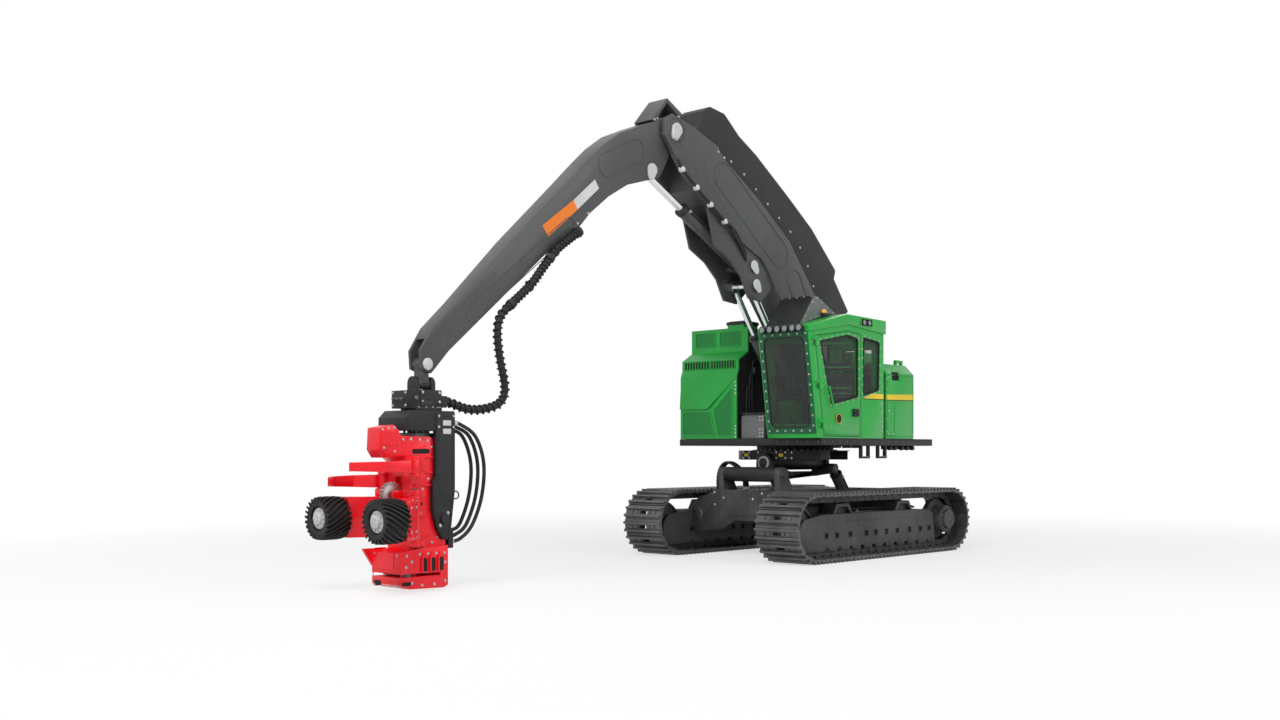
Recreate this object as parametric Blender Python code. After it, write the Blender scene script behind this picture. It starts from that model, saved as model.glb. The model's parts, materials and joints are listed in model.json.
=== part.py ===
"""Forestry harvester on tracks: levelling undercarriage, cab, boom, stick and harvester head.

Metres, +Z up, +X ahead, +Y to the machine's left. Sizes are worked out in a frame whose
origin is on the ground under the swing axis; the last step moves the whole machine so that
the origin lies under the middle of its box.
"""

import math

import bmesh
import bpy
from mathutils import Matrix, Vector

# Gaps between pieces
SEAT = 0.0003  # between pieces that rest on each other
RUN = 0.0006  # between the cheeks of a hinge
OVER = 0.02  # how far a cutter passes the face that it cuts
SHARP_DEG = 32  # edges that turn more than this stay sharp
LEVEL_DEG = 0.02  # faces that turn less than this become one
FLAT = 0.9  # the upright part of a direction below which it isn't taken as upright
MERGE = 0.00003  # points nearer to each other than this become one

# Undercarriage
TRACK_GAUGE = 2.628
SHOE_WIDTH = 0.762
GROUSER_TIP_R = 0.521  # from an axle to the tips of the grousers
GROUSER_HEIGHT = 0.040
SHOE_PLATE = 0.022
CHAIN_DEPTH = 0.105
CHAIN_WIDTH = 0.230
LINK_LINE_R = 0.420  # the line on which the links are counted
LINK_COUNT = 51
IDLER_X = 1.750
SPROCKET_X = -2.106
SHOE_PROFILE_SHARES = (  # along the link, height of the grouser
    (0.10, 0.0), (0.15, 1.0), (0.26, 1.0), (0.31, 0.0),
    (0.60, 0.0), (0.65, 1.0), (0.76, 1.0), (0.81, 0.0),
)
WHEEL_SIDES = 24
IDLER_R = 0.325
IDLER_WIDTH = 0.150
HUB_R = 0.110
FORK_PLATE = 0.040
FORK_DEPTH = 0.240
SPROCKET_R = 0.325
SPROCKET_WIDTH = 0.090
DRIVE_R = 0.225
DRIVE_CAP_R = 0.160
DRIVE_REACH = 0.300  # from the track's middle out to the drive's cap
DRIVE_CAP = 0.060
FRAME_WIDTH = 0.340
FRAME_BOTTOM = 0.300
FRAME_TOP = 0.700
FRAME_FRONT = 1.330
FRAME_REAR = -1.720
ROLLER_R = 0.125
ROLLER_COUNT = 9
ROLLER_WIDTH = 0.250
PLATE_THICK = 0.030
PLATE_BOTTOM = 0.160
PLATE_TOP = 0.640
PLATE_FRONT = 1.920
PLATE_REAR = -1.860
PLATE_CORNER = 0.130
MOON_R = 0.055
MOON_XS = (1.230, 0.900, 0.590, 0.280, -0.030, -0.340, -0.650, -0.960, -1.280, -1.600)
HOLE_SIZE = 0.085
HOLE_DEPTH = 0.070
HOLE_Z = 0.385
HOLE_XS = (1.232, 0.961, 0.604, 0.169, -0.089, -0.395, -0.708, -1.074, -1.402, -1.674)
GUARD_FOOT = 0.530  # length of a carrier guard at its foot, at its top and its plate
GUARD_CROWN = 0.330
GUARD_SHEET = 0.045
GUARD_TOP = 0.850
GUARD_XS = (0.742, -0.967)  # the two carrier guards on top of each frame
CARRIER_R = 0.065
CARBODY_FRONT = 1.200
CARBODY_REAR = -1.450
CARBODY_HALF = 0.470
CARBODY_BOTTOM = 0.550
CARBODY_TOP = 1.030
CROSS_FRONT_DEPTH = 0.500  # length along X of each cross member
CROSS_REAR_DEPTH = 0.400
CROSS_BOTTOM = 0.360
CROSS_ARCH_TOP = 0.640  # underside at the middle of each arched cross member
CROSS_SHOULDER = 0.930
CROSS_ARCH_SHARES = (0.44, 0.82)  # of the half length: where the arch ends and where its foot begins
CROSS_TOP_SHARES = (0.60, 0.79)  # of the half length: where the top begins to fall and its shoulder
COVER_SHARE = 0.900  # of the half length: where the round covers lie on the front cross member
COVER_Z = 0.640
COVER_R = 0.070

# Levelling
PITCH_X = 1.120
PITCH_Z = 1.280
PITCH_LUG_IN = 0.500
PITCH_LUG_PLATE = 0.110
PITCH_LUG_FOOT = 0.260  # length of each lug at its foot, ahead of and behind the pin
PITCH_BOSS_R = 0.115
PIN_CAP = 0.030
YOKE_BOTTOM = 1.165
YOKE_HALF = 0.260
YOKE_REAR = -0.780
YOKE_TOP = 1.310
YOKE_END = 0.030  # depth of the yoke at its rear end
ROLL_Z = 1.460
ROLL_BOSS_R = 0.120
ROLL_LUG = 0.090
ROLL_LUG_R = 0.150
TABLE_FRONT = 0.740
TABLE_REAR = -0.660
TABLE_HALF = 0.820
TABLE_BOTTOM = 1.505
TABLE_TOP = 1.655
TABLE_CHAMFER = 0.300
RING_R = 0.620
RING_HEIGHT = 0.0748
LEVEL_EYE = (-0.150, 1.370)  # x, z of the barrels' pin on the yoke
LEVEL_BASE = (-0.930, 0.400)  # x, z of the rods' pin on the carbody
ARM_LOW = 1.240  # underside of the yoke's arm below the roll axis
LEVEL_Y = 0.640
LEVEL_BARREL_R = 0.095
LEVEL_ROD_R = 0.050
LEVEL_EYE_R = 0.075
LEVEL_EYE_WIDTH = 0.110
LEVEL_LUG = 0.050
EYE_POCKET = (-0.480, 0.180)
POCKET_ROOF = 0.014
LEVEL_MOUTH_SHARE = 0.230  # of the pin to pin length: where the barrel's mouth is
LEVEL_BORE_SHARE = 0.862  # where its bore ends
LEVEL_ROD_SHARE = 0.745  # where the rod ends, far enough in for the whole stroke

# Upper works
DECK_BOTTOM = 1.730
DECK_TOP = 1.838
DECK_FRONT = 1.100
DECK_CAB_FRONT = 1.380
DECK_RIGHT = -1.530
DECK_LEFT = 1.500
DECK_REAR = -1.770
TAIL_R = 2.300
CAB_FRONT = 1.476
CAB_REAR = -0.275
CAB_LEFT = 1.505
CAB_RIGHT = 0.579
CAB_LEAN = 0.1528  # how far the front leans ahead for each metre up
CAB_FRONT_TOP = 3.390
CAB_PEAK = (0.700, 3.550)
CAB_REAR_TOP = 3.470
CAB_WALL = 0.060
ROOF_FRONT_Z = 3.470
ROOF_PEAK = (0.740, 3.710)
ROOF_REAR = (-0.320, 3.680)
ROOF_LIP = 0.020
DOOR_GAP = 0.009
DOOR_FRONT = 1.330
DOOR_REAR = 0.360
DOOR_SILL = 1.870
DOOR_HINGE_OUT = 0.042
DOOR_HINGE_AHEAD = 0.030
DOOR_HINGE_R = 0.022
DOOR_HINGE_HALF = 0.070
DOOR_HINGE_ZS = (2.050, 2.630, 3.260)
PANE = 0.012
GUARD_SIDES = (0.600, 1.200)  # y of the sides of the guard on the cab's roof
GUARD_NOSE = 1.560
GUARD_TAIL = 0.520
GUARD_PEAKS = (1.160, 1.060)
GUARD_PEAK_Z = 3.980
GUARD_WALL = 0.020
LAMP_YS = (0.743, 0.883, 1.021, 1.158, 1.294, 1.414)
LAMP_Z = 3.440
LAMP_R = 0.050
LAMP_DEPTH = 0.060
LAMP_BAR = 0.030
LATCH = ((0.450, 0.585), (2.170, 2.280), 0.030)  # x, z and stand of the latch's box on the door
DISC = ((0.960, 2.128), 0.070, 0.012)  # x, z, radius and stand of the bare disc on the door
RAIL = ((1.260, 2.600), (1.150, 2.300), 0.014, 0.050)  # x, z of the grab rail's ends, radius and stand
SCREEN_Z = (2.050, 3.300)
REAR_WINDOW_Y = (0.760, 1.320)
REAR_WINDOW_Z = (2.600, 3.250)
DOOR_TOP_FRONT = 3.330
DOOR_TOP_REAR = 3.420
SEAT_X = 0.450
SEAT_DEPTH = 0.480
SEAT_WIDTH = 0.460
SEAT_BASE = 0.380
SEAT_PAD = 0.110
SEAT_BACK = 1.150
DOOR_WINDOW = ((0.445, 2.470), (1.140, 2.345), (1.425, 3.260), (0.710, 3.390), (0.445, 3.350))
WINDOW_REAR = ((-0.130, 2.590), (0.290, 2.500), (0.290, 3.380), (-0.150, 3.330))
WINDOW_RIGHT = ((-0.100, 2.500), (1.300, 2.400), (1.450, 3.250), (-0.100, 3.350))
TIP_SLOT = 0.300
ROD_ROOM = 0.160
WHEEL_ROOM = 0.060
LUG_HEIGHT = 0.070
HOUSING_RIGHT = -1.510
HOUSING_LEFT = -0.329
HOUSING_FRONT = 1.103
HOUSING_REAR = -1.200
HOUSING_WALL = 0.050
BOOM_Y = 0.100

BODY_GREEN = (0.027, 0.456, 0.096)
HEAD_RED = (0.850, 0.010, 0.026)
BOOM_GREY = (0.105, 0.110, 0.108)
TRACK_GREY = (0.075, 0.075, 0.078)
IRON_BLACK = (0.022, 0.023, 0.024)
ROD_STEEL = (0.720, 0.720, 0.730)
PANE_GREY = (0.050, 0.060, 0.065)
DARK_GREEN = (0.012, 0.130, 0.040)
HOSE_RUBBER = (0.018, 0.018, 0.019)
SEAT_CLOTH = (0.040, 0.042, 0.045)

# Housing, tanks and counterweight
HOUSING_SIDE = (  # x, z of the engine housing seen from the side
    (HOUSING_REAR, 1.840), (HOUSING_FRONT, 1.840), (HOUSING_FRONT, 2.840), (1.060, 2.950),
    (1.060, 3.110), (0.820, 3.250), (0.820, 3.630), (HOUSING_REAR, 3.560),
)
HOUSING_ROOF = 3.500  # the underside of the housing's roof
GRILLE_Z = (2.970, 3.080)
GRILLE_BARS = 7
ENGINE = ((-0.900, 0.450), (-1.300, -0.550), (1.950, 2.950))
WELL_BOX = ((0.500, 1.045), (-0.280, 0.170), (1.839, 2.240))  # x, y, z in the well beside the cab
STACK = ((0.500, 0.800), (-0.760, -0.420), 3.720)  # x, y and top of the cap on the housing
WEIGHT_TOP = 2.900
WEIGHT_LEFT = 0.850
TANK_REAR = -1.171
TANK_FRONT = -0.360
TANK_TOP = 2.870
TANK_CROWN = 3.030
TANK_RIGHT = 0.870
BEHIND_BOX = ((-1.150, -0.380), (0.500, 0.860), (1.840, 3.240))
EYE_BAR = ((-1.120, -0.960), 3.110, 0.025)  # x ends, top and radius of the lifting eye on the rear box
HANDLE = ((-0.750, -0.530), (2.760, 2.900), 0.030)  # x, z and depth of the handle's recess in the rear box
STEP_XS = (0.110, -0.360)
STEP_DROP = 0.200
STEP_LENGTH = 0.200
STEP_DEPTH = 0.060
STEP_BAR = 0.030

# Boom
BOOM_FOOT = (-0.250, 2.950)
BOOM_SPAN = 4.857
BOOM_TIP_SHARE = (0.7433, 0.6691)
BOOM_WIDTH = 0.600
BOOM_SIDE_SHARES = (
    (-0.039, -0.019), (0.000, -0.043), (0.051, -0.025), (0.138, 0.093), (0.265, 0.245), (0.307, 0.305),
    (0.344, 0.337), (0.463, 0.387), (0.593, 0.471), (0.710, 0.549), (0.757, 0.603), (0.792, 0.648),
    (0.792, 0.695), (0.761, 0.714), (0.708, 0.702), (0.656, 0.689), (0.560, 0.656), (0.523, 0.621),
    (0.350, 0.519), (0.191, 0.407), (0.097, 0.298), (0.051, 0.245), (-0.014, 0.138), (-0.045, 0.031),
)
BOOM_GUARD_SHARES = (  # the hose guard's back, from the boom's tip to its foot
    (0.628, 0.705), (0.607, 0.755), (0.578, 0.772), (0.510, 0.763), (0.440, 0.708), (0.354, 0.663),
    (0.187, 0.556), (0.056, 0.467), (-0.082, 0.342), (-0.072, 0.313), (-0.158, 0.208), (-0.103, 0.175),
)
BOOM_GUARD_WIDTH = 0.520
BOOM_BACK_FIRST = 15  # the row of BOOM_SIDE_SHARES where the back below the hose guard begins
HOSE_R = 0.022
CLAMP = 0.014
BOOM_HOSE_SHARES = ((0.745, 0.582), (0.726, 0.556), (0.661, 0.512), (0.597, 0.470), (0.530, 0.428), (0.497, 0.415))
BELLY_SHARES = (
    (0.607, 0.504), (0.558, 0.354), (0.486, 0.319), (0.430, 0.272), (0.393, 0.208), (0.327, 0.202),
    (0.265, 0.257), (0.307, 0.340), (0.463, 0.422),
)
BELLY_HALF = 0.260
BELLY_PLATE = 0.040
FORK_SLOT = 0.4412
FORK_SLOT_START = (0.652, 0.500)  # shares of the span: where the slot for the stick begins
FOOT_BOSS_R = 0.200
TOWER_PLATE = 0.050
TOWER_SHARES = (  # of the height from the deck to the boom's foot
    (-0.42, 0.0), (0.62, 0.0), (0.50, 0.30), (0.16, 1.08), (0.0, 1.18), (-0.20, 1.08),
)
LIFT_EYE = (1.500, 4.180)
LIFT_BASE = (0.070, 2.200)
LIFT_SPREAD = 0.165  # from the boom's middle to each lift cylinder
LIFT_BARREL_R = 0.090
LIFT_ROD_R = 0.048
LIFT_EYE_R = 0.105
LIFT_EYE_WIDTH = 0.100
LIFT_BARREL_SHARE = 0.640
LIFT_BORE_SHARE = 0.120
LIFT_ROD_SHARE = 0.400
PIN_R = 0.045

# Stick
STICK_SPAN = 5.534
STICK_WIDTH = 0.400
STICK_TIP_WIDTH = 0.240
STICK_TIP_SHARE = (0.7716, -0.6361)
STICK_SIDE_SHARES = (
    (-0.029, -0.018), (-0.025, 0.023), (0.014, 0.033), (0.116, -0.007), (0.188, -0.038), (0.246, -0.078),
    (0.295, -0.121), (0.363, -0.184), (0.537, -0.342), (0.692, -0.495), (0.759, -0.557), (0.791, -0.607),
    (0.788, -0.647), (0.761, -0.656), (0.714, -0.605), (0.591, -0.499), (0.436, -0.367), (0.338, -0.302),
    (0.287, -0.248), (0.224, -0.199), (0.159, -0.161), (0.070, -0.134), (0.043, -0.126), (0.025, -0.098),
    (-0.004, -0.040),
)
TENT_SHARES = ((0.069, 0.018), (0.011, 0.084), (-0.047, 0.054), (-0.020, 0.020), (0.014, 0.010))
TENT_GAP_SHARES = ((0.011, 0.072), (0.052, 0.022), (0.014, 0.036), (-0.030, 0.046))
TENT_HALF = 0.180
STICK_HOSE = (  # x, y, z of the hose on the stick's side
    (5.229, 0.336, 4.535), (5.400, 0.333, 4.420), (5.627, 0.328, 4.252), (5.850, 0.320, 4.005), (6.063, 0.314, 3.758),
    (6.483, 0.300, 3.406),
)
STICK_HOSE_R = 0.050
BUNDLE_R = 0.060
BUNDLE = (  # x, y, z of the free hose bundle
    (6.565, 0.297, 3.300), (6.595, 0.300, 3.220), (6.605, 0.300, 3.120), (6.600, 0.300, 3.000),
    (6.580, 0.300, 2.860), (6.550, 0.300, 2.720), (6.515, 0.300, 2.590), (6.490, 0.300, 2.480), (6.485, 0.300, 2.390),
    (6.505, 0.298, 2.310), (6.555, 0.290, 2.245), (6.635, 0.280, 2.200), (6.740, 0.265, 2.170), (6.870, 0.245, 2.150),
    (6.990, 0.225, 2.150), (7.090, 0.208, 2.168), (7.180, 0.194, 2.198), (7.250, 0.185, 2.222), (7.310, 0.180, 2.235),
    (7.360, 0.180, 2.235),
)
BUNDLE_GLAND = 0.070  # half the side of the block where the bundle ends
STICK_EYE = (3.700, 5.580)
STICK_BASE = (1.560, 4.460)
STICK_BARREL_R = 0.098
STICK_ROD_R = 0.055
STICK_EYE_R = 0.080
STICK_EYE_HALF = 0.105
STICK_BARREL_SHARE = 0.640
STICK_BORE_SHARE = 0.120
STICK_ROD_SHARE = 0.350
STICK_SLOT_SHARES = ((-0.100, -0.200), (0.110, -0.062))  # x and z of the slot for the rod's eye

# Head, hanging from the stick's tip
LINK_R = 0.085
LINK_TOP_HALF = 0.080
CROSS_DROP = 0.230  # from the stick's pin down to the cross pin
ROTATOR_R = 0.200
ROTATOR_TOP = 2.240
ROTATOR_BOTTOM = 2.120
FLANGE_R = 0.245
FLANGE_TOP = 2.160
MOTOR = ((7.450, 7.760), (2.200, 2.370), 0.160)  # x, z and half width of the rotator's housing
VALVE = ((7.700, 7.953), (2.146, 2.357), 0.150)  # x, z and half width of the block ahead of it
FRAME_ARM_FRONT = 7.625
FRAME_ARM_REAR = 7.339
FRAME_ARM_HALF = 0.275
FRAME_ARM_PLATE = 0.060
FRAME_TOP_Z = ROTATOR_BOTTOM
FRAME_BOX_BOTTOM = 1.885
FRAME_BOX_FRONT = 8.060
FRAME_BOX_SLOPE = 0.090
TILT_PIN = (7.499, 0.833)
FRAME_ARM_SHARES = (  # of the height from the tilt pin to the top of the arm, from the pin
    (0.098, 0.985), (-0.124, 0.985), (-0.124, 0.267), (-0.077, -0.104), (-0.030, -0.195), (0.016, -0.182),
    (0.079, -0.088), (0.132, 0.088), (0.132, 0.345), (0.098, 0.400),
)
CHASSIS_HALF = 0.214
CHASSIS_SHARES = (  # of the same height, from the tilt pin
    (-0.046, -0.329), (-0.046, -0.166), (-0.068, -0.065), (-0.070, 0.005), (-0.038, 0.060), (0.032, 0.091),
    (0.061, 0.207), (0.061, 0.678), (0.084, 0.730), (0.130, 0.760), (0.468, 0.767), (0.468, 0.600), (0.360, 0.520),
    (0.360, -0.329),
)
HOOD = (0.080, 0.320)  # y of the sides of the measuring hood
HOOD_SHARES = (
    (0.460, 0.760), (0.490, 0.821), (0.545, 0.865), (0.690, 0.836), (0.700, 0.640), (0.650, 0.569), (0.440, 0.585),
)
SAW_BOX = (-0.100, 0.440)  # y of the sides of the saw's box
SAW_BOX_SHARES = (
    (-0.002, -0.236), (-0.002, -0.600), (0.045, -0.624), (0.430, -0.615), (0.543, -0.572), (0.543, -0.282), (0.360, -0.260),
)
WING_SHARES = ((0.640, -0.260), (0.530, -0.420), (0.400, -0.400), (0.400, -0.260))
WING_THICK = 0.040
ARM_PIVOT_X = 7.980
ARM_PIVOT_OUT = 0.330
ARM_PIVOT_R = 0.070
KNIFE_LUG = 0.045
WHEEL_CHEEK = 0.030
WHEEL_HUB_R = 0.050
ARM_BOTTOM = 0.600
ARM_TOP = 1.120
ROLLER_X = 8.550
ROLLER_OUT = 0.570
ROLLER_Z = 0.855
FEED_R = 0.285
FEED_WIDTH = 0.350
FEED_HUB_R = 0.105
KNIFE_Z = {"left": 1.465, "right": 1.285}
KNIFE_PIVOT_X = 7.960
KNIFE_PIVOT_OUT = 0.300
KNIFE_TIP_X = 8.800
KNIFE_TIP_OUT = 0.210
KNIFE_OUT = 0.560
KNIFE_ROOT = 0.080  # half the height of a knife at its pivot and at its tip
KNIFE_END = 0.050
KNIFE_DEPTH = 0.120
KNIFE_THICK = 0.060
WHEEL_X = 8.070
WHEEL_Z = 1.130
MEASURE_R = 0.150
MEASURE_WIDTH = 0.060
SAW_PIVOT = (8.030, 0.350)
SAW_LENGTH = 0.430
SAW_HALF = 0.055
SAW_Z = 0.200
SAW_PLATE = 0.016
SAW_SLOT = 0.020  # half the height of the saw's slot
SAW_SLOT_DEPTH = 0.420
HEAD_ROD_BASE = (7.435, 1.810)
HEAD_ROD_EYE = (7.599, 1.133)
HEAD_BARREL_R = 0.055
HEAD_ROD_R = 0.030
HEAD_EYE_R = 0.050
HEAD_BARREL_SHARE = 0.760
HEAD_BORE_SHARE = 0.100
HEAD_ROD_SHARE = 0.120


def prism(outline, axis, low, high):
    """A solid with one outline in the plane across an axis; X: (y, z), Y: (x, z), Z: (x, y)."""
    place = {
        "X": lambda a, b, c: (c, a, b),
        "Y": lambda a, b, c: (a, c, b),
        "Z": lambda a, b, c: (a, b, c),
    }[axis]
    count = len(outline)
    verts = [place(a, b, c) for c in (low, high) for a, b in outline]
    sides = [(i, (i + 1) % count, (i + 1) % count + count, i + count) for i in range(count)]
    return verts, sides + [tuple(range(count)), tuple(range(count, 2 * count))]


def block(x, y, z):
    """A box between two values on each axis."""
    return prism(((x[0], y[0]), (x[1], y[0]), (x[1], y[1]), (x[0], y[1])), "Z", z[0], z[1])


def around(middle, half):
    """Two values, a half width to each side of a middle."""
    return middle - half, middle + half


def turned(profile, start, direction, sides=WHEEL_SIDES):
    """A closed round solid: a profile of (along, radius) turned about a line."""
    start = Vector(start)
    ahead = Vector(direction).normalized()
    side = ahead.orthogonal().normalized()
    up = ahead.cross(side)
    verts, rings = [], []
    for along, radius in profile:
        ring = []
        for step in range(sides if radius else 1):
            angle = math.tau * step / sides
            spoke = side * math.cos(angle) + up * math.sin(angle)
            ring.append(len(verts))
            verts.append(tuple(start + ahead * along + spoke * radius))
        rings.append(ring)
    faces = []
    for one, two in zip(rings, rings[1:]):
        for step in range(sides):
            after = (step + 1) % sides
            loop = [one[step % len(one)], one[after % len(one)], two[after % len(two)], two[step % len(two)]]
            loop = list(dict.fromkeys(loop))
            if len(loop) > 2:
                faces.append(tuple(loop))
    for ring in (rings[0], rings[-1]):
        if len(ring) > 1:
            faces.append(tuple(ring))
    return verts, faces


def rod(start, end, radius, sides=16):
    """A round bar between two points."""
    length = (Vector(end) - Vector(start)).length
    return turned(((0, radius), (length, radius)), start, Vector(end) - Vector(start), sides)


def pin(x, z, y, radius, sides=16):
    """A round bar along Y at x, z between two values of y."""
    return rod((x, y[0], z), (x, y[1], z), radius, sides)


def outline(origin, span, shares):
    """Points from shares of one span, measured from an origin."""
    return [(origin[0] + a * span, origin[1] + b * span) for a, b in shares]


def tube(points, radius, sides=10):
    """A round hose or rail through the points."""
    path = [Vector(p) for p in points]
    verts, faces = [], []
    side = None
    for index, here in enumerate(path):
        before = path[max(index - 1, 0)]
        after = path[min(index + 1, len(path) - 1)]
        along = (after - before).normalized()
        if side is None:
            side = along.cross(Vector((0, 0, 1)) if abs(along.z) < FLAT else Vector((0, 1, 0)))
        side = (side - along * side.dot(along)).normalized()
        up = along.cross(side)
        for step in range(sides):
            a = math.tau * step / sides
            verts.append(tuple(here + (side * math.cos(a) + up * math.sin(a)) * radius))
    for index in range(len(path) - 1):
        for step in range(sides):
            a = index * sides + step
            b = index * sides + (step + 1) % sides
            faces.append((a, b, b + sides, a + sides))
    last = (len(path) - 1) * sides
    faces.append(tuple(range(sides)))
    faces.append(tuple(range(last, last + sides)))
    return verts, faces


def raw_mesh(solid, name):
    """A mesh of one closed shape with its faces pointing out."""
    verts, faces = solid
    mesh = bpy.data.meshes.new(name)
    mesh.from_pydata(verts, [], faces)
    shape = bmesh.new()
    shape.from_mesh(mesh)
    bmesh.ops.recalc_face_normals(shape, faces=shape.faces)
    shape.to_mesh(mesh)
    shape.free()
    return mesh


FINISHES = {  # colour, roughness, metallic
    "body_green": (BODY_GREEN, 0.35, 0.0),
    "head_red": (HEAD_RED, 0.40, 0.0),
    "boom_grey": (BOOM_GREY, 0.45, 0.0),
    "track_grey": (TRACK_GREY, 0.60, 0.6),
    "iron_black": (IRON_BLACK, 0.55, 0.0),
    "rod_steel": (ROD_STEEL, 0.20, 1.0),
    "pane": (PANE_GREY, 0.10, 0.0),
    "dark_green": (DARK_GREEN, 0.40, 0.0),
    "hose_rubber": (HOSE_RUBBER, 0.65, 0.0),
    "seat_cloth": (SEAT_CLOTH, 0.85, 0.0),
}


def finish(name):
    """The material of a finish, made once."""
    if name in bpy.data.materials:
        return bpy.data.materials[name]
    colour, roughness, metallic = FINISHES[name]
    material = bpy.data.materials.new(name)
    material.use_nodes = True
    shader = material.node_tree.nodes["Principled BSDF"]
    shader.inputs["Base Color"].default_value = (*colour, 1.0)
    shader.inputs["Roughness"].default_value = roughness
    shader.inputs["Metallic"].default_value = metallic
    return material


def add_object(name, mesh):
    thing = bpy.data.objects.new(name, mesh)
    bpy.context.scene.collection.objects.link(thing)
    return thing


def piece(name, body, finish_name, solids, cuts=()):
    """One named solid: shapes joined, cutters taken away, carried by a body's empty."""
    whole = add_object(name, raw_mesh(solids[0], name))
    tools = []
    for operation, shapes in (("UNION", solids[1:]), ("DIFFERENCE", cuts)):
        for shape in shapes:
            tool = add_object(name + "_tool", raw_mesh(shape, name + "_tool"))
            tool.hide_render = True
            tool.display_type = "WIRE"
            step = whole.modifiers.new(operation, "BOOLEAN")
            step.operation = operation
            step.solver = "EXACT"
            step.object = tool
            tools.append(tool)
    if tools:
        bpy.context.view_layer.update()
        solved = whole.evaluated_get(bpy.context.evaluated_depsgraph_get())
        mesh = bpy.data.meshes.new_from_object(solved)
        whole.modifiers.clear()
        whole.data = mesh
        for tool in tools:
            bpy.data.objects.remove(tool, do_unlink=True)
    tidy = bmesh.new()
    tidy.from_mesh(whole.data)
    bmesh.ops.remove_doubles(tidy, verts=tidy.verts, dist=MERGE)
    bmesh.ops.dissolve_limit(tidy, angle_limit=math.radians(LEVEL_DEG), verts=tidy.verts, edges=tidy.edges)
    bmesh.ops.triangulate(tidy, faces=tidy.faces)
    tidy.to_mesh(whole.data)
    tidy.free()
    carrier = bpy.data.objects[body]
    whole.data.transform(Matrix.Translation(-world_place(carrier)))
    whole.data.materials.clear()
    whole.data.materials.append(finish(finish_name))
    whole.data.shade_smooth()
    whole.data.set_sharp_from_angle(angle=math.radians(SHARP_DEG))
    whole.parent = carrier
    return whole


def cord(name, carrier, finish_name, points, radius):
    """A free hose: a curve with a round bevel and filled caps."""
    curve = bpy.data.curves.new(name, "CURVE")
    curve.dimensions = "3D"
    curve.bevel_depth = radius
    curve.bevel_resolution = 2
    curve.use_fill_caps = True
    line = curve.splines.new("POLY")
    line.points.add(len(points) - 1)
    place = world_place(bpy.data.objects[carrier])
    for point, here in zip(line.points, points):
        point.co = (*(Vector(here) - place), 1)
    thing = bpy.data.objects.new(name, curve)
    bpy.context.scene.collection.objects.link(thing)
    thing.parent = bpy.data.objects[carrier]
    curve.materials.append(finish(finish_name))
    return thing


def world_place(carrier):
    """Where an empty is in the machine's frame: its own place added to its parents'."""
    place = carrier.location.copy()
    while carrier.parent:
        carrier = carrier.parent
        place += carrier.location
    return place


def body(name, parent=None, place=(0, 0, 0)):
    """An empty that carries a body's pieces, at its joint."""
    empty = add_object(name, None)
    if parent:
        carrier = bpy.data.objects[parent]
        empty.parent = carrier
        empty.location = Vector(place) - world_place(carrier)
    return empty


def loop_point(along, radius):
    """A point of the track's loop: so far along the link line, at a radius from the axles."""
    straight = IDLER_X - SPROCKET_X
    turn = math.pi * LINK_LINE_R
    along = along % (2 * straight + 2 * turn)
    if along < straight:
        return IDLER_X - along, GROUSER_TIP_R + radius
    if along < straight + turn:
        angle = math.pi / 2 + (along - straight) / LINK_LINE_R
        return SPROCKET_X + radius * math.cos(angle), GROUSER_TIP_R + radius * math.sin(angle)
    if along < 2 * straight + turn:
        return SPROCKET_X + along - straight - turn, GROUSER_TIP_R - radius
    angle = -math.pi / 2 + (along - 2 * straight - turn) / LINK_LINE_R
    return IDLER_X + radius * math.cos(angle), GROUSER_TIP_R + radius * math.sin(angle)


def track(side):
    """The loop of shoes with its grousers, and the chain that carries them."""
    name = "track_left" if side > 0 else "track_right"
    straight = IDLER_X - SPROCKET_X
    pitch = (2 * straight + math.tau * LINK_LINE_R) / LINK_COUNT
    plate_r = GROUSER_TIP_R - GROUSER_HEIGHT
    shoe, inside, chain = [], [], []
    for link in range(LINK_COUNT):
        for share, height_share in SHOE_PROFILE_SHARES:
            shoe.append(loop_point((link + share) * pitch, plate_r + height_share * GROUSER_HEIGHT))
        inside.append(loop_point(link * pitch, plate_r - SHOE_PLATE))
        chain.append(loop_point(link * pitch, plate_r - SHOE_PLATE - CHAIN_DEPTH))
    middle = side * TRACK_GAUGE / 2
    ys = [middle - SHOE_WIDTH / 2, middle - CHAIN_WIDTH / 2, middle + CHAIN_WIDTH / 2, middle + SHOE_WIDTH / 2]
    verts = []

    def ring(points, y):
        first = len(verts)
        verts.extend((x, y, z) for x, z in points)
        return [first + i for i in range(len(points))]

    faces = []

    def band(one, two):
        count = len(one)
        faces.extend((one[i], one[(i + 1) % count], two[(i + 1) % count], two[i]) for i in range(count))

    outer = [ring(shoe, ys[0]), ring(shoe, ys[3])]
    inner = [ring(inside, y) for y in ys]
    core = [ring(chain, y) for y in ys[1:3]]
    band(outer[0], outer[1])
    band(inner[0], inner[1])
    band(inner[1], core[0])
    band(core[0], core[1])
    band(core[1], inner[2])
    band(inner[2], inner[3])
    per = len(SHOE_PROFILE_SHARES)
    for rim, edge in ((outer[0], inner[0]), (outer[1], inner[3])):
        for link in range(LINK_COUNT):
            here = link * per
            after = ((link + 1) * per) % len(rim)
            faces.append(
                (edge[link], *rim[here:here + per], rim[after], edge[(link + 1) % LINK_COUNT])
            )
    piece(name, "undercarriage", "track_grey", [(verts, faces)])


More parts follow.
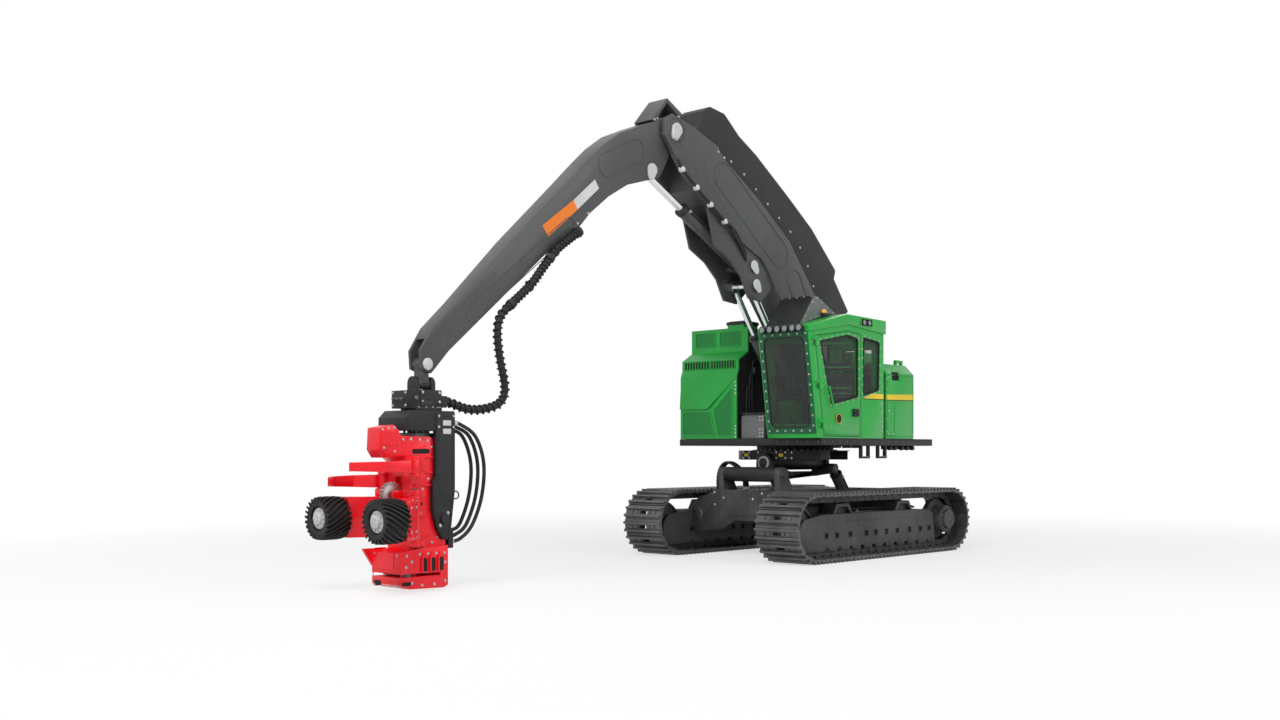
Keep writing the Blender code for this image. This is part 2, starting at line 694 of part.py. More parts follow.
def side_frame(side):
    """One track's frame: plates, rollers and carrier guards, with its idler and its drive."""
    tag = "left" if side > 0 else "right"
    middle = side * TRACK_GAUGE / 2
    axle_z = GROUSER_TIP_R
    half = FRAME_WIDTH / 2
    chain_in = GROUSER_TIP_R - GROUSER_HEIGHT - SHOE_PLATE - CHAIN_DEPTH
    beam = (
        (FRAME_REAR, FRAME_BOTTOM), (FRAME_FRONT, FRAME_BOTTOM), (FRAME_FRONT, FRAME_TOP - OVER),
        (FRAME_FRONT - FORK_DEPTH, FRAME_TOP), (FRAME_REAR + FORK_DEPTH, FRAME_TOP), (FRAME_REAR, FRAME_TOP - OVER),
    )
    solids = [prism(beam, "Y", middle - half + OVER, middle + half - OVER)]
    edge = []
    for x in sorted(MOON_XS):
        edge += [
            (x + MOON_R * math.cos(a), PLATE_BOTTOM + MOON_R * math.sin(a))
            for a in (math.radians(180 - 45 * step) for step in range(5))
        ]
    plate = [(PLATE_REAR, PLATE_BOTTOM)] + edge + [
        (PLATE_FRONT - PLATE_CORNER, PLATE_BOTTOM), (PLATE_FRONT, PLATE_BOTTOM + PLATE_CORNER),
        (PLATE_FRONT, PLATE_TOP - PLATE_CORNER), (PLATE_FRONT - PLATE_CORNER, PLATE_TOP), (FRAME_FRONT, FRAME_TOP),
        (FRAME_REAR + FORK_DEPTH, FRAME_TOP), (PLATE_REAR + PLATE_CORNER / 2, PLATE_TOP),
    ]
    cuts = []
    for way in (-1, 1):
        outer = middle + way * half
        solids.append(prism(plate, "Y", *sorted((outer, outer - way * PLATE_THICK))))
        boss = sorted((outer, outer - way * FORK_PLATE))
        solids.append(block((FRAME_FRONT - FORK_DEPTH, IDLER_X + HUB_R), boss, around(axle_z, PLATE_CORNER / 2)))
        for x in HOLE_XS:
            face = sorted((outer + way * OVER, outer - way * HOLE_DEPTH))
            cuts.append(block(around(x, HOLE_SIZE / 2), face, around(HOLE_Z, HOLE_SIZE / 2)))
    inner = middle - side * half
    mount_y = sorted((inner, inner + side * FORK_PLATE))
    solids.append(block((SPROCKET_X - HUB_R, FRAME_REAR + FORK_DEPTH), mount_y, around(axle_z, FORK_DEPTH / 2)))
    run = FRAME_FRONT - FRAME_REAR - 2 * ROLLER_R
    for index in range(ROLLER_COUNT):
        x = FRAME_REAR + ROLLER_R + run * index / (ROLLER_COUNT - 1)
        z = axle_z - chain_in + ROLLER_R + SEAT
        solids.append(pin(x, z, around(middle, half - PLATE_THICK / 2), ROLLER_R, 12))
    for x in GUARD_XS:
        guard = (
            (x - GUARD_FOOT / 2, FRAME_TOP - OVER), (x + GUARD_FOOT / 2, FRAME_TOP - OVER),
            (x + GUARD_CROWN / 2, GUARD_TOP), (x - GUARD_CROWN / 2, GUARD_TOP),
        )
        solids.append(prism(guard, "Y", *around(middle, ROLLER_WIDTH / 2)))
        room = (
            (x - GUARD_FOOT / 2 + GUARD_SHEET, FRAME_TOP), (x + GUARD_FOOT / 2 - GUARD_SHEET, FRAME_TOP),
            (x + GUARD_CROWN / 2 - GUARD_SHEET, GUARD_TOP - GUARD_SHEET),
            (x - GUARD_CROWN / 2 + GUARD_SHEET, GUARD_TOP - GUARD_SHEET),
        )
        for way in (-1, 1):
            face = sorted((middle + way * (ROLLER_WIDTH / 2 + OVER), middle + way * GUARD_SHEET))
            cuts.append(prism(room, "Y", *face))
    piece("track_frame_" + tag, "undercarriage", "track_grey", solids, cuts)

    wheel = IDLER_WIDTH / 2
    web = IDLER_R - HUB_R / 2
    fork_in = half - FORK_PLATE - SEAT
    profile = (
        (-fork_in, HUB_R), (-wheel, HUB_R), (-wheel / 2, web), (-wheel, web), (-wheel, IDLER_R - HUB_R / 4),
        (-wheel / 3, IDLER_R - HUB_R / 4), (-wheel / 3, IDLER_R), (wheel / 3, IDLER_R),
        (wheel / 3, IDLER_R - HUB_R / 4), (wheel, IDLER_R - HUB_R / 4), (wheel, web), (wheel / 2, web),
        (wheel, HUB_R), (fork_in, HUB_R),
    )
    piece("idler_" + tag, "undercarriage", "track_grey", [turned(profile, (IDLER_X, middle, axle_z), (0, 1, 0))])

    disc = SPROCKET_WIDTH / 2
    drive = (
        (-fork_in, DRIVE_R), (-disc, DRIVE_R), (-disc, SPROCKET_R), (disc, SPROCKET_R),
        (disc, DRIVE_R), (DRIVE_REACH - DRIVE_CAP, DRIVE_R), (DRIVE_REACH - DRIVE_CAP, DRIVE_CAP_R),
        (DRIVE_REACH, DRIVE_CAP_R),
    )
    hub = turned(drive, (SPROCKET_X, middle, axle_z), (0, side, 0))
    piece("final_drive_" + tag, "undercarriage", "track_grey", [hub])


def carbody():
    """The frame between the tracks: two arched cross members and the levelling lugs."""
    inner = TRACK_GAUGE / 2 - FRAME_WIDTH / 2 - SEAT
    arch_end, arch_foot = (inner * share for share in CROSS_ARCH_SHARES)
    top_end, shoulder = (inner * share for share in CROSS_TOP_SHARES)
    right = [
        (arch_end, CROSS_ARCH_TOP), (arch_foot, CROSS_BOTTOM), (inner, CROSS_BOTTOM), (inner, CROSS_SHOULDER - PLATE_CORNER),
        (inner - PLATE_CORNER, CROSS_SHOULDER), (shoulder, CROSS_SHOULDER), (top_end, CARBODY_TOP),
    ]
    arch = right + [(-y, z) for y, z in reversed(right)]
    spans = (
        (CARBODY_FRONT - CROSS_FRONT_DEPTH, CARBODY_FRONT), (CARBODY_REAR, CARBODY_REAR + CROSS_REAR_DEPTH),
    )
    solids = [prism(arch, "X", *span) for span in spans]
    middle = (CARBODY_REAR + OVER, CARBODY_FRONT - OVER)
    solids.append(block(middle, (-CARBODY_HALF, CARBODY_HALF), (CARBODY_BOTTOM, CARBODY_TOP - SEAT)))
    lug = [(PITCH_X - PITCH_LUG_FOOT, CARBODY_TOP - OVER), (CARBODY_FRONT - SEAT, CARBODY_TOP - OVER)]
    lug += [
        (PITCH_X + PITCH_BOSS_R * math.cos(a), PITCH_Z + PITCH_BOSS_R * math.sin(a))
        for a in (math.radians(15 * s) for s in range(0, 13))
    ]
    base_x, base_z = LEVEL_BASE
    r = LEVEL_EYE_R
    wall = CARBODY_REAR + CROSS_REAR_DEPTH - OVER
    plate = [
        (wall, base_z + r * 4), (wall, base_z - r), (base_x - r / 2, base_z - r),
        (base_x + r / 2, base_z - r), (base_x + r, base_z - r / 2), (base_x + r, base_z + r / 2), (base_x + r / 2, base_z + r),
    ]
    for way in (-1, 1):
        outer = PITCH_LUG_IN + PITCH_LUG_PLATE
        solids.append(prism(lug, "Y", *sorted((way * PITCH_LUG_IN, way * outer))))
        solids.append(pin(PITCH_X, PITCH_Z, sorted((way * (outer - OVER), way * (outer + PIN_CAP))), PITCH_BOSS_R / 2))
        reach = LEVEL_Y + LEVEL_EYE_WIDTH / 2 + RUN
        near = LEVEL_Y - LEVEL_EYE_WIDTH / 2 - RUN
        for low, high in ((near - LEVEL_LUG, near), (reach, reach + LEVEL_LUG)):
            solids.append(prism(plate, "Y", *sorted((way * low, way * high))))
        y = way * inner * COVER_SHARE
        solids.append(rod((CARBODY_FRONT - OVER, y, COVER_Z), (CARBODY_FRONT + PIN_CAP, y, COVER_Z), COVER_R))
    piece("carbody", "undercarriage", "track_grey", solids)


def levelling():
    """The yoke that pitches on the carbody, its two cylinders, and the table that rolls on it."""
    boss = [
        (PITCH_X + PITCH_BOSS_R * math.cos(a), PITCH_Z + PITCH_BOSS_R * math.sin(a))
        for a in (math.radians(22.5 * s) for s in range(-4, 5))
    ]
    side = boss + [(TABLE_FRONT, YOKE_TOP), (YOKE_REAR, YOKE_TOP), (YOKE_REAR, YOKE_TOP - YOKE_END)]
    ys = (-YOKE_HALF, YOKE_HALF)
    lug_front = TABLE_FRONT + RUN
    lug_rear = TABLE_REAR - RUN
    eye_x, eye_z = LEVEL_EYE
    arm_half = LEVEL_Y - LEVEL_EYE_WIDTH / 2 - RUN
    arm = [
        (YOKE_HALF, ARM_LOW), (arm_half, eye_z - LEVEL_EYE_R), (arm_half, eye_z + LEVEL_EYE_R / 2), (YOKE_HALF, YOKE_TOP - SEAT),
    ]
    arm += [(-y, z) for y, z in reversed(arm)]
    solids = [
        prism(side, "Y", *ys),
        prism(boss, "Y", -(PITCH_LUG_IN - RUN), PITCH_LUG_IN - RUN),
        block((lug_front, lug_front + ROLL_LUG), around(0, ROLL_LUG_R), (PITCH_Z, ROLL_Z)),
        rod((lug_front, 0, ROLL_Z), (lug_front + ROLL_LUG, 0, ROLL_Z), ROLL_LUG_R),
        block((lug_rear - ROLL_LUG, lug_rear), around(0, ROLL_LUG_R), (PITCH_Z, ROLL_Z)),
        rod((lug_rear - ROLL_LUG, 0, ROLL_Z), (lug_rear, 0, ROLL_Z), ROLL_LUG_R),
        rod((lug_front + ROLL_LUG - OVER, 0, ROLL_Z), (lug_front + ROLL_LUG + PIN_CAP, 0, ROLL_Z), ROLL_LUG_R / 2),
        prism(arm, "X", *around(eye_x, LEVEL_EYE_R)),
    ]
    for way in (-1, 1):
        solids.append(pin(eye_x, eye_z, sorted((way * (arm_half - LEVEL_LUG), way * arm_half)), LEVEL_EYE_R))
    piece("level_yoke", "level_yoke_body", "boom_grey", solids)

    base = Vector((LEVEL_BASE[0], 0, LEVEL_BASE[1]))
    eye = Vector((eye_x, 0, eye_z))
    line = eye - base
    along = line.normalized()
    for way in (-1, 1):
        tag = "left" if way > 0 else "right"
        y = Vector((0, way * LEVEL_Y, 0))
        half = around(way * LEVEL_Y, LEVEL_EYE_WIDTH / 2)
        mouth = base + y + line * LEVEL_MOUTH_SHARE
        head_end = eye + y - along * (LEVEL_EYE_R * 2)
        barrel = [
            rod(mouth, head_end, LEVEL_BARREL_R), rod(head_end - along * OVER, eye + y, LEVEL_ROD_R),
            pin(eye_x, eye_z, half, LEVEL_EYE_R),
        ]
        bore = rod(mouth - along * OVER, base + y + line * LEVEL_BORE_SHARE, LEVEL_ROD_R + RUN)
        piece("level_barrel_" + tag, "level_barrel_body", "boom_grey", barrel, [bore])
        shaft = [rod(base + y, base + y + line * LEVEL_ROD_SHARE, LEVEL_ROD_R), pin(base.x, base.z, half, LEVEL_EYE_R)]
        piece("level_rod_" + tag, "level_rod_body", "rod_steel", shaft)

    slab = [
        (TABLE_REAR, -TABLE_HALF + TABLE_CHAMFER), (TABLE_REAR + TABLE_CHAMFER, -TABLE_HALF),
        (TABLE_FRONT - TABLE_CHAMFER, -TABLE_HALF), (TABLE_FRONT, -TABLE_HALF + TABLE_CHAMFER),
        (TABLE_FRONT, TABLE_HALF - TABLE_CHAMFER), (TABLE_FRONT - TABLE_CHAMFER, TABLE_HALF),
        (TABLE_REAR + TABLE_CHAMFER, TABLE_HALF), (TABLE_REAR, TABLE_HALF - TABLE_CHAMFER),
    ]
    solids = [
        prism(slab, "Z", TABLE_BOTTOM, TABLE_TOP),
        rod((TABLE_REAR, 0, ROLL_Z), (TABLE_FRONT, 0, ROLL_Z), ROLL_BOSS_R),
    ]
    cuts = [
        block(EYE_POCKET, sorted((way * ROLL_LUG_R * 2, way * (TABLE_HALF + OVER))), (TABLE_BOTTOM - OVER, TABLE_TOP - POCKET_ROOF))
        for way in (-1, 1)
    ]
    solids.append(rod((0, 0, TABLE_TOP - POCKET_ROOF / 2), (0, 0, TABLE_TOP + RING_HEIGHT), RING_R, 32))
    piece("tilt_table", "tilt_table_body", "boom_grey", solids, cuts)


def deck():
    """The floor of the upper works: cab side, well, engine side and a rounded tail."""
    tail = []
    start = math.atan2(DECK_LEFT, -math.sqrt(TAIL_R ** 2 - DECK_LEFT ** 2))
    end = math.tau - start
    for step in range(9):
        angle = start + (end - start) * step / 8
        tail.append((TAIL_R * math.cos(angle), TAIL_R * math.sin(angle)))
    plan = [(DECK_CAB_FRONT, CAB_RIGHT - OVER), (DECK_CAB_FRONT, DECK_LEFT)] + tail
    plan += [(DECK_REAR, DECK_RIGHT), (DECK_FRONT, DECK_RIGHT), (DECK_FRONT, CAB_RIGHT - OVER)]
    plan = [p for i, p in enumerate(plan) if p != plan[i - 1]]
    solids = [prism(plan, "Z", DECK_BOTTOM, DECK_TOP)]
    for x in STEP_XS:
        for way in (0, STEP_LENGTH):
            solids.append(block(around(x + way, STEP_BAR / 2), (DECK_LEFT - STEP_DEPTH, DECK_LEFT), (DECK_BOTTOM - STEP_DROP, DECK_BOTTOM + OVER)))
        solids.append(block((x - STEP_BAR / 2, x + STEP_LENGTH + STEP_BAR / 2), (DECK_LEFT - STEP_DEPTH, DECK_LEFT), (DECK_BOTTOM - STEP_DROP, DECK_BOTTOM - STEP_DROP + STEP_BAR)))
    piece("main_deck", "upper", "iron_black", solids)
    x, y, z = WELL_BOX
    lid = [(x[0], z[0]), (x[1], z[0]), (x[1], z[1] - STEP_DEPTH), (x[1] - STEP_DEPTH, z[1]), (x[0], z[1])]
    piece("well_box", "upper", "dark_green", [prism(lid, "Y", *y)])


def cab_front_x(z):
    return CAB_FRONT + CAB_LEAN * (z - DECK_TOP)


def roof_z(x):
    """Height of the roof's front slope."""
    nose = cab_front_x(ROOF_FRONT_Z) + ROOF_LIP
    share = (x - ROOF_PEAK[0]) / (nose - ROOF_PEAK[0])
    return ROOF_PEAK[1] + (ROOF_FRONT_Z - ROOF_PEAK[1]) * share


def cab():
    """The hollow cab: a shell with its windows cut, a roof, a door, panes and a seat."""
    floor = DECK_TOP + SEAT
    peak_x, peak_z = CAB_PEAK
    side = [
        (CAB_REAR, floor), (cab_front_x(floor), floor), (cab_front_x(CAB_FRONT_TOP), CAB_FRONT_TOP),
        (peak_x, peak_z), (CAB_REAR, CAB_REAR_TOP),
    ]
    w = CAB_WALL
    room = [
        (CAB_REAR + w, floor + w), (cab_front_x(floor + w) - w, floor + w),
        (cab_front_x(CAB_FRONT_TOP) - w, CAB_FRONT_TOP - w), (peak_x, peak_z - w), (CAB_REAR + w, CAB_REAR_TOP - w),
    ]
    g = DOOR_GAP
    door = door_outline()
    hole = [(x + g * sx, z + g * sz) for (x, z), (sx, sz) in zip(door, ((-1, -1), (1, -1), (1, 1), (0, 1), (-1, 1)))]
    cuts = [
        prism(room, "Y", CAB_RIGHT + w, CAB_LEFT - w),
        prism(hole, "Y", CAB_LEFT - w - OVER, CAB_LEFT + OVER),
        prism(window_rear(), "Y", CAB_LEFT - w - OVER, CAB_LEFT + OVER),
        prism(window_right(), "Y", CAB_RIGHT - OVER, CAB_RIGHT + w + OVER),
        block((CAB_FRONT - w * 2, cab_front_x(CAB_FRONT_TOP) + OVER), (CAB_RIGHT + w, CAB_LEFT - w), SCREEN_Z),
        block((CAB_REAR - OVER, CAB_REAR + w + OVER), REAR_WINDOW_Y, REAR_WINDOW_Z),
    ]
    solids = [prism(side, "Y", CAB_RIGHT, CAB_LEFT)]
    for z in DOOR_HINGE_ZS:
        solids += hinge_barrel(z, 1)
    piece("cab_shell", "upper", "body_green", solids, cuts)

    lift = SEAT * 2
    roof = [
        (ROOF_REAR[0], CAB_REAR_TOP + lift), (CAB_REAR, CAB_REAR_TOP + lift), (peak_x, peak_z + lift),
        (cab_front_x(CAB_FRONT_TOP), CAB_FRONT_TOP + lift), (cab_front_x(ROOF_FRONT_Z) + ROOF_LIP, ROOF_FRONT_Z),
        ROOF_PEAK, ROOF_REAR,
    ]
    piece("cab_roof", "upper", "body_green", [prism(roof, "Y", CAB_RIGHT, CAB_LEFT + ROOF_LIP)])

    guard = [
        (x, z) for x, z in ((GUARD_NOSE, roof_z(GUARD_NOSE)), (GUARD_PEAKS[0], GUARD_PEAK_Z), (GUARD_PEAKS[1], GUARD_PEAK_Z), (GUARD_TAIL, ROOF_PEAK[1]))
    ]
    under = [(x + dx, z) for (x, z), dx in zip(guard, (-GUARD_WALL * 2, -GUARD_WALL / 2, GUARD_WALL / 2, GUARD_WALL * 2))]
    under = [under[0], (under[1][0], GUARD_PEAK_Z - GUARD_WALL), (under[2][0], GUARD_PEAK_Z - GUARD_WALL), under[3]]
    foot = ROOF_PEAK[1] + SEAT
    base = [(GUARD_TAIL, foot), (ROOF_PEAK[0], foot), (GUARD_NOSE, roof_z(GUARD_NOSE) + SEAT), guard[1], guard[2]]
    hollow = [
        (GUARD_TAIL + GUARD_WALL * 2, foot + GUARD_WALL), (ROOF_PEAK[0], foot + GUARD_WALL),
        (GUARD_NOSE - GUARD_WALL * 3, roof_z(GUARD_NOSE) + GUARD_WALL * 2), under[1], under[2],
    ]
    ys = (GUARD_SIDES[0] + GUARD_WALL, GUARD_SIDES[1] - GUARD_WALL)
    mouth = block((GUARD_TAIL - OVER, GUARD_TAIL + GUARD_WALL * 3), ys, (foot + GUARD_WALL, foot + GUARD_WALL * 3))
    piece("roof_guard", "upper", "iron_black", [prism(base, "Y", *GUARD_SIDES)], [prism(hollow, "Y", *ys), mouth])

    lip_x = cab_front_x(ROOF_FRONT_Z) + ROOF_LIP + SEAT
    bar_z = around(LAMP_Z, LAMP_R / 2)
    solids = [block((lip_x, lip_x + LAMP_BAR), (LAMP_YS[0], LAMP_YS[-1]), (bar_z[0], ROOF_FRONT_Z - SEAT))]
    for y in LAMP_YS:
        solids.append(rod((lip_x + LAMP_BAR - OVER, y, LAMP_Z), (lip_x + LAMP_BAR + LAMP_DEPTH, y, LAMP_Z), LAMP_R, 16))
    piece("lamp_row", "upper", "iron_black", solids)

    window = door_window()
    solids = [prism(door, "Y", CAB_LEFT - w, CAB_LEFT)]
    for z in DOOR_HINGE_ZS:
        solids += hinge_barrel(z, -1)
    latch_x, latch_z, stand = LATCH
    solids.append(block(latch_x, (CAB_LEFT - OVER, CAB_LEFT + stand), latch_z))
    (disc_x, disc_z), disc_r, stand = DISC
    solids.append(pin(disc_x, disc_z, (CAB_LEFT - OVER, CAB_LEFT + stand), disc_r))
    (top_x, top_z), (end_x, end_z), rail_r, stand = RAIL
    inside, outside = CAB_LEFT - OVER, CAB_LEFT + stand
    grip = [(top_x, inside, top_z), (top_x, outside, top_z), (end_x, outside, end_z), (end_x, inside, end_z)]
    solids.append(tube(grip, rail_r, 8))
    piece("cab_door", "door", "body_green", solids, [prism(window, "Y", CAB_LEFT - w - OVER, CAB_LEFT + OVER)])

    def shrink(points):
        cx = sum(p[0] for p in points) / len(points)
        cz = sum(p[1] for p in points) / len(points)
        return [(x - math.copysign(SEAT, x - cx), z - math.copysign(SEAT, z - cz)) for x, z in points]

    pane_y = around(CAB_LEFT - w / 2, PANE / 2)
    piece("door_pane", "door", "pane", [prism(shrink(window), "Y", *pane_y)])
    piece("rear_side_pane", "upper", "pane", [prism(shrink(window_rear()), "Y", *pane_y)])
    piece("right_pane", "upper", "pane", [prism(shrink(window_right()), "Y", *around(CAB_RIGHT + w / 2, PANE / 2))])
    low, high = SCREEN_Z[0] + SEAT, SCREEN_Z[1] - SEAT
    screen = [(cab_front_x(z) - w / 2 + dx, z) for dx, z in ((-PANE, low), (0, low), (0, high), (-PANE, high))]
    piece("windscreen", "upper", "pane", [prism(screen, "Y", CAB_RIGHT + w + SEAT, CAB_LEFT - w - SEAT)])
    piece("rear_pane", "upper", "pane", [
        block(around(CAB_REAR + w / 2, PANE / 2), (REAR_WINDOW_Y[0] + SEAT, REAR_WINDOW_Y[1] - SEAT), (REAR_WINDOW_Z[0] + SEAT, REAR_WINDOW_Z[1] - SEAT))])

    seat_z = floor + w + SEAT
    middle = (CAB_LEFT + CAB_RIGHT) / 2
    solids = [
        block(around(SEAT_X, SEAT_DEPTH / 4), around(middle, SEAT_WIDTH / 4), (seat_z, seat_z + SEAT_BASE)),
        block(around(SEAT_X, SEAT_DEPTH / 2), around(middle, SEAT_WIDTH / 2), (seat_z + SEAT_BASE - OVER, seat_z + SEAT_BASE + SEAT_PAD)),
        block((SEAT_X - SEAT_DEPTH / 2 - SEAT_PAD / 2, SEAT_X - SEAT_DEPTH / 2 + SEAT_PAD / 2), around(middle, SEAT_WIDTH / 2), (seat_z + SEAT_BASE, seat_z + SEAT_BACK)),
    ]
    for way in (-1, 1):
        solids.append(block(around(SEAT_X, SEAT_DEPTH / 2), sorted((middle + way * SEAT_WIDTH / 2 - way * OVER, middle + way * (SEAT_WIDTH / 2 + SEAT_PAD))), (seat_z + SEAT_BASE + SEAT_PAD - OVER, seat_z + SEAT_BASE + 2 * SEAT_PAD)))
    piece("seat", "upper", "seat_cloth", solids)


def door_outline():
    """The door's corners from the rear of the sill round."""
    top_x = cab_front_x(DOOR_TOP_FRONT) - (CAB_FRONT - DOOR_FRONT)
    sill_x = cab_front_x(DOOR_SILL) - (CAB_FRONT - DOOR_FRONT)
    peak_x = CAB_PEAK[0]
    peak_z = DOOR_TOP_REAR + (CAB_PEAK[1] - CAB_REAR_TOP) / 2
    return [(DOOR_REAR, DOOR_SILL), (sill_x, DOOR_SILL), (top_x, DOOR_TOP_FRONT), (peak_x, peak_z), (DOOR_REAR, DOOR_TOP_REAR)]


def door_window():
    return list(DOOR_WINDOW)


def window_rear():
    return list(WINDOW_REAR)


def window_right():
    return list(WINDOW_RIGHT)


def hinge_line(z):
    """A point of the door's hinge line, which leans with the front pillar."""
    x = cab_front_x(z) - (CAB_FRONT - DOOR_FRONT) + DOOR_HINGE_AHEAD
    return Vector((x, CAB_LEFT + DOOR_HINGE_OUT, z))


def hinge_barrel(z, way):
    """Half of a hinge: the upper half is the cab's, the lower the door's, with a leaf to its panel."""
    middle = hinge_line(z)
    along = (hinge_line(z + 1) - middle).normalized()
    start = middle + along * (RUN / 2 * way)
    end = middle + along * (DOOR_HINGE_HALF * way)
    zs = sorted((start.z + way * DOOR_HINGE_R / 2, end.z - way * DOOR_HINGE_R / 2))
    edge = middle.x - DOOR_HINGE_AHEAD
    near = edge - OVER if way < 0 else edge + 2 * DOOR_HINGE_AHEAD
    far = near + way * DOOR_HINGE_AHEAD
    knuckle = rod(start, end, DOOR_HINGE_R, 12)
    root = min(middle.x, end.x)  # the axis leans, so the leaf stops where no end of it is ahead of the axis
    leaf = block(sorted((root, far)), (CAB_LEFT + RUN, CAB_LEFT + DOOR_HINGE_OUT), zs)
    foot = block(sorted((near, far)), (CAB_LEFT - CAB_WALL / 2, CAB_LEFT + DOOR_HINGE_OUT), zs)
    return [knuckle, leaf, foot]


def housing():
    """The engine housing, its grilles, and the engine as one plain block."""
    wall = HOUSING_WALL
    room = [
        (HOUSING_REAR + wall, DECK_TOP - OVER), (HOUSING_FRONT - wall, DECK_TOP - OVER), (HOUSING_FRONT - wall * 2, 2.900),
        (0.820 - wall, 3.200), (0.820 - wall, HOUSING_ROOF), (HOUSING_REAR + wall, HOUSING_ROOF),
    ]
    cuts = [prism(room, "Y", HOUSING_RIGHT + wall, HOUSING_LEFT - wall)]
    run = HOUSING_LEFT - HOUSING_RIGHT - 2 * wall
    for bar in range(GRILLE_BARS):
        middle = HOUSING_RIGHT + wall + run * (bar + 0.5) / GRILLE_BARS
        cuts.append(block((HOUSING_FRONT - wall * 4, HOUSING_FRONT + OVER), around(middle, run / GRILLE_BARS * 0.3), GRILLE_Z))
    x, y, top = STACK
    solids = [prism(HOUSING_SIDE, "Y", HOUSING_RIGHT, HOUSING_LEFT)]
    solids.append(block((x[0] - STEP_DEPTH, HOUSING_FRONT - STEP_DEPTH * 5), y, (HOUSING_ROOF + HOUSING_WALL, top)))
    piece("engine_housing", "upper", "body_green", solids, cuts)
    piece("engine_block", "upper", "iron_black", [block(ENGINE[0], ENGINE[1], (DECK_TOP + SEAT, ENGINE[2][1]))])

    floor = DECK_TOP + SEAT
    arc = []
    start = math.asin(WEIGHT_LEFT / TAIL_R)
    end = -math.asin(-DECK_RIGHT / TAIL_R)
    for step in range(7):
        angle = math.pi - start + (start - end) * step / 6
        arc.append((TAIL_R * math.cos(angle), TAIL_R * math.sin(angle)))
    plan = [(HOUSING_REAR - SEAT, WEIGHT_LEFT)] + arc + [(HOUSING_REAR - SEAT, DECK_RIGHT)]
    piece("counterweight", "upper", "body_green", [prism(plan, "Z", floor, WEIGHT_TOP)])

    side = [(TANK_RIGHT, floor), (DECK_LEFT, floor), (DECK_LEFT, TANK_TOP), (DECK_LEFT - (TANK_CROWN - TANK_TOP), TANK_CROWN), (TANK_RIGHT, TANK_CROWN)]
    (x0, x1), top, r = EYE_BAR
    y = DECK_LEFT - (TANK_CROWN - TANK_TOP) - r * 2
    solids = [prism(side, "X", TANK_REAR, TANK_FRONT)]
    for leg_x in (x0, x1):
        solids.append(block(around(leg_x, r), around(y, r), (TANK_CROWN - r, top)))
    solids.append(block((x0, x1), around(y, r), (top - r * 2, top)))
    hx, hz, depth = HANDLE
    pocket = block(hx, (DECK_LEFT - depth, DECK_LEFT + OVER), hz)
    piece("rear_box", "upper", "body_green", solids, [pocket])
    x, y, z = BEHIND_BOX
    piece("tank_box", "upper", "body_green", [block(x, y, (floor, z[1]))])


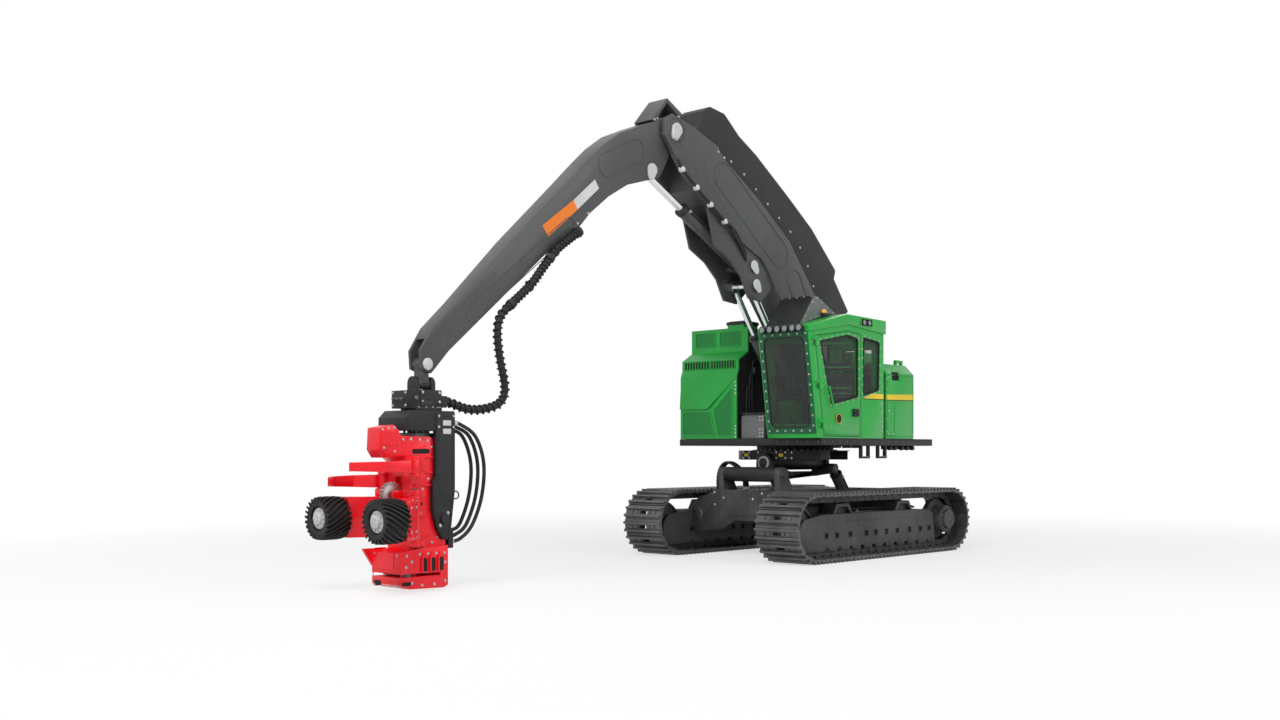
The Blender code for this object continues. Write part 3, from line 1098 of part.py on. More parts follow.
def boom():
    """The boom with its foot, fork and belly, its hose guard, tower and two lift cylinders."""
    half = BOOM_WIDTH / 2
    ys = around(BOOM_Y, half)
    foot = Vector((BOOM_FOOT[0], 0, BOOM_FOOT[1]))
    solids = [prism(outline(BOOM_FOOT, BOOM_SPAN, BOOM_SIDE_SHARES), "Y", *ys)]
    for way in (-1, 1):
        inner = BOOM_Y + way * (BELLY_HALF - BELLY_PLATE)
        outer = BOOM_Y + way * BELLY_HALF
        solids.append(prism(outline(BOOM_FOOT, BOOM_SPAN, BELLY_SHARES), "Y", *sorted((inner, outer))))
        reach = BOOM_Y + way * (STICK_EYE_HALF + RUN)
        solids.append(pin(STICK_BASE[0], STICK_BASE[1], sorted((reach, inner + way * OVER)), PIN_R * 1.4))
        for x, z in (LIFT_EYE, STICK_BASE):
            solids.append(pin(x, z, sorted((outer - way * OVER, outer + way * PIN_CAP)), PIN_R * 1.6))
    slot = FORK_SLOT / 2
    start = outline(BOOM_FOOT, BOOM_SPAN, [FORK_SLOT_START])[0]
    cuts = [
        block((start[0], start[0] + BOOM_SPAN / 2), around(BOOM_Y, slot), (start[1], start[1] + BOOM_SPAN / 2)),
    ]
    piece("boom", "boom_body", "boom_grey", solids, cuts)

    back = outline(BOOM_FOOT, BOOM_SPAN, BOOM_SIDE_SHARES[BOOM_BACK_FIRST:-1])
    seat = [(x - SEAT * 2, z + SEAT * 2) for x, z in back]
    ridge = outline(BOOM_FOOT, BOOM_SPAN, BOOM_GUARD_SHARES)
    guard = prism(ridge + seat[::-1], "Y", *around(BOOM_Y, BOOM_GUARD_WIDTH / 2))
    piece("boom_hose_guard", "boom_body", "iron_black", [guard])
    face = BOOM_Y + half
    stand = HOSE_R + CLAMP
    line = outline(BOOM_FOOT, BOOM_SPAN, BOOM_HOSE_SHARES)
    solids = [tube([(x, face + stand, z) for x, z in line], HOSE_R, 10)]
    for x, z in line[1:-1]:
        solids.append(block(around(x, CLAMP * 2), (face + SEAT, face + stand + HOSE_R), around(z, CLAMP * 2)))
    piece("boom_hoses", "boom_body", "hose_rubber", solids)

    rise = BOOM_FOOT[1] - DECK_TOP
    floor = DECK_TOP + SEAT
    tower = outline((BOOM_FOOT[0], floor), rise, TOWER_SHARES)
    near = half + RUN
    solids = []
    for way in (-1, 1):
        inner, outer = BOOM_Y + way * near, BOOM_Y + way * (near + TOWER_PLATE)
        solids.append(prism(tower, "Y", *sorted((inner, outer))))
        lug = BOOM_Y + way * (LIFT_SPREAD + LIFT_EYE_WIDTH / 2 + RUN)
        solids.append(pin(LIFT_BASE[0], LIFT_BASE[1], sorted((lug, inner + way * OVER)), PIN_R * 1.4))
    xs = (tower[0][0], tower[1][0])
    solids.append(block(xs, around(BOOM_Y, near + OVER), (floor, floor + TOWER_PLATE)))
    piece("boom_tower", "upper", "boom_grey", solids)

    line = Vector((LIFT_EYE[0], 0, LIFT_EYE[1])) - Vector((LIFT_BASE[0], 0, LIFT_BASE[1]))
    base = Vector((LIFT_BASE[0], BOOM_Y, LIFT_BASE[1]))
    eye = base + line
    barrels, bores = [], []
    rods = [pin(LIFT_EYE[0], LIFT_EYE[1], around(BOOM_Y, LIFT_SPREAD), PIN_R)]
    barrels.append(pin(LIFT_BASE[0], LIFT_BASE[1], around(BOOM_Y, LIFT_SPREAD), PIN_R))
    for way in (-1, 1):
        y = Vector((0, way * LIFT_SPREAD, 0))
        middle = BOOM_Y + way * LIFT_SPREAD
        eyes = around(middle, LIFT_EYE_WIDTH / 2)
        if way > 0:
            rod_eyes = (middle - LIFT_EYE_WIDTH / 2, BOOM_Y + BELLY_HALF - BELLY_PLATE - RUN)
        else:
            rod_eyes = (BOOM_Y - BELLY_HALF + BELLY_PLATE + RUN, middle + LIFT_EYE_WIDTH / 2)
        mouth = base + y + line * LIFT_BARREL_SHARE
        barrels.append(rod(base + y + line.normalized() * LIFT_EYE_R * 0.72, mouth, LIFT_BARREL_R))
        barrels.append(pin(LIFT_BASE[0], LIFT_BASE[1], eyes, LIFT_EYE_R))
        bores.append(rod(base + y + line * LIFT_BORE_SHARE, mouth + line * OVER, LIFT_ROD_R + RUN))
        rods.append(rod(base + y + line * LIFT_ROD_SHARE, eye + y, LIFT_ROD_R))
        rods.append(pin(LIFT_EYE[0], LIFT_EYE[1], rod_eyes, LIFT_EYE_R))
    piece("lift_barrels", "lift_barrel_body", "boom_grey", barrels, bores)
    piece("lift_rods", "lift_rod_body", "rod_steel", rods)


def stick():
    """The stick, which thins towards its tip, and the cylinder that folds it."""
    pivot = boom_tip()
    side = outline(pivot, STICK_SPAN, STICK_SIDE_SHARES)
    tip_x = pivot[0] + STICK_SPAN * STICK_TIP_SHARE[0]
    count = len(side)
    verts, faces = [], []
    for way in (-1, 1):
        for x, z in side:
            share = min(1.0, max(0.0, (x - pivot[0]) / (tip_x - pivot[0])))
            half = (STICK_WIDTH + (STICK_TIP_WIDTH - STICK_WIDTH) * share) / 2
            verts.append((x, BOOM_Y + way * half, z))
    faces = [(i, (i + 1) % count, (i + 1) % count + count, i + count) for i in range(count)]
    lower = [tuple(range(count)), tuple(range(count, 2 * count))]
    solids = [(verts, faces + lower)]
    (x0, z0), (x1, z1) = outline(pivot, STICK_SPAN, STICK_SLOT_SHARES)
    tip_z = pivot[1] + STICK_SPAN * STICK_TIP_SHARE[1]
    cuts = [
        block((x0, x1), around(BOOM_Y, STICK_EYE_HALF + RUN), (z0, z1)),
        block((tip_x - TIP_SLOT, tip_x + TIP_SLOT), around(BOOM_Y, LINK_TOP_HALF + RUN), (tip_z - TIP_SLOT, tip_z + TIP_SLOT)),
    ]
    for way in (-1, 1):
        face = BOOM_Y + way * STICK_WIDTH / 2
        solids.append(pin(pivot[0], pivot[1], sorted((face - way * OVER, BOOM_Y + way * (FORK_SLOT / 2 - RUN))), FOOT_BOSS_R * 0.7))
    solids.append(prism(outline(pivot, STICK_SPAN, TENT_SHARES), "Y", *around(BOOM_Y, TENT_HALF)))
    cuts.append(prism(outline(pivot, STICK_SPAN, TENT_GAP_SHARES), "Y", *around(BOOM_Y, STICK_WIDTH)))
    piece("stick", "stick_body", "boom_grey", solids, cuts)
    hose = STICK_HOSE
    solids = [tube(hose, STICK_HOSE_R, 12)]
    for x, y, z in hose[0:-1:2]:
        along = (x - pivot[0]) / (tip_x - pivot[0])
        face = BOOM_Y + (STICK_WIDTH + (STICK_TIP_WIDTH - STICK_WIDTH) * along) / 2 + CLAMP / 4
        solids.append(block((x, x + CLAMP * 3), (face, y + STICK_HOSE_R), around(z - CLAMP, STICK_HOSE_R + CLAMP)))
    piece("stick_hose", "stick_body", "hose_rubber", solids)
    last, before = Vector(hose[-1]), Vector(hose[-2])
    ahead = (last - before).normalized()
    cord("hose_bundle", "stick_body", "hose_rubber", [last + ahead * SEAT * 2, last + ahead * BUNDLE_R / 2] + list(BUNDLE), BUNDLE_R)

    base = Vector((STICK_BASE[0], BOOM_Y, STICK_BASE[1]))
    eye = Vector((STICK_EYE[0], BOOM_Y, STICK_EYE[1]))
    line = eye - base
    mouth = base + line * STICK_BARREL_SHARE
    ends = around(BOOM_Y, STICK_EYE_HALF)
    barrel = [rod(base + line.normalized() * STICK_EYE_R * 0.4, mouth, STICK_BARREL_R), pin(base.x, base.z, ends, STICK_EYE_R)]
    piece("stick_barrel", "stick_barrel_body", "boom_grey", barrel, [rod(base + line * STICK_BORE_SHARE, mouth + line * OVER, STICK_ROD_R + RUN)])
    shaft = [rod(base + line * STICK_ROD_SHARE, eye, STICK_ROD_R), pin(eye.x, eye.z, ends, STICK_EYE_R)]
    piece("stick_rod", "stick_rod_body", "rod_steel", shaft)


def boom_tip():
    return outline(BOOM_FOOT, BOOM_SPAN, [BOOM_TIP_SHARE])[0]


def stick_tip():
    return outline(boom_tip(), STICK_SPAN, [STICK_TIP_SHARE])[0]


def head():
    """The link, rotator, tilt frame and the head with its rollers, knives and saw."""
    tip_x, tip_z = stick_tip()
    cross_z = tip_z - CROSS_DROP
    link = [
        pin(tip_x, tip_z, around(BOOM_Y, LINK_TOP_HALF), LINK_R),
        block(around(tip_x, LINK_R * 0.6), around(BOOM_Y, LINK_TOP_HALF), (cross_z, tip_z)),
        rod((tip_x - LINK_R, BOOM_Y, cross_z), (tip_x + LINK_R, BOOM_Y, cross_z), LINK_R * 0.8),
    ]
    piece("head_link", "link_body", "boom_grey", link)

    ears = []
    for way in (-1, 1):
        near = tip_x + way * (LINK_R + RUN)
        far = tip_x + way * (LINK_R * 1.7)
        xs = sorted((near, far))
        ears.append(block(xs, around(BOOM_Y, LINK_R), (ROTATOR_TOP - OVER, cross_z)))
        ears.append(rod((xs[0], BOOM_Y, cross_z), (xs[1], BOOM_Y, cross_z), LINK_R))
    body_round = rod((tip_x, BOOM_Y, FLANGE_TOP - OVER), (tip_x, BOOM_Y, ROTATOR_TOP), ROTATOR_R, 24)
    flange = rod((tip_x, BOOM_Y, ROTATOR_BOTTOM + RUN), (tip_x, BOOM_Y, FLANGE_TOP), FLANGE_R, 24)
    housings = [block(x, around(BOOM_Y, half), z) for x, z, half in (MOTOR, VALVE)]
    end_x, end_y, end_z = BUNDLE[-1]
    gland_y, gland_z = around(end_y, BUNDLE_GLAND), around(end_z, BUNDLE_GLAND)
    housings.append(block((end_x + SEAT, tip_x), gland_y, gland_z))
    piece("rotator", "rotator_body", "iron_black", [body_round, flange] + housings + ears)

    rise = FRAME_TOP_Z - TILT_PIN[1]
    arm = outline(TILT_PIN, rise, FRAME_ARM_SHARES)
    solids = []
    for way in (-1, 1):
        outer = BOOM_Y + way * FRAME_ARM_HALF
        inner = outer - way * FRAME_ARM_PLATE
        solids.append(prism(arm, "Y", *sorted((inner, outer))))
        solids.append(pin(TILT_PIN[0], TILT_PIN[1], sorted((inner + way * OVER, outer + way * PIN_CAP)), PIN_R))
    top = [
        (FRAME_ARM_REAR, FRAME_BOX_BOTTOM), (FRAME_ARM_FRONT, FRAME_BOX_BOTTOM), (FRAME_BOX_FRONT, FRAME_BOX_BOTTOM),
        (FRAME_BOX_FRONT, FRAME_TOP_Z - FRAME_BOX_SLOPE), (FRAME_BOX_FRONT - FRAME_BOX_SLOPE, FRAME_TOP_Z), (FRAME_ARM_REAR, FRAME_TOP_Z),
    ]
    solids.append(prism(top, "Y", *around(BOOM_Y, FRAME_ARM_HALF - OVER / 2)))
    reach = FRAME_ARM_HALF - FRAME_ARM_PLATE
    for way in (-1, 1):
        ear = sorted((BOOM_Y + way * (HEAD_BARREL_R + RUN), BOOM_Y + way * (reach + OVER)))
        solids.append(pin(HEAD_ROD_BASE[0], HEAD_ROD_BASE[1], ear, HEAD_EYE_R))
    piece("tilt_frame", "frame_body", "iron_black", solids)

    base = Vector((HEAD_ROD_BASE[0], BOOM_Y, HEAD_ROD_BASE[1]))
    eye = Vector((HEAD_ROD_EYE[0], BOOM_Y, HEAD_ROD_EYE[1]))
    line = eye - base
    mouth = base + line * HEAD_BARREL_SHARE
    ends = around(BOOM_Y, HEAD_BARREL_R)
    barrel = [rod(base, mouth, HEAD_BARREL_R), pin(base.x, base.z, ends, HEAD_EYE_R)]
    piece("head_barrel", "head_barrel_body", "boom_grey", barrel, [rod(base + line * HEAD_BORE_SHARE, mouth + line * OVER, HEAD_ROD_R + RUN)])
    piece("head_rod", "head_rod_body", "rod_steel", [rod(base + line * HEAD_ROD_SHARE, eye, HEAD_ROD_R), pin(eye.x, eye.z, ends, HEAD_EYE_R)])

    chassis = outline(TILT_PIN, rise, CHASSIS_SHARES)
    solids = [prism(chassis, "Y", *around(BOOM_Y, CHASSIS_HALF))]
    solids.append(prism(outline(TILT_PIN, rise, HOOD_SHARES), "Y", *HOOD))
    solids.append(prism(outline(TILT_PIN, rise, SAW_BOX_SHARES), "Y", *SAW_BOX))
    wing = outline(TILT_PIN, rise, WING_SHARES)
    solids.append(prism(wing, "Y", SAW_BOX[0] - WING_THICK, SAW_BOX[0] + SEAT))
    x, z = HEAD_ROD_EYE
    room_x = (TILT_PIN[0] - rise / 4, x + ROD_ROOM)
    room = block(room_x, around(BOOM_Y, HEAD_BARREL_R + RUN), (z - ROD_ROOM, FRAME_TOP_Z))
    wheel_z = around(WHEEL_Z, MEASURE_R + WHEEL_ROOM)
    throat = block((WHEEL_X - MEASURE_R - OVER, WHEEL_X + rise), around(BOOM_Y, WHEEL_ROOM), wheel_z)
    slot_x = (SAW_PIVOT[0] - SAW_SLOT_DEPTH, SAW_PIVOT[0] + SAW_SLOT_DEPTH)
    slot = block(slot_x, (SAW_BOX[0] - WING_THICK * 2, SAW_BOX[1] + OVER), around(SAW_Z, SAW_SLOT))
    for way in (-1, 1):
        near = BOOM_Y + way * (CHASSIS_HALF - OVER)
        levels = [(ARM_PIVOT_X, ARM_PIVOT_OUT, ARM_BOTTOM - LUG_HEIGHT, ARM_BOTTOM - RUN)]
        levels.append((ARM_PIVOT_X, ARM_PIVOT_OUT, ARM_TOP + RUN, ARM_TOP + LUG_HEIGHT))
        root = KNIFE_Z["left" if way > 0 else "right"]
        levels.append((KNIFE_PIVOT_X, KNIFE_PIVOT_OUT, root - KNIFE_ROOT - KNIFE_LUG, root - KNIFE_ROOT - RUN))
        levels.append((KNIFE_PIVOT_X, KNIFE_PIVOT_OUT, root + KNIFE_ROOT + RUN, root + KNIFE_ROOT + KNIFE_LUG))
        for pivot_x, out, low, high in levels:
            y = BOOM_Y + way * out
            solids.append(block((KNIFE_PIVOT_X - ARM_PIVOT_R * 2, pivot_x + ARM_PIVOT_R), sorted((y, near)), (low, high)))
            solids.append(rod((pivot_x, y, low), (pivot_x, y, high), ARM_PIVOT_R))
        cheek = sorted((BOOM_Y + way * WHEEL_ROOM, BOOM_Y + way * (WHEEL_ROOM + WHEEL_CHEEK)))
        solids.append(block((KNIFE_PIVOT_X - ARM_PIVOT_R, WHEEL_X), cheek, around(WHEEL_Z, WHEEL_HUB_R)))
        solids.append(pin(WHEEL_X, WHEEL_Z, cheek, WHEEL_HUB_R))
    piece("head_chassis", "head_body", "head_red", solids, [room, throat, slot])

    for side in ("left", "right"):
        way = 1 if side == "left" else -1
        y = BOOM_Y + way * ARM_PIVOT_OUT
        roller_y = BOOM_Y + way * ROLLER_OUT
        back = ROLLER_X - FEED_WIDTH / 2
        arm_plan = [
            (ARM_PIVOT_X, y - way * ARM_PIVOT_R), (back - RUN, roller_y - way * ARM_PIVOT_R * 2),
            (back - RUN, roller_y + way * ARM_PIVOT_R * 2), (ARM_PIVOT_X, y + way * ARM_PIVOT_R),
        ]
        solids = [
            rod((ARM_PIVOT_X, y, ARM_BOTTOM), (ARM_PIVOT_X, y, ARM_TOP), ARM_PIVOT_R),
            prism(arm_plan, "Z", ARM_BOTTOM + OVER, ARM_TOP - OVER),
        ]
        piece("roller_arm_" + side, "arm_%s_body" % side, "head_red", solids)
        h = FEED_WIDTH / 2
        profile = (
            (-h, FEED_HUB_R), (-h + OVER, FEED_R * 0.80), (-h / 3, FEED_R), (h / 3, FEED_R),
            (h - OVER, FEED_R * 0.80), (h - OVER, FEED_HUB_R), (h, FEED_HUB_R),
        )
        piece("feed_roller_" + side, "roller_%s_body" % side, "iron_black", [turned(profile, (ROLLER_X, roller_y, ROLLER_Z), (1, 0, 0))])

        z = KNIFE_Z[side]
        y = BOOM_Y + way * KNIFE_PIVOT_OUT
        outer = [
            (KNIFE_PIVOT_X, y), (KNIFE_PIVOT_X + KNIFE_DEPTH * 2, BOOM_Y + way * KNIFE_OUT),
            (KNIFE_TIP_X - KNIFE_DEPTH * 2, BOOM_Y + way * KNIFE_OUT), (KNIFE_TIP_X, BOOM_Y + way * KNIFE_TIP_OUT),
            (KNIFE_TIP_X - KNIFE_DEPTH * 2.4, BOOM_Y + way * (KNIFE_OUT - KNIFE_THICK)),
            (KNIFE_PIVOT_X + KNIFE_DEPTH * 2.4, BOOM_Y + way * (KNIFE_OUT - KNIFE_THICK)),
            (KNIFE_PIVOT_X + KNIFE_DEPTH, y),
        ]
        heights = [
            KNIFE_ROOT + (KNIFE_END - KNIFE_ROOT) * max(0, x - KNIFE_PIVOT_X) / (KNIFE_TIP_X - KNIFE_PIVOT_X)
            for x, across in outer
        ]
        verts = [(*point, z + level * high) for level in (-1, 1) for point, high in zip(outer, heights)]
        count = len(outer)
        faces = [(i, (i + 1) % count, (i + 1) % count + count, i + count) for i in range(count)]
        blade = (verts, faces + [tuple(range(count)), tuple(range(count, 2 * count))])
        low, high = around(z, KNIFE_ROOT)
        solids = [blade, rod((KNIFE_PIVOT_X, y, low), (KNIFE_PIVOT_X, y, high), ARM_PIVOT_R)]
        piece("knife_" + side, "knife_%s_body" % side, "head_red", solids)

    rim, hub = MEASURE_WIDTH / 2, WHEEL_ROOM - RUN
    profile = ((-hub, WHEEL_HUB_R), (-rim, WHEEL_HUB_R), (-rim, MEASURE_R), (rim, MEASURE_R), (rim, WHEEL_HUB_R), (hub, WHEEL_HUB_R))
    piece("measuring_wheel", "measure_body", "rod_steel", [turned(profile, (WHEEL_X, BOOM_Y, WHEEL_Z), (0, 1, 0))])
    bar_x, bar_y = SAW_PIVOT
    nose = bar_y - SAW_LENGTH
    bar = [
        (bar_x - PIN_R, bar_y), (bar_x - SAW_HALF, nose + SAW_HALF), (bar_x - SAW_HALF / 2, nose), (bar_x + SAW_HALF / 2, nose),
        (bar_x + SAW_HALF, nose + SAW_HALF), (bar_x + PIN_R, bar_y),
    ]
    hub_z = around(SAW_Z, SAW_SLOT - RUN)
    hub = rod((bar_x, bar_y, hub_z[0]), (bar_x, bar_y, hub_z[1]), PIN_R * 1.4)
    piece("saw_bar", "saw_body", "rod_steel", [prism(bar, "Z", *around(SAW_Z, SAW_PLATE / 2)), hub])


def joints():
    """One empty for each body, at the joint that carries it."""
    tip = boom_tip()
    end_x, end_z = stick_tip()
    body("machine")
    body("undercarriage", "machine")
    body("level_yoke_body", "undercarriage", (PITCH_X, 0, PITCH_Z))
    body("level_rod_body", "undercarriage", (LEVEL_BASE[0], 0, LEVEL_BASE[1]))
    body("level_barrel_body", "level_rod_body", (LEVEL_EYE[0], 0, LEVEL_EYE[1]))
    body("tilt_table_body", "level_yoke_body", (0, 0, ROLL_Z))
    body("upper", "tilt_table_body", (0, 0, DECK_BOTTOM))
    body("door", "upper", hinge_line(DOOR_HINGE_ZS[1]))
    body("boom_body", "upper", (BOOM_FOOT[0], BOOM_Y, BOOM_FOOT[1]))
    body("lift_barrel_body", "upper", (LIFT_BASE[0], BOOM_Y, LIFT_BASE[1]))
    body("lift_rod_body", "lift_barrel_body", (LIFT_EYE[0], BOOM_Y, LIFT_EYE[1]))
    body("stick_body", "boom_body", (tip[0], BOOM_Y, tip[1]))
    body("stick_barrel_body", "boom_body", (STICK_BASE[0], BOOM_Y, STICK_BASE[1]))
    body("stick_rod_body", "stick_barrel_body", (STICK_EYE[0], BOOM_Y, STICK_EYE[1]))
    body("link_body", "stick_body", (end_x, BOOM_Y, end_z))
    body("rotator_body", "link_body", (end_x, BOOM_Y, end_z - CROSS_DROP))
    body("frame_body", "rotator_body", (end_x, BOOM_Y, ROTATOR_BOTTOM))
    body("head_body", "frame_body", (TILT_PIN[0], BOOM_Y, TILT_PIN[1]))
    body("head_barrel_body", "frame_body", (HEAD_ROD_BASE[0], BOOM_Y, HEAD_ROD_BASE[1]))
    body("head_rod_body", "head_barrel_body", (HEAD_ROD_EYE[0], BOOM_Y, HEAD_ROD_EYE[1]))
    for side, way in (("left", 1), ("right", -1)):
        body("arm_%s_body" % side, "head_body", (ARM_PIVOT_X, BOOM_Y + way * ARM_PIVOT_OUT, ROLLER_Z))
        body("roller_%s_body" % side, "arm_%s_body" % side, (ROLLER_X, BOOM_Y + way * ROLLER_OUT, ROLLER_Z))
        body("knife_%s_body" % side, "head_body", (KNIFE_PIVOT_X, BOOM_Y + way * KNIFE_PIVOT_OUT, KNIFE_Z[side]))
    body("measure_body", "head_body", (WHEEL_X, BOOM_Y, WHEEL_Z))
    body("saw_body", "head_body", (SAW_PIVOT[0], SAW_PIVOT[1], SAW_Z))


def centre_machine():
    """Moves the whole machine so that the origin lies under the middle of its box."""
    bpy.context.view_layer.update()
    corners = []
    for thing in bpy.data.objects:
        if thing.type == "MESH":
            corners += [thing.matrix_world @ vertex.co for vertex in thing.data.vertices]
    lows = [min(c[axis] for c in corners) for axis in range(3)]
    highs = [max(c[axis] for c in corners) for axis in range(3)]
    shift = Vector((-(lows[0] + highs[0]) / 2, -(lows[1] + highs[1]) / 2, -lows[2]))
    bpy.data.objects["machine"].location = shift
    bpy.context.view_layer.update()


def build():
    for thing in list(bpy.data.objects):
        bpy.data.objects.remove(thing, do_unlink=True)
    joints()
    for side in (1, -1):
        track(side)
        side_frame(side)
    carbody()
    levelling()
    deck()
    cab()
    housing()
    boom()
    stick()
    head()
    centre_machine()


build()
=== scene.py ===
# %% [markdown]
# A tracked forestry harvester: finish and small parts
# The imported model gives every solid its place. This lesson dresses it: paint, rubber, glass,
# bolts, hoses and grilles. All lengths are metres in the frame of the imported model.

# %% Load the frame
import json
import math
import bmesh
import bpy
import numpy as np
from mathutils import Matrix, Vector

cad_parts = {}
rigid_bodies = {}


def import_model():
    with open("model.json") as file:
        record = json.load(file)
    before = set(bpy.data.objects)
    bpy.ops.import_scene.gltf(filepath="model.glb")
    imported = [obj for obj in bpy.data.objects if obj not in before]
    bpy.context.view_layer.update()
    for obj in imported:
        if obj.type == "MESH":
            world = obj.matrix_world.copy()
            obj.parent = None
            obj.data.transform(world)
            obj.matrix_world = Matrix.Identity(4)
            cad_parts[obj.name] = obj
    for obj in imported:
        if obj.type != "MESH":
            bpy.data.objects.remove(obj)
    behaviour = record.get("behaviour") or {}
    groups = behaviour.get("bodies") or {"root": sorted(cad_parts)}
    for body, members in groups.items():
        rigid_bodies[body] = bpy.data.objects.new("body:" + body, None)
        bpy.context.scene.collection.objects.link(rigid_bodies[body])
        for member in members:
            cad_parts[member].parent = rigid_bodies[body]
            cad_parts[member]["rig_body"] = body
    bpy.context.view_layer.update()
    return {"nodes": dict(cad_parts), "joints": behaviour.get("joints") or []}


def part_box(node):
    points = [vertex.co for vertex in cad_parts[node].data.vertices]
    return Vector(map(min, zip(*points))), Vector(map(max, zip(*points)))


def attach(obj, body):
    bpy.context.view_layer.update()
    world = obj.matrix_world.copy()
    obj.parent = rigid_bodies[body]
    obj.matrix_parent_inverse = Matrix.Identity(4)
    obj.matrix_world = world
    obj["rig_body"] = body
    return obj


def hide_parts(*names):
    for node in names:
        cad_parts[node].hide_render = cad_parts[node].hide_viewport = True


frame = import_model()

scene = bpy.context.scene
joint = {j["name"]: j for j in frame["joints"]}

# %% [markdown]
# Places are worked out from the machine's own zero: the swing axis of the upper works, on the
# ground. X points ahead, Y to the operator's left and Z up, so a number here is a real place
# on the machine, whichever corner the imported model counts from.

# %% The machine's own zero
ZERO = np.array([joint["swing"]["pos_m"][0], joint["swing"]["pos_m"][1], 0.0])


def at(*xyz):
    """Points of the machine, counted from its swing axis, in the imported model's frame."""
    return np.asarray(xyz, float).reshape(-1, 3) + ZERO


print("machine zero", ZERO.round(4))

# %% [markdown]
# The camera comes first. Its place was found from the photograph by matching wheels, roof and
# head to their real places. It looks level, and a small upward shift of the picture does what
# the photographer's crop did, so upright edges stay upright.

# %% Camera
CAMERA_AT = (17.325, 12.754, 1.637)
CAMERA_TURN = 133.09  # degrees about the vertical
LENS_MM = 36.94
SENSOR_MM = 36.0
SHIFT_UP = 0.0715

lens = bpy.data.cameras.new("camera")
lens.lens = LENS_MM
lens.sensor_width = SENSOR_MM
lens.shift_y = SHIFT_UP
lens.clip_end = 400.0
camera = bpy.data.objects.new("camera", lens)
camera.location = at(CAMERA_AT)[0]
camera.rotation_euler = (math.radians(90.0), 0.0, math.radians(CAMERA_TURN))
scene.collection.objects.link(camera)
scene.camera = camera

# %% [markdown]
# The light is that of a white studio: one large soft lamp ahead of the machine, a weaker one
# on the other side, one over it and a pale world. The floor is white where the camera sees it
# and still takes the machine's shadow.

# %% Lights, world and floor
scene.view_settings.view_transform = "Standard"


def lamp(name, place, target, size, watts):
    """A square soft lamp at a place, aimed at a target."""
    light = bpy.data.lights.new(name, "AREA")
    light.size = size
    light.energy = watts
    thing = bpy.data.objects.new(name, light)
    here, there = at(place)[0], at(target)[0]
    aim = there - here
    thing.location = here
    thing.rotation_euler = (math.atan2(math.hypot(aim[0], aim[1]), -aim[2]), 0.0, math.atan2(aim[1], aim[0])
        - math.pi / 2)
    scene.collection.objects.link(thing)


lamp("key_lamp", (14.0, 4.0, 13.0), (2.0, 0.0, 2.0), 9.0, 1450.0)
lamp("side_lamp", (2.0, 15.0, 8.0), (1.0, 0.0, 2.5), 8.0, 620.0)
lamp("rear_lamp", (-14.0, -9.0, 10.0), (0.0, 0.0, 2.0), 9.0, 520.0)


def link(tree, out_node, out_name, in_node, in_name):
    """Joins an output of one node to an input of another."""
    tree.links.new(out_node.outputs[out_name], in_node.inputs[in_name])


def put(node, **values):
    """Sets a node's inputs; an underscore in a name stands for a space."""
    for name, value in values.items():
        node.inputs[name.replace("_", " ")].default_value = value


world = bpy.data.worlds.new("studio")
world.use_nodes = True
tree = world.node_tree
tree.nodes.clear()
room = tree.nodes.new("ShaderNodeBackground")
put(room, Color=(0.8, 0.82, 0.85, 1.0), Strength=0.46)
white = tree.nodes.new("ShaderNodeBackground")
put(white, Color=(1.0, 1.0, 1.0, 1.0), Strength=1.0)
blend = tree.nodes.new("ShaderNodeMixShader")
out = tree.nodes.new("ShaderNodeOutputWorld")


def seen_white(tree):
    """A node that is one for rays from the camera, off a mirror or through glass."""
    seen = tree.nodes.new("ShaderNodeLightPath")
    last = seen.outputs["Is Camera Ray"]
    for name in ("Is Glossy Ray", "Is Transmission Ray"):
        either = tree.nodes.new("ShaderNodeMath")
        either.operation = "MAXIMUM"
        tree.links.new(last, either.inputs[0])
        link(tree, seen, name, either, 1)
        last = either.outputs[0]
    return last


tree.links.new(seen_white(tree), blend.inputs["Fac"])
link(tree, room, "Background", blend, 1)
link(tree, white, "Background", blend, 2)
link(tree, blend, "Shader", out, "Surface")
scene.world = world

FLOOR_REACH = 160.0
FLOOR_DROP = 0.002
corners = at((-FLOOR_REACH, -FLOOR_REACH, -FLOOR_DROP), (FLOOR_REACH, -FLOOR_REACH, -FLOOR_DROP),
    (FLOOR_REACH, FLOOR_REACH, -FLOOR_DROP), (-FLOOR_REACH, FLOOR_REACH, -FLOOR_DROP))
floor_mesh = bpy.data.meshes.new("floor")
floor_mesh.from_pydata(corners.tolist(), [], [(0, 1, 2, 3)])
floor = bpy.data.objects.new("floor", floor_mesh)
scene.collection.objects.link(floor)
floor_paint = bpy.data.materials.new("studio_floor")
floor_paint.use_nodes = True
tree = floor_paint.node_tree
tree.nodes.clear()
matt = tree.nodes.new("ShaderNodeBsdfDiffuse")
put(matt, Color=(0.9, 0.9, 0.9, 1.0))
glow = tree.nodes.new("ShaderNodeEmission")
put(glow, Color=(1.0, 1.0, 1.0, 1.0), Strength=1.0)
spot = tree.nodes.new("ShaderNodeTexCoord")
far = tree.nodes.new("ShaderNodeVectorMath")
far.operation = "DISTANCE"
far.inputs[1].default_value = tuple(ZERO)
link(tree, spot, "Object", far, 0)
fade = tree.nodes.new("ShaderNodeMapRange")
for name, value in (("From Min", 4.0), ("From Max", 15.0), ("To Min", 0.62), ("To Max", 1.0)):
    fade.inputs[name].default_value = value
link(tree, far, "Value", fade, "Value")
share = tree.nodes.new("ShaderNodeMath")
share.operation = "MULTIPLY"
link(tree, fade, "Result", share, 1)
blend = tree.nodes.new("ShaderNodeMixShader")
out = tree.nodes.new("ShaderNodeOutputMaterial")
tree.links.new(seen_white(tree), share.inputs[0])
link(tree, share, 0, blend, 0)
link(tree, matt, 0, blend, 1)
link(tree, glow, 0, blend, 2)
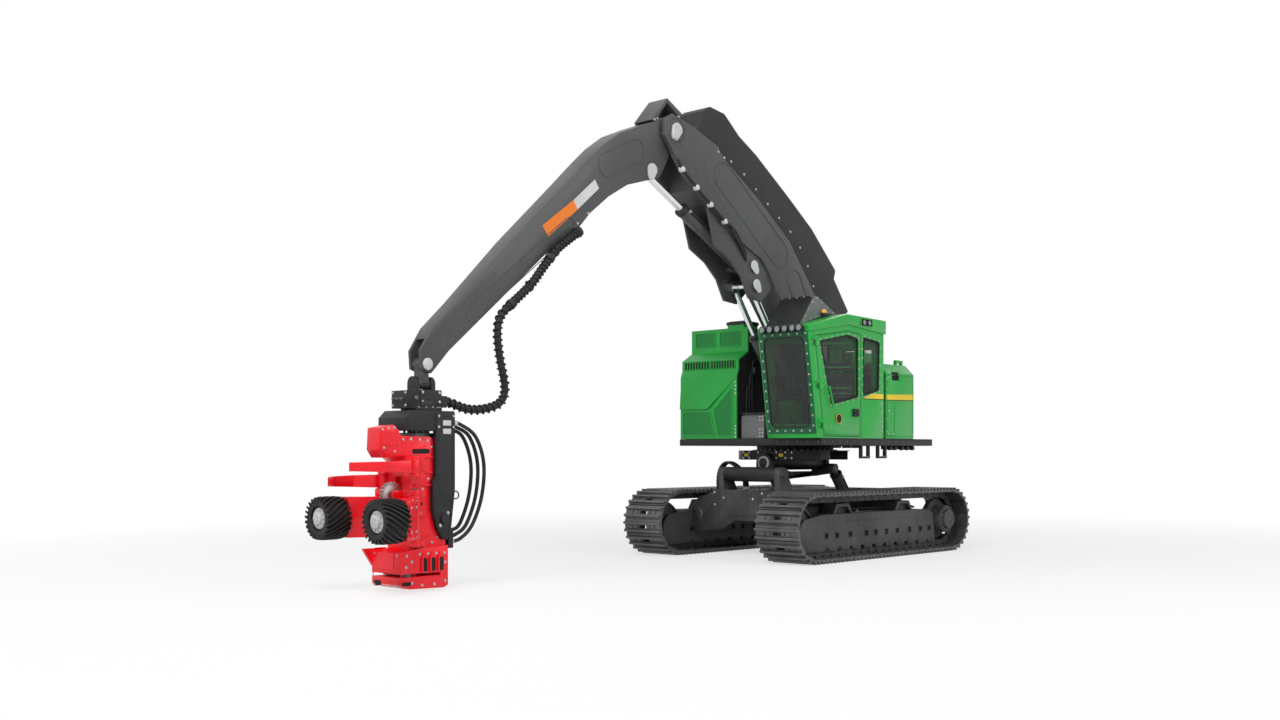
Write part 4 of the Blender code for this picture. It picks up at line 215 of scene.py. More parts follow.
link(tree, blend, "Shader", out, "Surface")
floor_mesh.materials.append(floor_paint)

# %% [markdown]
# Every finish is a small node tree on Object coordinates, so it stays put when a piece turns.
# Paint on a working machine is never one colour: it carries a faint cloud of dust, an
# orange-peel ripple in its gloss, and fine scuffs. Each of these is one noise, and each noise has
# the scale in metres of what it stands for.

# %% Finishes
def new_material(name):
    """An empty material with its Principled shader and the Object coordinates."""
    material = bpy.data.materials.new(name)
    material.use_nodes = True
    nodes = material.node_tree.nodes
    place = nodes.new("ShaderNodeTexCoord")
    return material, material.node_tree, nodes["Principled BSDF"], place


def noise(tree, place, per_metre, detail=4.0, roughness=0.55):
    """Noise whose grains repeat about so many times in a metre."""
    node = tree.nodes.new("ShaderNodeTexNoise")
    put(node, Scale=per_metre, Detail=detail, Roughness=roughness)
    link(tree, place, "Object", node, "Vector")
    return node


def ramp(tree, source, socket, low, high, start=0.35, end=0.65):
    """Two colours with a soft step between them, driven by a source."""
    node = tree.nodes.new("ShaderNodeValToRGB")
    node.color_ramp.elements[0].position = start
    node.color_ramp.elements[1].position = end
    node.color_ramp.elements[0].color = (*low, 1.0) if len(low) == 3 else low
    node.color_ramp.elements[1].color = (*high, 1.0) if len(high) == 3 else high
    link(tree, source, socket, node, "Fac")
    return node


def scaled(colour, by):
    return tuple(min(1.0, c * by) for c in colour)


DUST = (0.3, 0.27, 0.22)


def worn_finish(name, colour, roughness, metallic=0.0, dust=0.05, ripple=0.04, grain=90.0, spread=0.1,
        coat=0.0):
    """Painted or cast metal: colour cloud, dust, gloss variation and a fine bump."""
    material, tree, shader, place = new_material(name)
    cloud = noise(tree, place, 1.7)
    tint = ramp(tree, cloud, "Fac", scaled(colour, 1.0 - spread), scaled(colour, 1.0 + spread * 0.6))
    specks = noise(tree, place, 14.0, 8.0, 0.7)
    amount = ramp(tree, specks, "Fac", (0.0, 0.0, 0.0), (dust, dust, dust), 0.5, 0.72)
    mix = tree.nodes.new("ShaderNodeMix")
    mix.data_type = "RGBA"
    link(tree, amount, "Color", mix, "Factor")
    link(tree, tint, "Color", mix, "A")
    put(mix, B=(*DUST, 1.0))
    link(tree, mix, "Result", shader, "Base Color")
    gloss = ramp(tree, specks, "Fac", (roughness * 0.85,) * 3, (min(1.0, roughness * 1.3),) * 3, 0.3, 0.7)
    link(tree, gloss, "Color", shader, "Roughness")
    fine = noise(tree, place, grain, 3.0)
    bump = tree.nodes.new("ShaderNodeBump")
    put(bump, Strength=ripple, Distance=0.004)
    link(tree, fine, "Fac", bump, "Height")
    link(tree, bump, "Normal", shader, "Normal")
    put(shader, Metallic=metallic, Specular_IOR_Level=0.3, Coat_Weight=coat, Coat_Roughness=0.12)
    return material


GREEN = (0.009, 0.39, 0.048)
RED = (0.93, 0.006, 0.019)
PAINTS = {  # name: colour, roughness and what differs from plain paint
    "body_green": (GREEN, 0.34, dict(coat=0.25)),
    # This darker green paints the shade of the housing's set-in panels; elsewhere it is the darker green of
    # seams, slats and bars.
    "darker_green_and_painted_shade": ((0.003, 0.225, 0.036), 0.42, dict(coat=0.15)),
    "dark_green": ((0.01, 0.105, 0.038), 0.45, dict()),
    "head_red": (RED, 0.36, dict(coat=0.25)),
    "boom_grey": ((0.067, 0.07, 0.069), 0.44, dict(dust=0.1, ripple=0.06, coat=0.1)),
    "plate_grey": ((0.17, 0.175, 0.175), 0.46, dict(dust=0.08)),
    "track_grey": ((0.08, 0.081, 0.082), 0.55,
        dict(metallic=0.45, dust=0.16, ripple=0.16, grain=55.0, spread=0.25)),
    "shoe_steel": ((0.125, 0.126, 0.126), 0.46,
        dict(metallic=0.7, dust=0.22, ripple=0.22, grain=38.0, spread=0.3)),
    "iron_black": ((0.017, 0.018, 0.019), 0.5, dict(dust=0.08, ripple=0.06)),
    "bolt_dark": ((0.13, 0.13, 0.132), 0.42, dict(metallic=0.6, dust=0.08, grain=140.0)),
    "sign_orange": ((0.88, 0.21, 0.012), 0.38, dict(coat=0.2)),
    "bolt_steel": ((0.48, 0.485, 0.49), 0.34, dict(metallic=0.85, dust=0.04, grain=140.0)),
    "cap_grey": ((0.62, 0.625, 0.61), 0.42, dict(dust=0.12)),
    "stripe_yellow": ((0.9, 0.62, 0.014), 0.35, dict(coat=0.2)),
    "hose_black": ((0.016, 0.016, 0.017), 0.58, dict(dust=0.1, ripple=0.1, grain=160.0)),
    # This black is that of seals and other black parts, and it also paints the shade inside slots and
    # openings and in the gap between cab and box.
    "black_and_painted_shade": ((0.012, 0.012, 0.012), 0.7, dict(dust=0.05, ripple=0.12, grain=120.0)),
}
finishes = {
    name: worn_finish(name, colour, roughness, **rest)
    for name, (colour, roughness, rest) in PAINTS.items()
}


def bright_rod():
    """Hard chrome: almost a mirror, with faint rings from the grinding along its length."""
    material, tree, shader, place = new_material("chrome_rod")
    put(shader, Base_Color=(0.78, 0.79, 0.8, 1.0), Metallic=1.0)
    smear = noise(tree, place, 60.0, 2.0)
    gloss = ramp(tree, smear, "Fac", (0.14, 0.14, 0.14), (0.26, 0.26, 0.26))
    link(tree, gloss, "Color", shader, "Roughness")
    return material


def tinted_pane(name, colour, clear):
    """A polycarbonate pane: tinted, glossy, and partly see-through without bending light."""
    material, tree, shader, place = new_material(name)
    put(shader, Base_Color=(*colour, 1.0), Alpha=1.0 - clear)
    film = noise(tree, place, 3.0, 6.0)
    haze = ramp(tree, film, "Fac", (0.04, 0.04, 0.04), (0.11, 0.11, 0.11))
    link(tree, haze, "Color", shader, "Roughness")
    return material


def clear_lens(name, colour, strength):
    """A lamp's moulded cover: glossy, with fine upright flutes in its bump."""
    material, tree, shader, place = new_material(name)
    put(shader, Base_Color=(*colour, 1.0), Roughness=0.12, Emission_Color=(*colour, 1.0),
        Emission_Strength=strength)
    flutes = tree.nodes.new("ShaderNodeTexWave")
    flutes.bands_direction = "Y"
    put(flutes, Scale=38.0)
    link(tree, place, "Object", flutes, "Vector")
    bump = tree.nodes.new("ShaderNodeBump")
    put(bump, Strength=0.35, Distance=0.003)
    link(tree, flutes, "Fac", bump, "Height")
    link(tree, bump, "Normal", shader, "Normal")
    return material


finishes["chrome_rod"] = bright_rod()
finishes["pane_dark"] = tinted_pane("pane_dark", (0.03, 0.035, 0.034), 0.58)
finishes["pane_side"] = tinted_pane("pane_side", (0.07, 0.085, 0.078), 0.8)
finishes["lamp_clear"] = clear_lens("lamp_clear", (0.25, 0.26, 0.27), 0.0)
finishes["lamp_amber"] = clear_lens("lamp_amber", (0.85, 0.4, 0.03), 0.1)
finishes["reflector"] = clear_lens("reflector", (0.6, 0.03, 0.02), 0.0)
print("finishes", len(finishes))

# %% [markdown]
# A CAD solid has knife edges, and real plate and castings don't. Where a node's form is right,
# a copy of its mesh is merged, its flat faces are joined, and a narrow Bevel rounds each edge
# so that it catches the light. The copy stands for the node, which stays behind for contact.

# %% Rounded copies of the solids
def softened(node, finish, width, segments=2, angle=28.0):
    """A copy of a node with rounded edges, which stands for it and rides on its body."""
    source = frame["nodes"][node]
    mesh = source.data.copy()
    mesh.materials.clear()
    thing = bpy.data.objects.new(node + "_skin", mesh)
    scene.collection.objects.link(thing)
    work = bmesh.new()
    work.from_mesh(mesh)
    bmesh.ops.remove_doubles(work, verts=work.verts, dist=0.00002)
    bmesh.ops.dissolve_limit(work, angle_limit=math.radians(0.5), verts=work.verts, edges=work.edges)
    work.to_mesh(mesh)
    work.free()
    mesh.materials.append(finishes[finish])
    mesh.shade_smooth()
    bevel = thing.modifiers.new("edge", "BEVEL")
    bevel.width = width
    bevel.segments = segments
    bevel.limit_method = "ANGLE"
    bevel.angle_limit = math.radians(angle)
    bevel.harden_normals = True
    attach(thing, source["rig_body"])
    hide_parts(node)
    return thing


def repaint(node, finish):
    """A better material on a CAD node whose shape stays."""
    thing = frame["nodes"][node]
    for index in range(max(1, len(thing.material_slots))):
        if index < len(thing.material_slots):
            thing.material_slots[index].material = finishes[finish]
        else:
            thing.data.materials.append(finishes[finish])


SOFT = {  # node: finish, width of the rounding in metres
    "boom": ("boom_grey", 0.01), "stick": ("boom_grey", 0.01), "boom_hose_guard": ("iron_black", 0.03),
    "boom_tower": ("boom_grey", 0.008), "cab_shell": ("body_green", 0.006), "cab_door": ("body_green", 0.005),
    "cab_roof": ("body_green", 0.012), "engine_housing": ("body_green", 0.01),
    "counterweight": ("body_green", 0.022),
    "rear_box": ("body_green", 0.01), "tank_box": ("body_green", 0.01), "well_box": ("plate_grey", 0.008),
    "main_deck": ("iron_black", 0.006), "tilt_table": ("iron_black", 0.008),
    "level_yoke": ("iron_black", 0.01),
    "carbody": ("track_grey", 0.01), "track_frame_left": ("track_grey", 0.006),
    "track_frame_right": ("track_grey", 0.006), "head_chassis": ("head_red", 0.006),
    "tilt_frame": ("iron_black", 0.006), "rotator": ("iron_black", 0.006), "head_link": ("boom_grey", 0.006),
    "roller_arm_left": ("head_red", 0.005), "roller_arm_right": ("head_red", 0.005),
    "knife_left": ("head_red", 0.006), "knife_right": ("head_red", 0.006),
    "lift_barrels": ("boom_grey", 0.004),
    "stick_barrel": ("boom_grey", 0.005), "level_barrel_left": ("boom_grey", 0.004),
    "level_barrel_right": ("boom_grey", 0.004), "head_barrel": ("boom_grey", 0.003),
    "roof_guard": ("iron_black", 0.004), "lamp_row": ("iron_black", 0.004),
    "final_drive_left": ("track_grey", 0.006), "final_drive_right": ("track_grey", 0.006),
}
for node, (finish, width) in SOFT.items():
    softened(node, finish, width)

PLAIN = {"idler_left": "track_grey", "idler_right": "track_grey", "engine_block": "iron_black",
    "lift_rods": "chrome_rod", "stick_rod": "chrome_rod", "level_rod_left": "chrome_rod",
    "level_rod_right": "chrome_rod", "head_rod": "chrome_rod", "door_pane": "pane_side",
    "rear_side_pane": "pane_side", "right_pane": "pane_side", "rear_pane": "pane_side",
    "saw_bar": "bolt_dark", "boom_hoses": "hose_black", "stick_hose": "hose_black",}
for node, finish in PLAIN.items():
    repaint(node, finish)
left = sorted(set(frame["nodes"]) - set(SOFT) - set(PLAIN))
print("softened", len(SOFT), "plain", len(PLAIN), "replaced below", left)

# %% [markdown]
# New pieces are grids of points worked out with numpy. A tube carries a ring of points along a
# path. Each ring stands square to the path, and it is turned as little as possible from the
# one before it, so the tube never twists. One function turns any grid into a closed mesh.

# %% Surfaces
def grid_mesh(points, caps=True):
    """Vertices and faces of rings of points, shape (rings, around, 3), joined into a skin."""
    rings, around = points.shape[:2]
    index = np.arange(rings * around).reshape(rings, around)
    low, high = index[:-1], index[1:]
    quads = np.stack([low, np.roll(low, -1, 1), np.roll(high, -1, 1), high], -1).reshape(-1, 4)
    faces = quads.tolist()
    if caps:
        faces.append(index[0, ::-1].tolist())
        faces.append(index[-1].tolist())
    return points.reshape(-1, 3), faces


def joined(parts):
    """Several (vertices, faces) put into one."""
    verts, faces, start = [], [], 0
    for points, polygons in parts:
        verts.append(points)
        faces += [[i + start for i in polygon] for polygon in polygons]
        start += len(points)
    return np.concatenate(verts), faces


def add_piece(name, parts, finish, body, sharp=32.0):
    """A named mesh from (vertices, faces) in machine places, finished, riding on a body."""
    verts, faces = joined(parts)
    mesh = bpy.data.meshes.new(name)
    mesh.from_pydata((verts + ZERO).tolist(), [], faces)
    work = bmesh.new()
    work.from_mesh(mesh)
    bmesh.ops.recalc_face_normals(work, faces=work.faces)
    work.to_mesh(mesh)
    work.free()
    mesh.materials.append(finishes[finish])
    mesh.shade_smooth()
    mesh.set_sharp_from_angle(angle=math.radians(sharp))
    thing = bpy.data.objects.new(name, mesh)
    scene.collection.objects.link(thing)
    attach(thing, body)
    return thing


def unit(v):
    v = np.asarray(v, float)
    return v / np.linalg.norm(v, axis=-1, keepdims=True)


def frames_along(path):
    """Direction, side and up at each point of a path, turned as little as possible."""
    path = np.asarray(path, float)
    ahead = unit(np.gradient(path, axis=0))
    side = np.empty_like(ahead)
    first = np.array([0.0, 0.0, 1.0]) if abs(ahead[0, 2]) < 0.9 else np.array([0.0, 1.0, 0.0])
    side[0] = unit(np.cross(ahead[0], first))
    for i in range(1, len(path)):
        side[i] = unit(side[i - 1] - ahead[i] * (side[i - 1] @ ahead[i]))
    return ahead, side, np.cross(ahead, side)


def smooth_path(points, count=60):
    """A curve through the points: Catmull-Rom, each span a cubic of its four nearest points."""
    p = np.asarray(points, float)
    p = np.vstack([2 * p[0] - p[1], p, 2 * p[-1] - p[-2]])
    spans = len(p) - 3
    t = np.linspace(0, spans, count)
    k = np.minimum(t.astype(int), spans - 1)
    u = (t - k)[:, None]
    a, b, c, d = p[k], p[k + 1], p[k + 2], p[k + 3]
    return 0.5 * (2 * b + (c - a) * u + (2 * a - 5 * b + 4 * c - d) * u ** 2 + (3 * b - a - 3 * c + d)
        * u ** 3)


def tube(path, radius, around=12, wave=None):
    """A ring of a radius carried along a path; wave gives the radius a factor at each point."""
    ahead, side, up = frames_along(path)
    angle = np.linspace(0, 2 * np.pi, around, endpoint=False)
    r = radius * (np.ones(len(path)) if wave is None else wave)
    ring = side[:, None] * np.cos(angle)[:, None] + up[:, None] * np.sin(angle)[:, None]
    return grid_mesh(np.asarray(path)[:, None] + ring * r[:, None, None])


TIP = 0.0005  # the radius at which a turned profile ends on its axis


def lathe(profile, start, axis, around=32):
    """A profile of (distance along the axis, radius) turned round the axis."""
    axis = unit(axis)
    other = np.array([0.0, 0.0, 1.0]) if abs(axis[2]) < 0.9 else np.array([1.0, 0.0, 0.0])
    side = unit(np.cross(axis, other))
    up = np.cross(axis, side)
    angle = np.linspace(0, 2 * np.pi, around, endpoint=False)
    along, r = np.asarray(profile, float).T
    ring = side * np.cos(angle)[:, None] + up * np.sin(angle)[:, None]
    return grid_mesh(np.asarray(start, float) + along[:, None, None] * axis + ring[None] * r[:, None, None])


def bolt(place, axis, size, height=None):
    """A hexagon head with a chamfered crown and a washer; size is its width over corners."""
    height = size * 0.32 if height is None else height
    r = size / 2
    washer = lathe(((-height, r * 1.35), (height * 0.18, r * 1.35), (height * 0.28, r * 1.28)), place, axis,
        12)
    head = lathe(((0.0, r), (height * 0.9, r), (height * 1.1, r * 0.84)), place, axis, 6)
    return [washer, head]


def bolts(places, axis, size):
    parts = []
    for place in places:
        parts += bolt(place, axis, size)
    return parts


def ring_of(middle, axis, radius, count, turn=0.0):
    """Places at even steps round a circle about an axis."""
    axis = unit(axis)
    other = np.array([0.0, 0.0, 1.0]) if abs(axis[2]) < 0.9 else np.array([1.0, 0.0, 0.0])
    side = unit(np.cross(axis, other))
    up = np.cross(axis, side)
    angle = np.linspace(0, 2 * np.pi, count, endpoint=False) + turn
    return np.asarray(middle, float) + radius * (side * np.cos(angle)[:, None] + up * np.sin(angle)[:, None])


print("helpers ready")

# %% [markdown]
# Two hoses for pressure and return, and thinner ones for control, hang from the stick to the
# rotator in one bundle. It is a free length held at its two ends, so it sags. The route is a
# list of chosen points, the same as the solid's. A plastic spiral is wound round the bundle
# against chafing: a helix, worked out from the route's own side and up directions.

# %% The hose bundle and its spiral guard
BUNDLE_START = (6.483459, 0.299985, 3.405615)
BUNDLE = ((6.505977, 0.299232, 3.386734), (6.565, 0.297, 3.3), (6.595, 0.3, 3.22), (6.605, 0.3, 3.12),
    (6.6, 0.3, 3.0), (6.58, 0.3, 2.86), (6.55, 0.3, 2.72), (6.515, 0.3, 2.59), (6.49, 0.3, 2.48),
    (6.485, 0.3, 2.39), (6.505, 0.298, 2.31), (6.555, 0.29, 2.245), (6.635, 0.28, 2.2), (6.74, 0.265, 2.17),
    (6.87, 0.245, 2.15), (6.99, 0.225, 2.15), (7.09, 0.208, 2.168), (7.18, 0.194, 2.198),
    (7.25, 0.185, 2.222), (7.31, 0.18, 2.235), (7.36, 0.18, 2.235),)
BUNDLE_WIDTH = 0.09
route = np.array((BUNDLE_START,) + BUNDLE)
line = bpy.data.curves.new("hose_bundle_run", "CURVE")
line.dimensions = "3D"
line.bevel_depth = BUNDLE_WIDTH / 2
line.bevel_resolution = 4
line.use_fill_caps = True
spline = line.splines.new("POLY")
spline.points.add(len(route) - 1)
spline.points.foreach_set("co", np.c_[route + ZERO, np.ones(len(route))].ravel())
line.materials.append(finishes["hose_black"])
bundle = bpy.data.objects.new("hose_bundle_run", line)
scene.collection.objects.link(bundle)
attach(bundle, "stick")
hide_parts("hose_bundle")

fine = smooth_path(route, 700)
ahead, side, up = frames_along(fine)
along = np.r_[0.0, np.cumsum(np.linalg.norm(np.diff(fine, axis=0), axis=1))]
TURN_LENGTH = 0.078
angle = along / TURN_LENGTH * 2 * np.pi
GUARD_R = BUNDLE_WIDTH / 2 + 0.01
helix = fine + GUARD_R * (side * np.cos(angle)[:, None] + up * np.sin(angle)[:, None])
spiral = add_piece("spiral_guard", [tube(helix, 0.0105, 6)], "hose_black", "stick")

# %% [markdown]
# Flat detail is drawn as it is on a drawing board: an outline in a wall's own two directions,
# then a place for it in space. wall() gives that place. A plate is its outline pushed out of
# the wall, with a narrow chamfer, and a ring plate has an inner outline too, as a window's
# frame has. Bolts follow an outline at even steps, as they do round a bolted pane.

# %% Plates on walls
def wall(origin, right, up, out):
    """Maps (u, v, h) to a place: u along the wall, v up it and h out of it."""
    origin, right, up, out = (np.asarray(v, float) for v in (origin, right, up, out))
    return lambda p: origin + p[..., :1] * right + p[..., 1:2] * up + p[..., 2:3] * out


PROUD = 0.0003  # how far a wall for small parts stands off its solid


def side_face(y, way=1, proud=PROUD):
    """The wall at a place y that faces left, or right where way is -1; u is x and v is z."""
    return wall((0, y + way * proud, 0), (1, 0, 0), (0, 0, 1), (0, way, 0))


def end_face(x, way=1, proud=PROUD):
    """The wall at a place x that faces ahead, or back where way is -1; u is y and v is z."""
    return wall((x + way * proud, 0, 0), (0, 1, 0), (0, 0, 1), (way, 0, 0))


def inset(outline, by):
    """A closed outline moved inwards by a distance: each corner along its mitre."""
    p = np.asarray(outline, float)
    before, after = unit(p - np.roll(p, 1, 0)), unit(np.roll(p, -1, 0) - p)
    area = np.sum(p[:, 0] * np.roll(p[:, 1], -1) - np.roll(p[:, 0], -1) * p[:, 1])
    one, two = (np.c_[-d[:, 1], d[:, 0]] * np.sign(area) for d in (before, after))
    mitre = (one + two) / (1.0 + np.sum(one * two, axis=1))[:, None]
    return p + by * mitre


def rounded(outline, radius, steps=5):
    """A closed outline with each corner replaced by a curve between points a radius away."""
    p = np.asarray(outline, float)
    start = p - unit(p - np.roll(p, 1, 0)) * radius
    end = p + unit(np.roll(p, -1, 0) - p) * radius
    t = np.linspace(0, 1, steps)[None, :, None]
    curve = start[:, None] * (1 - t) ** 2 + 2 * p[:, None] * t * (1 - t) + end[:, None] * t ** 2
    return curve.reshape(-1, 2)


def oblong(middle, size):
    """The four corners of a rectangle about its middle."""
    signs = np.array([(-1, -1), (1, -1), (1, 1), (-1, 1)])
    return np.asarray(middle, float) + signs * np.asarray(size, float) / 2


def between(low, high):
    """The four corners of a rectangle from its low corner to its high one."""
    return np.array([(low[0], low[1]), (high[0], low[1]), (high[0], high[1]), (low[0], high[1])], float)


def card(low, high, radius):
    """A rectangle with round corners."""
    return rounded(between(low, high), radius)


def level(outline, h):
    return np.c_[np.asarray(outline, float), np.full(len(outline), float(h))]


def plate(outline, place, low, high, chamfer=0.0015):
    """An outline pushed out of a wall from one height to another, its outer edge chamfered."""
    c = min(chamfer, (high - low) / 3)
    rings = np.stack([level(outline, low), level(outline, high - c), level(inset(outline, c), high)])
    return grid_mesh(place(rings))


def ring_plate(outer, inner, place, low, high):
    """A flat ring between two outlines of as many points each."""
    rings = np.stack([level(outer, low), level(outer, high), level(inner, high), level(inner, low)])
    count = len(outer)
    index = np.arange(4 * count).reshape(4, count)
    after, next_row = np.roll(index, -1, 1), np.roll(index, -1, 0)
    quads = np.stack([index, after, np.roll(after, -1, 0), next_row], -1).reshape(-1, 4)
    return place(rings).reshape(-1, 3), quads.tolist()


def steps_along(outline, step, closed=True):
    """Points at about even steps along an outline."""
    p = np.asarray(outline, float)
    p = np.vstack([p, p[:1]]) if closed else p
    run = np.r_[0, np.cumsum(np.linalg.norm(np.diff(p, axis=0), axis=1))]
    count = max(2, int(round(run[-1] / step)))
    at_run = np.linspace(0, run[-1], count, endpoint=not closed)
    return np.stack([np.interp(at_run, run, p[:, axis]) for axis in range(p.shape[1])], -1)


def bolts_on(points, place, size, stand=0.0):
    """Bolt heads on a wall at (u, v) points, standing out of it."""
    base, tip = place(level(points, stand)), place(level(points, stand + 1.0))
    return bolts(base, unit(tip[0] - base[0]), size)


def box(x, y, z, chamfer=0.004):
    """A block from its ranges, with its upper edges chamfered."""
    return plate(between((x[0], y[0]), (x[1], y[1])), wall((0, 0, 0), (1, 0, 0), (0, 1, 0), (0, 0, 1)), z[0],
        z[1], chamfer)


print("plates ready")

# %% [markdown]
# ## Tracks
# Each shoe is a rolled section with two grousers, bolted with four bolts to a pair of forged
# links, and 51 of them close the loop. The section is drawn once along a link's length and
# placed 51 times by distance along the loop: two straight runs and two half circles. A gap in
# the middle of each shoe lets mud out, so there the section falls into two.

# %% Track shoes, links and bolts
IDLER_X, SPROCKET_X, AXLE_Z = 1.75, -2.106, 0.521
LINK_LINE_R = 0.42
LINKS = 51
SHOE_WIDTH = 0.762
GAUGE_HALF = 1.314
PLATE_R = 0.481       # the outer face of a shoe's plate, from an axle
GROUSER = 0.04
MUD_GAP = 0.15
RUN_LENGTH = IDLER_X - SPROCKET_X
LOOP = 2 * RUN_LENGTH + 2 * math.pi * LINK_LINE_R
LINK_PITCH = LOOP / LINKS


def on_loop(along, radius, y):
    """A place on the track: distance along the link line, radius from an axle, and y."""
    along = np.mod(along, LOOP)
    half_turn = math.pi * LINK_LINE_R
    rear = (along - RUN_LENGTH) / LINK_LINE_R + math.pi / 2
    front = (along - 2 * RUN_LENGTH - half_turn) / LINK_LINE_R - math.pi / 2
    top, back, low = along < RUN_LENGTH, along < RUN_LENGTH + half_turn, along < 2 * RUN_LENGTH + half_turn
    x = np.where(top, IDLER_X - along, np.where(back, SPROCKET_X + radius * np.cos(rear), np.where(
        low, SPROCKET_X + along - RUN_LENGTH - half_turn, IDLER_X + radius * np.cos(front))))
    z = np.where(top, radius, np.where(back, radius * np.sin(rear), np.where(low, -radius,
        radius * np.sin(front))))
    return np.stack(np.broadcast_arrays(x, y, AXLE_Z + z), -1)


FRONT_HALF = (  # share of the link's length, height over the plate in grousers
    (-0.07, -0.9), (-0.07, -0.56), (0.03, -0.54), (0.04, -0.08), (0.09, 0.0), (0.125, 0.9), (0.15, 1.0),
    (0.25, 1.0), (0.275, 0.9), (0.31, 0.0),
    (0.34, 0.0), (0.34, -0.5),
)
REAR_HALF = (
    (0.56, -0.5), (0.56, 0.0), (0.6, 0.0), (0.635, 0.9), (0.66, 1.0), (0.75, 1.0), (0.775, 0.9), (0.81, 0.0),
    (0.95, 0.0), (0.98, -0.1), (0.98, -0.5),
)
WHOLE = FRONT_HALF[:-1] + REAR_HALF[1:]
LINK_SIDE = (  # share of the link's length, radius from the link line
    (-0.14, -0.02), (-0.06, -0.052), (0.1, -0.064), (0.9, -0.064), (1.06, -0.052), (1.14, -0.02),
    (1.14, 0.022),
    (1.05, 0.036), (-0.05, 0.036), (-0.14, 0.022),
)


def section(rows, step, y0, y1, zero_r, unit_r):
    """One link's outline, a few rows of (share, height), drawn out from y0 to y1."""
    share, height = np.asarray(rows).T
    ring = [on_loop((step + share) * LINK_PITCH, zero_r + height * unit_r, y) for y in (y0, y1)]
    return grid_mesh(np.stack(ring))


for side, way in (("left", 1), ("right", -1)):
    middle = way * GAUGE_HALF
    shoes, links, heads = [], [], []
    for step in range(LINKS):
        for y0, y1, rows in ((-SHOE_WIDTH / 2, -MUD_GAP / 2, WHOLE), (MUD_GAP / 2, SHOE_WIDTH / 2, WHOLE),
                (-MUD_GAP / 2, MUD_GAP / 2, FRONT_HALF), (-MUD_GAP / 2, MUD_GAP / 2, REAR_HALF)):
            shoes.append(section(rows, step, middle + y0, middle + y1, PLATE_R, GROUSER))
        for y0, y1 in ((-0.112, -0.066), (0.066, 0.112)):
            links.append(section(LINK_SIDE, step, middle + y0, middle + y1, LINK_LINE_R, 1.0))
        pin_at = on_loop(step * LINK_PITCH, LINK_LINE_R - 0.014, middle - 0.113)
        links.append(lathe(((0.0, 0.026), (0.045, 0.026), (0.046, 0.033), (0.18, 0.033), (0.181, 0.026),
            (0.226, 0.026)), pin_at, (0, 1, 0), 10))
        for share in (0.4, 0.5):
            for y in (-0.235, -0.13, 0.13, 0.235):
                foot = on_loop((step + share) * LINK_PITCH, PLATE_R, middle + y)
                top = on_loop((step + share) * LINK_PITCH, PLATE_R + 1.0, middle + y)
                heads.append(lathe(((0.0, 0.015), (0.011, 0.015), (0.013, 0.011)), foot, top - foot, 6))
    shoe_piece = add_piece("shoes_" + side, shoes, "shoe_steel", "undercarriage")
    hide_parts("track_" + side)
    add_piece("links_" + side, links, "track_grey", "undercarriage")
    add_piece("shoe_bolts_" + side, heads, "bolt_dark", "undercarriage")
    print(side, "track:", LINKS, "shoes, pitch", round(LINK_PITCH, 4))

# %% [markdown]
# The rollers, idler and final drive carry the loop. Only their round faces show: rings turned
# about the axle, with the bolts that a fitter reaches. The side plates have small bolts by the
# guards, and lifting holes, whose pockets are cut in the solid.

# %% Rollers, drives and the frames' bolts
for side, way in (("left", 1), ("right", -1)):
    body = "undercarriage"
    out = (0, way, 0)
    face = way * 1.484
    metal, dark = [], []
    hub = (SPROCKET_X, way * 1.5535, AXLE_Z)
    metal.append(lathe(((0.0, 0.196), (0.012, 0.196), (0.016, 0.19), (0.016, 0.17), (0.01, 0.166),
        (0.01, 0.158)), hub, out, 40))
    cap = (SPROCKET_X, way * 1.6135, AXLE_Z)
    metal.append(lathe(((-0.004, 0.158), (0.004, 0.152), (0.006, 0.128), (0.002, 0.124), (0.002, 0.06),
        (0.007, 0.056), (0.007, TIP)), cap, out, 40))
    dark += bolts(ring_of((SPROCKET_X, way * 1.566, AXLE_Z), out, 0.181, 18), out, 0.026)
    dark += bolts(ring_of((SPROCKET_X, way * 1.619, AXLE_Z), out, 0.09, 3, 0.5), out, 0.022)
    for x in np.linspace(1.16, -1.52, 9):
        metal.append(lathe(((0.0, 0.062), (0.03, 0.062), (0.036, 0.054), (0.036, TIP)),
            (x, way * 1.4525, 0.25), out, 18))
    holes = ((0.853, 0.578), (0.833, 0.532), (0.351, 0.531), (0.33, 0.56), (-0.1, 0.525), (-0.12, 0.56),
        (-0.786, 0.553), (-0.808, 0.473), (-0.75, 0.513), (-1.298, 0.534), (1.7, 0.56), (1.7, 0.24),
        (-1.7, 0.56), (-1.76, 0.24))
    side_wall = side_face(face, way, 0.0)
    dark += bolts_on(np.array(holes), side_wall, 0.03)
    add_piece("track_rings_" + side, metal, "track_grey", body)
    add_piece("frame_bolts_" + side, dark, "bolt_dark", body)
    rim = []
    for x in (1.232, 0.961, 0.604, 0.169, -0.089, -0.395, -0.708, -1.074, -1.402, -1.674):
        outer = rounded(oblong((x, 0.385), (0.112, 0.112)), 0.02)
        inner = rounded(oblong((x, 0.385), (0.083, 0.083)), 0.012)
        rim.append(ring_plate(outer, inner, side_wall, -0.001, 0.005))
    rim.append(plate(card((0.94, 0.575), (1.66, 0.6), 0.01), side_wall, -0.001, 0.006))
    rim.append(plate(card((-1.62, 0.575), (0.7, 0.596), 0.01), side_wall, -0.001, 0.006))
    add_piece("frame_trim_" + side, rim, "track_grey", body)
    hoses = [tube(smooth_path(((-1.66, way * 1.2, 0.72), (-1.35, way * 1.22, 0.755),
        (-0.4, way * 1.24, 0.745), (0.2, way * 1.24, 0.75), (0.62, way * 1.22, 0.735)), 40), 0.017, 10)]
    add_piece("drive_hoses_" + side, hoses, "hose_black", body)

# %% [markdown]
# ## Body between the tracks and the levelling table
# The levelling machine stands its table on a yoke and two cylinders. Its pins end in round
# caps, and the beam ahead carries lifting bolts and two round covers. The hoses of the lug on
# the right are held at both ends by the same casting, so they don't bend in use.

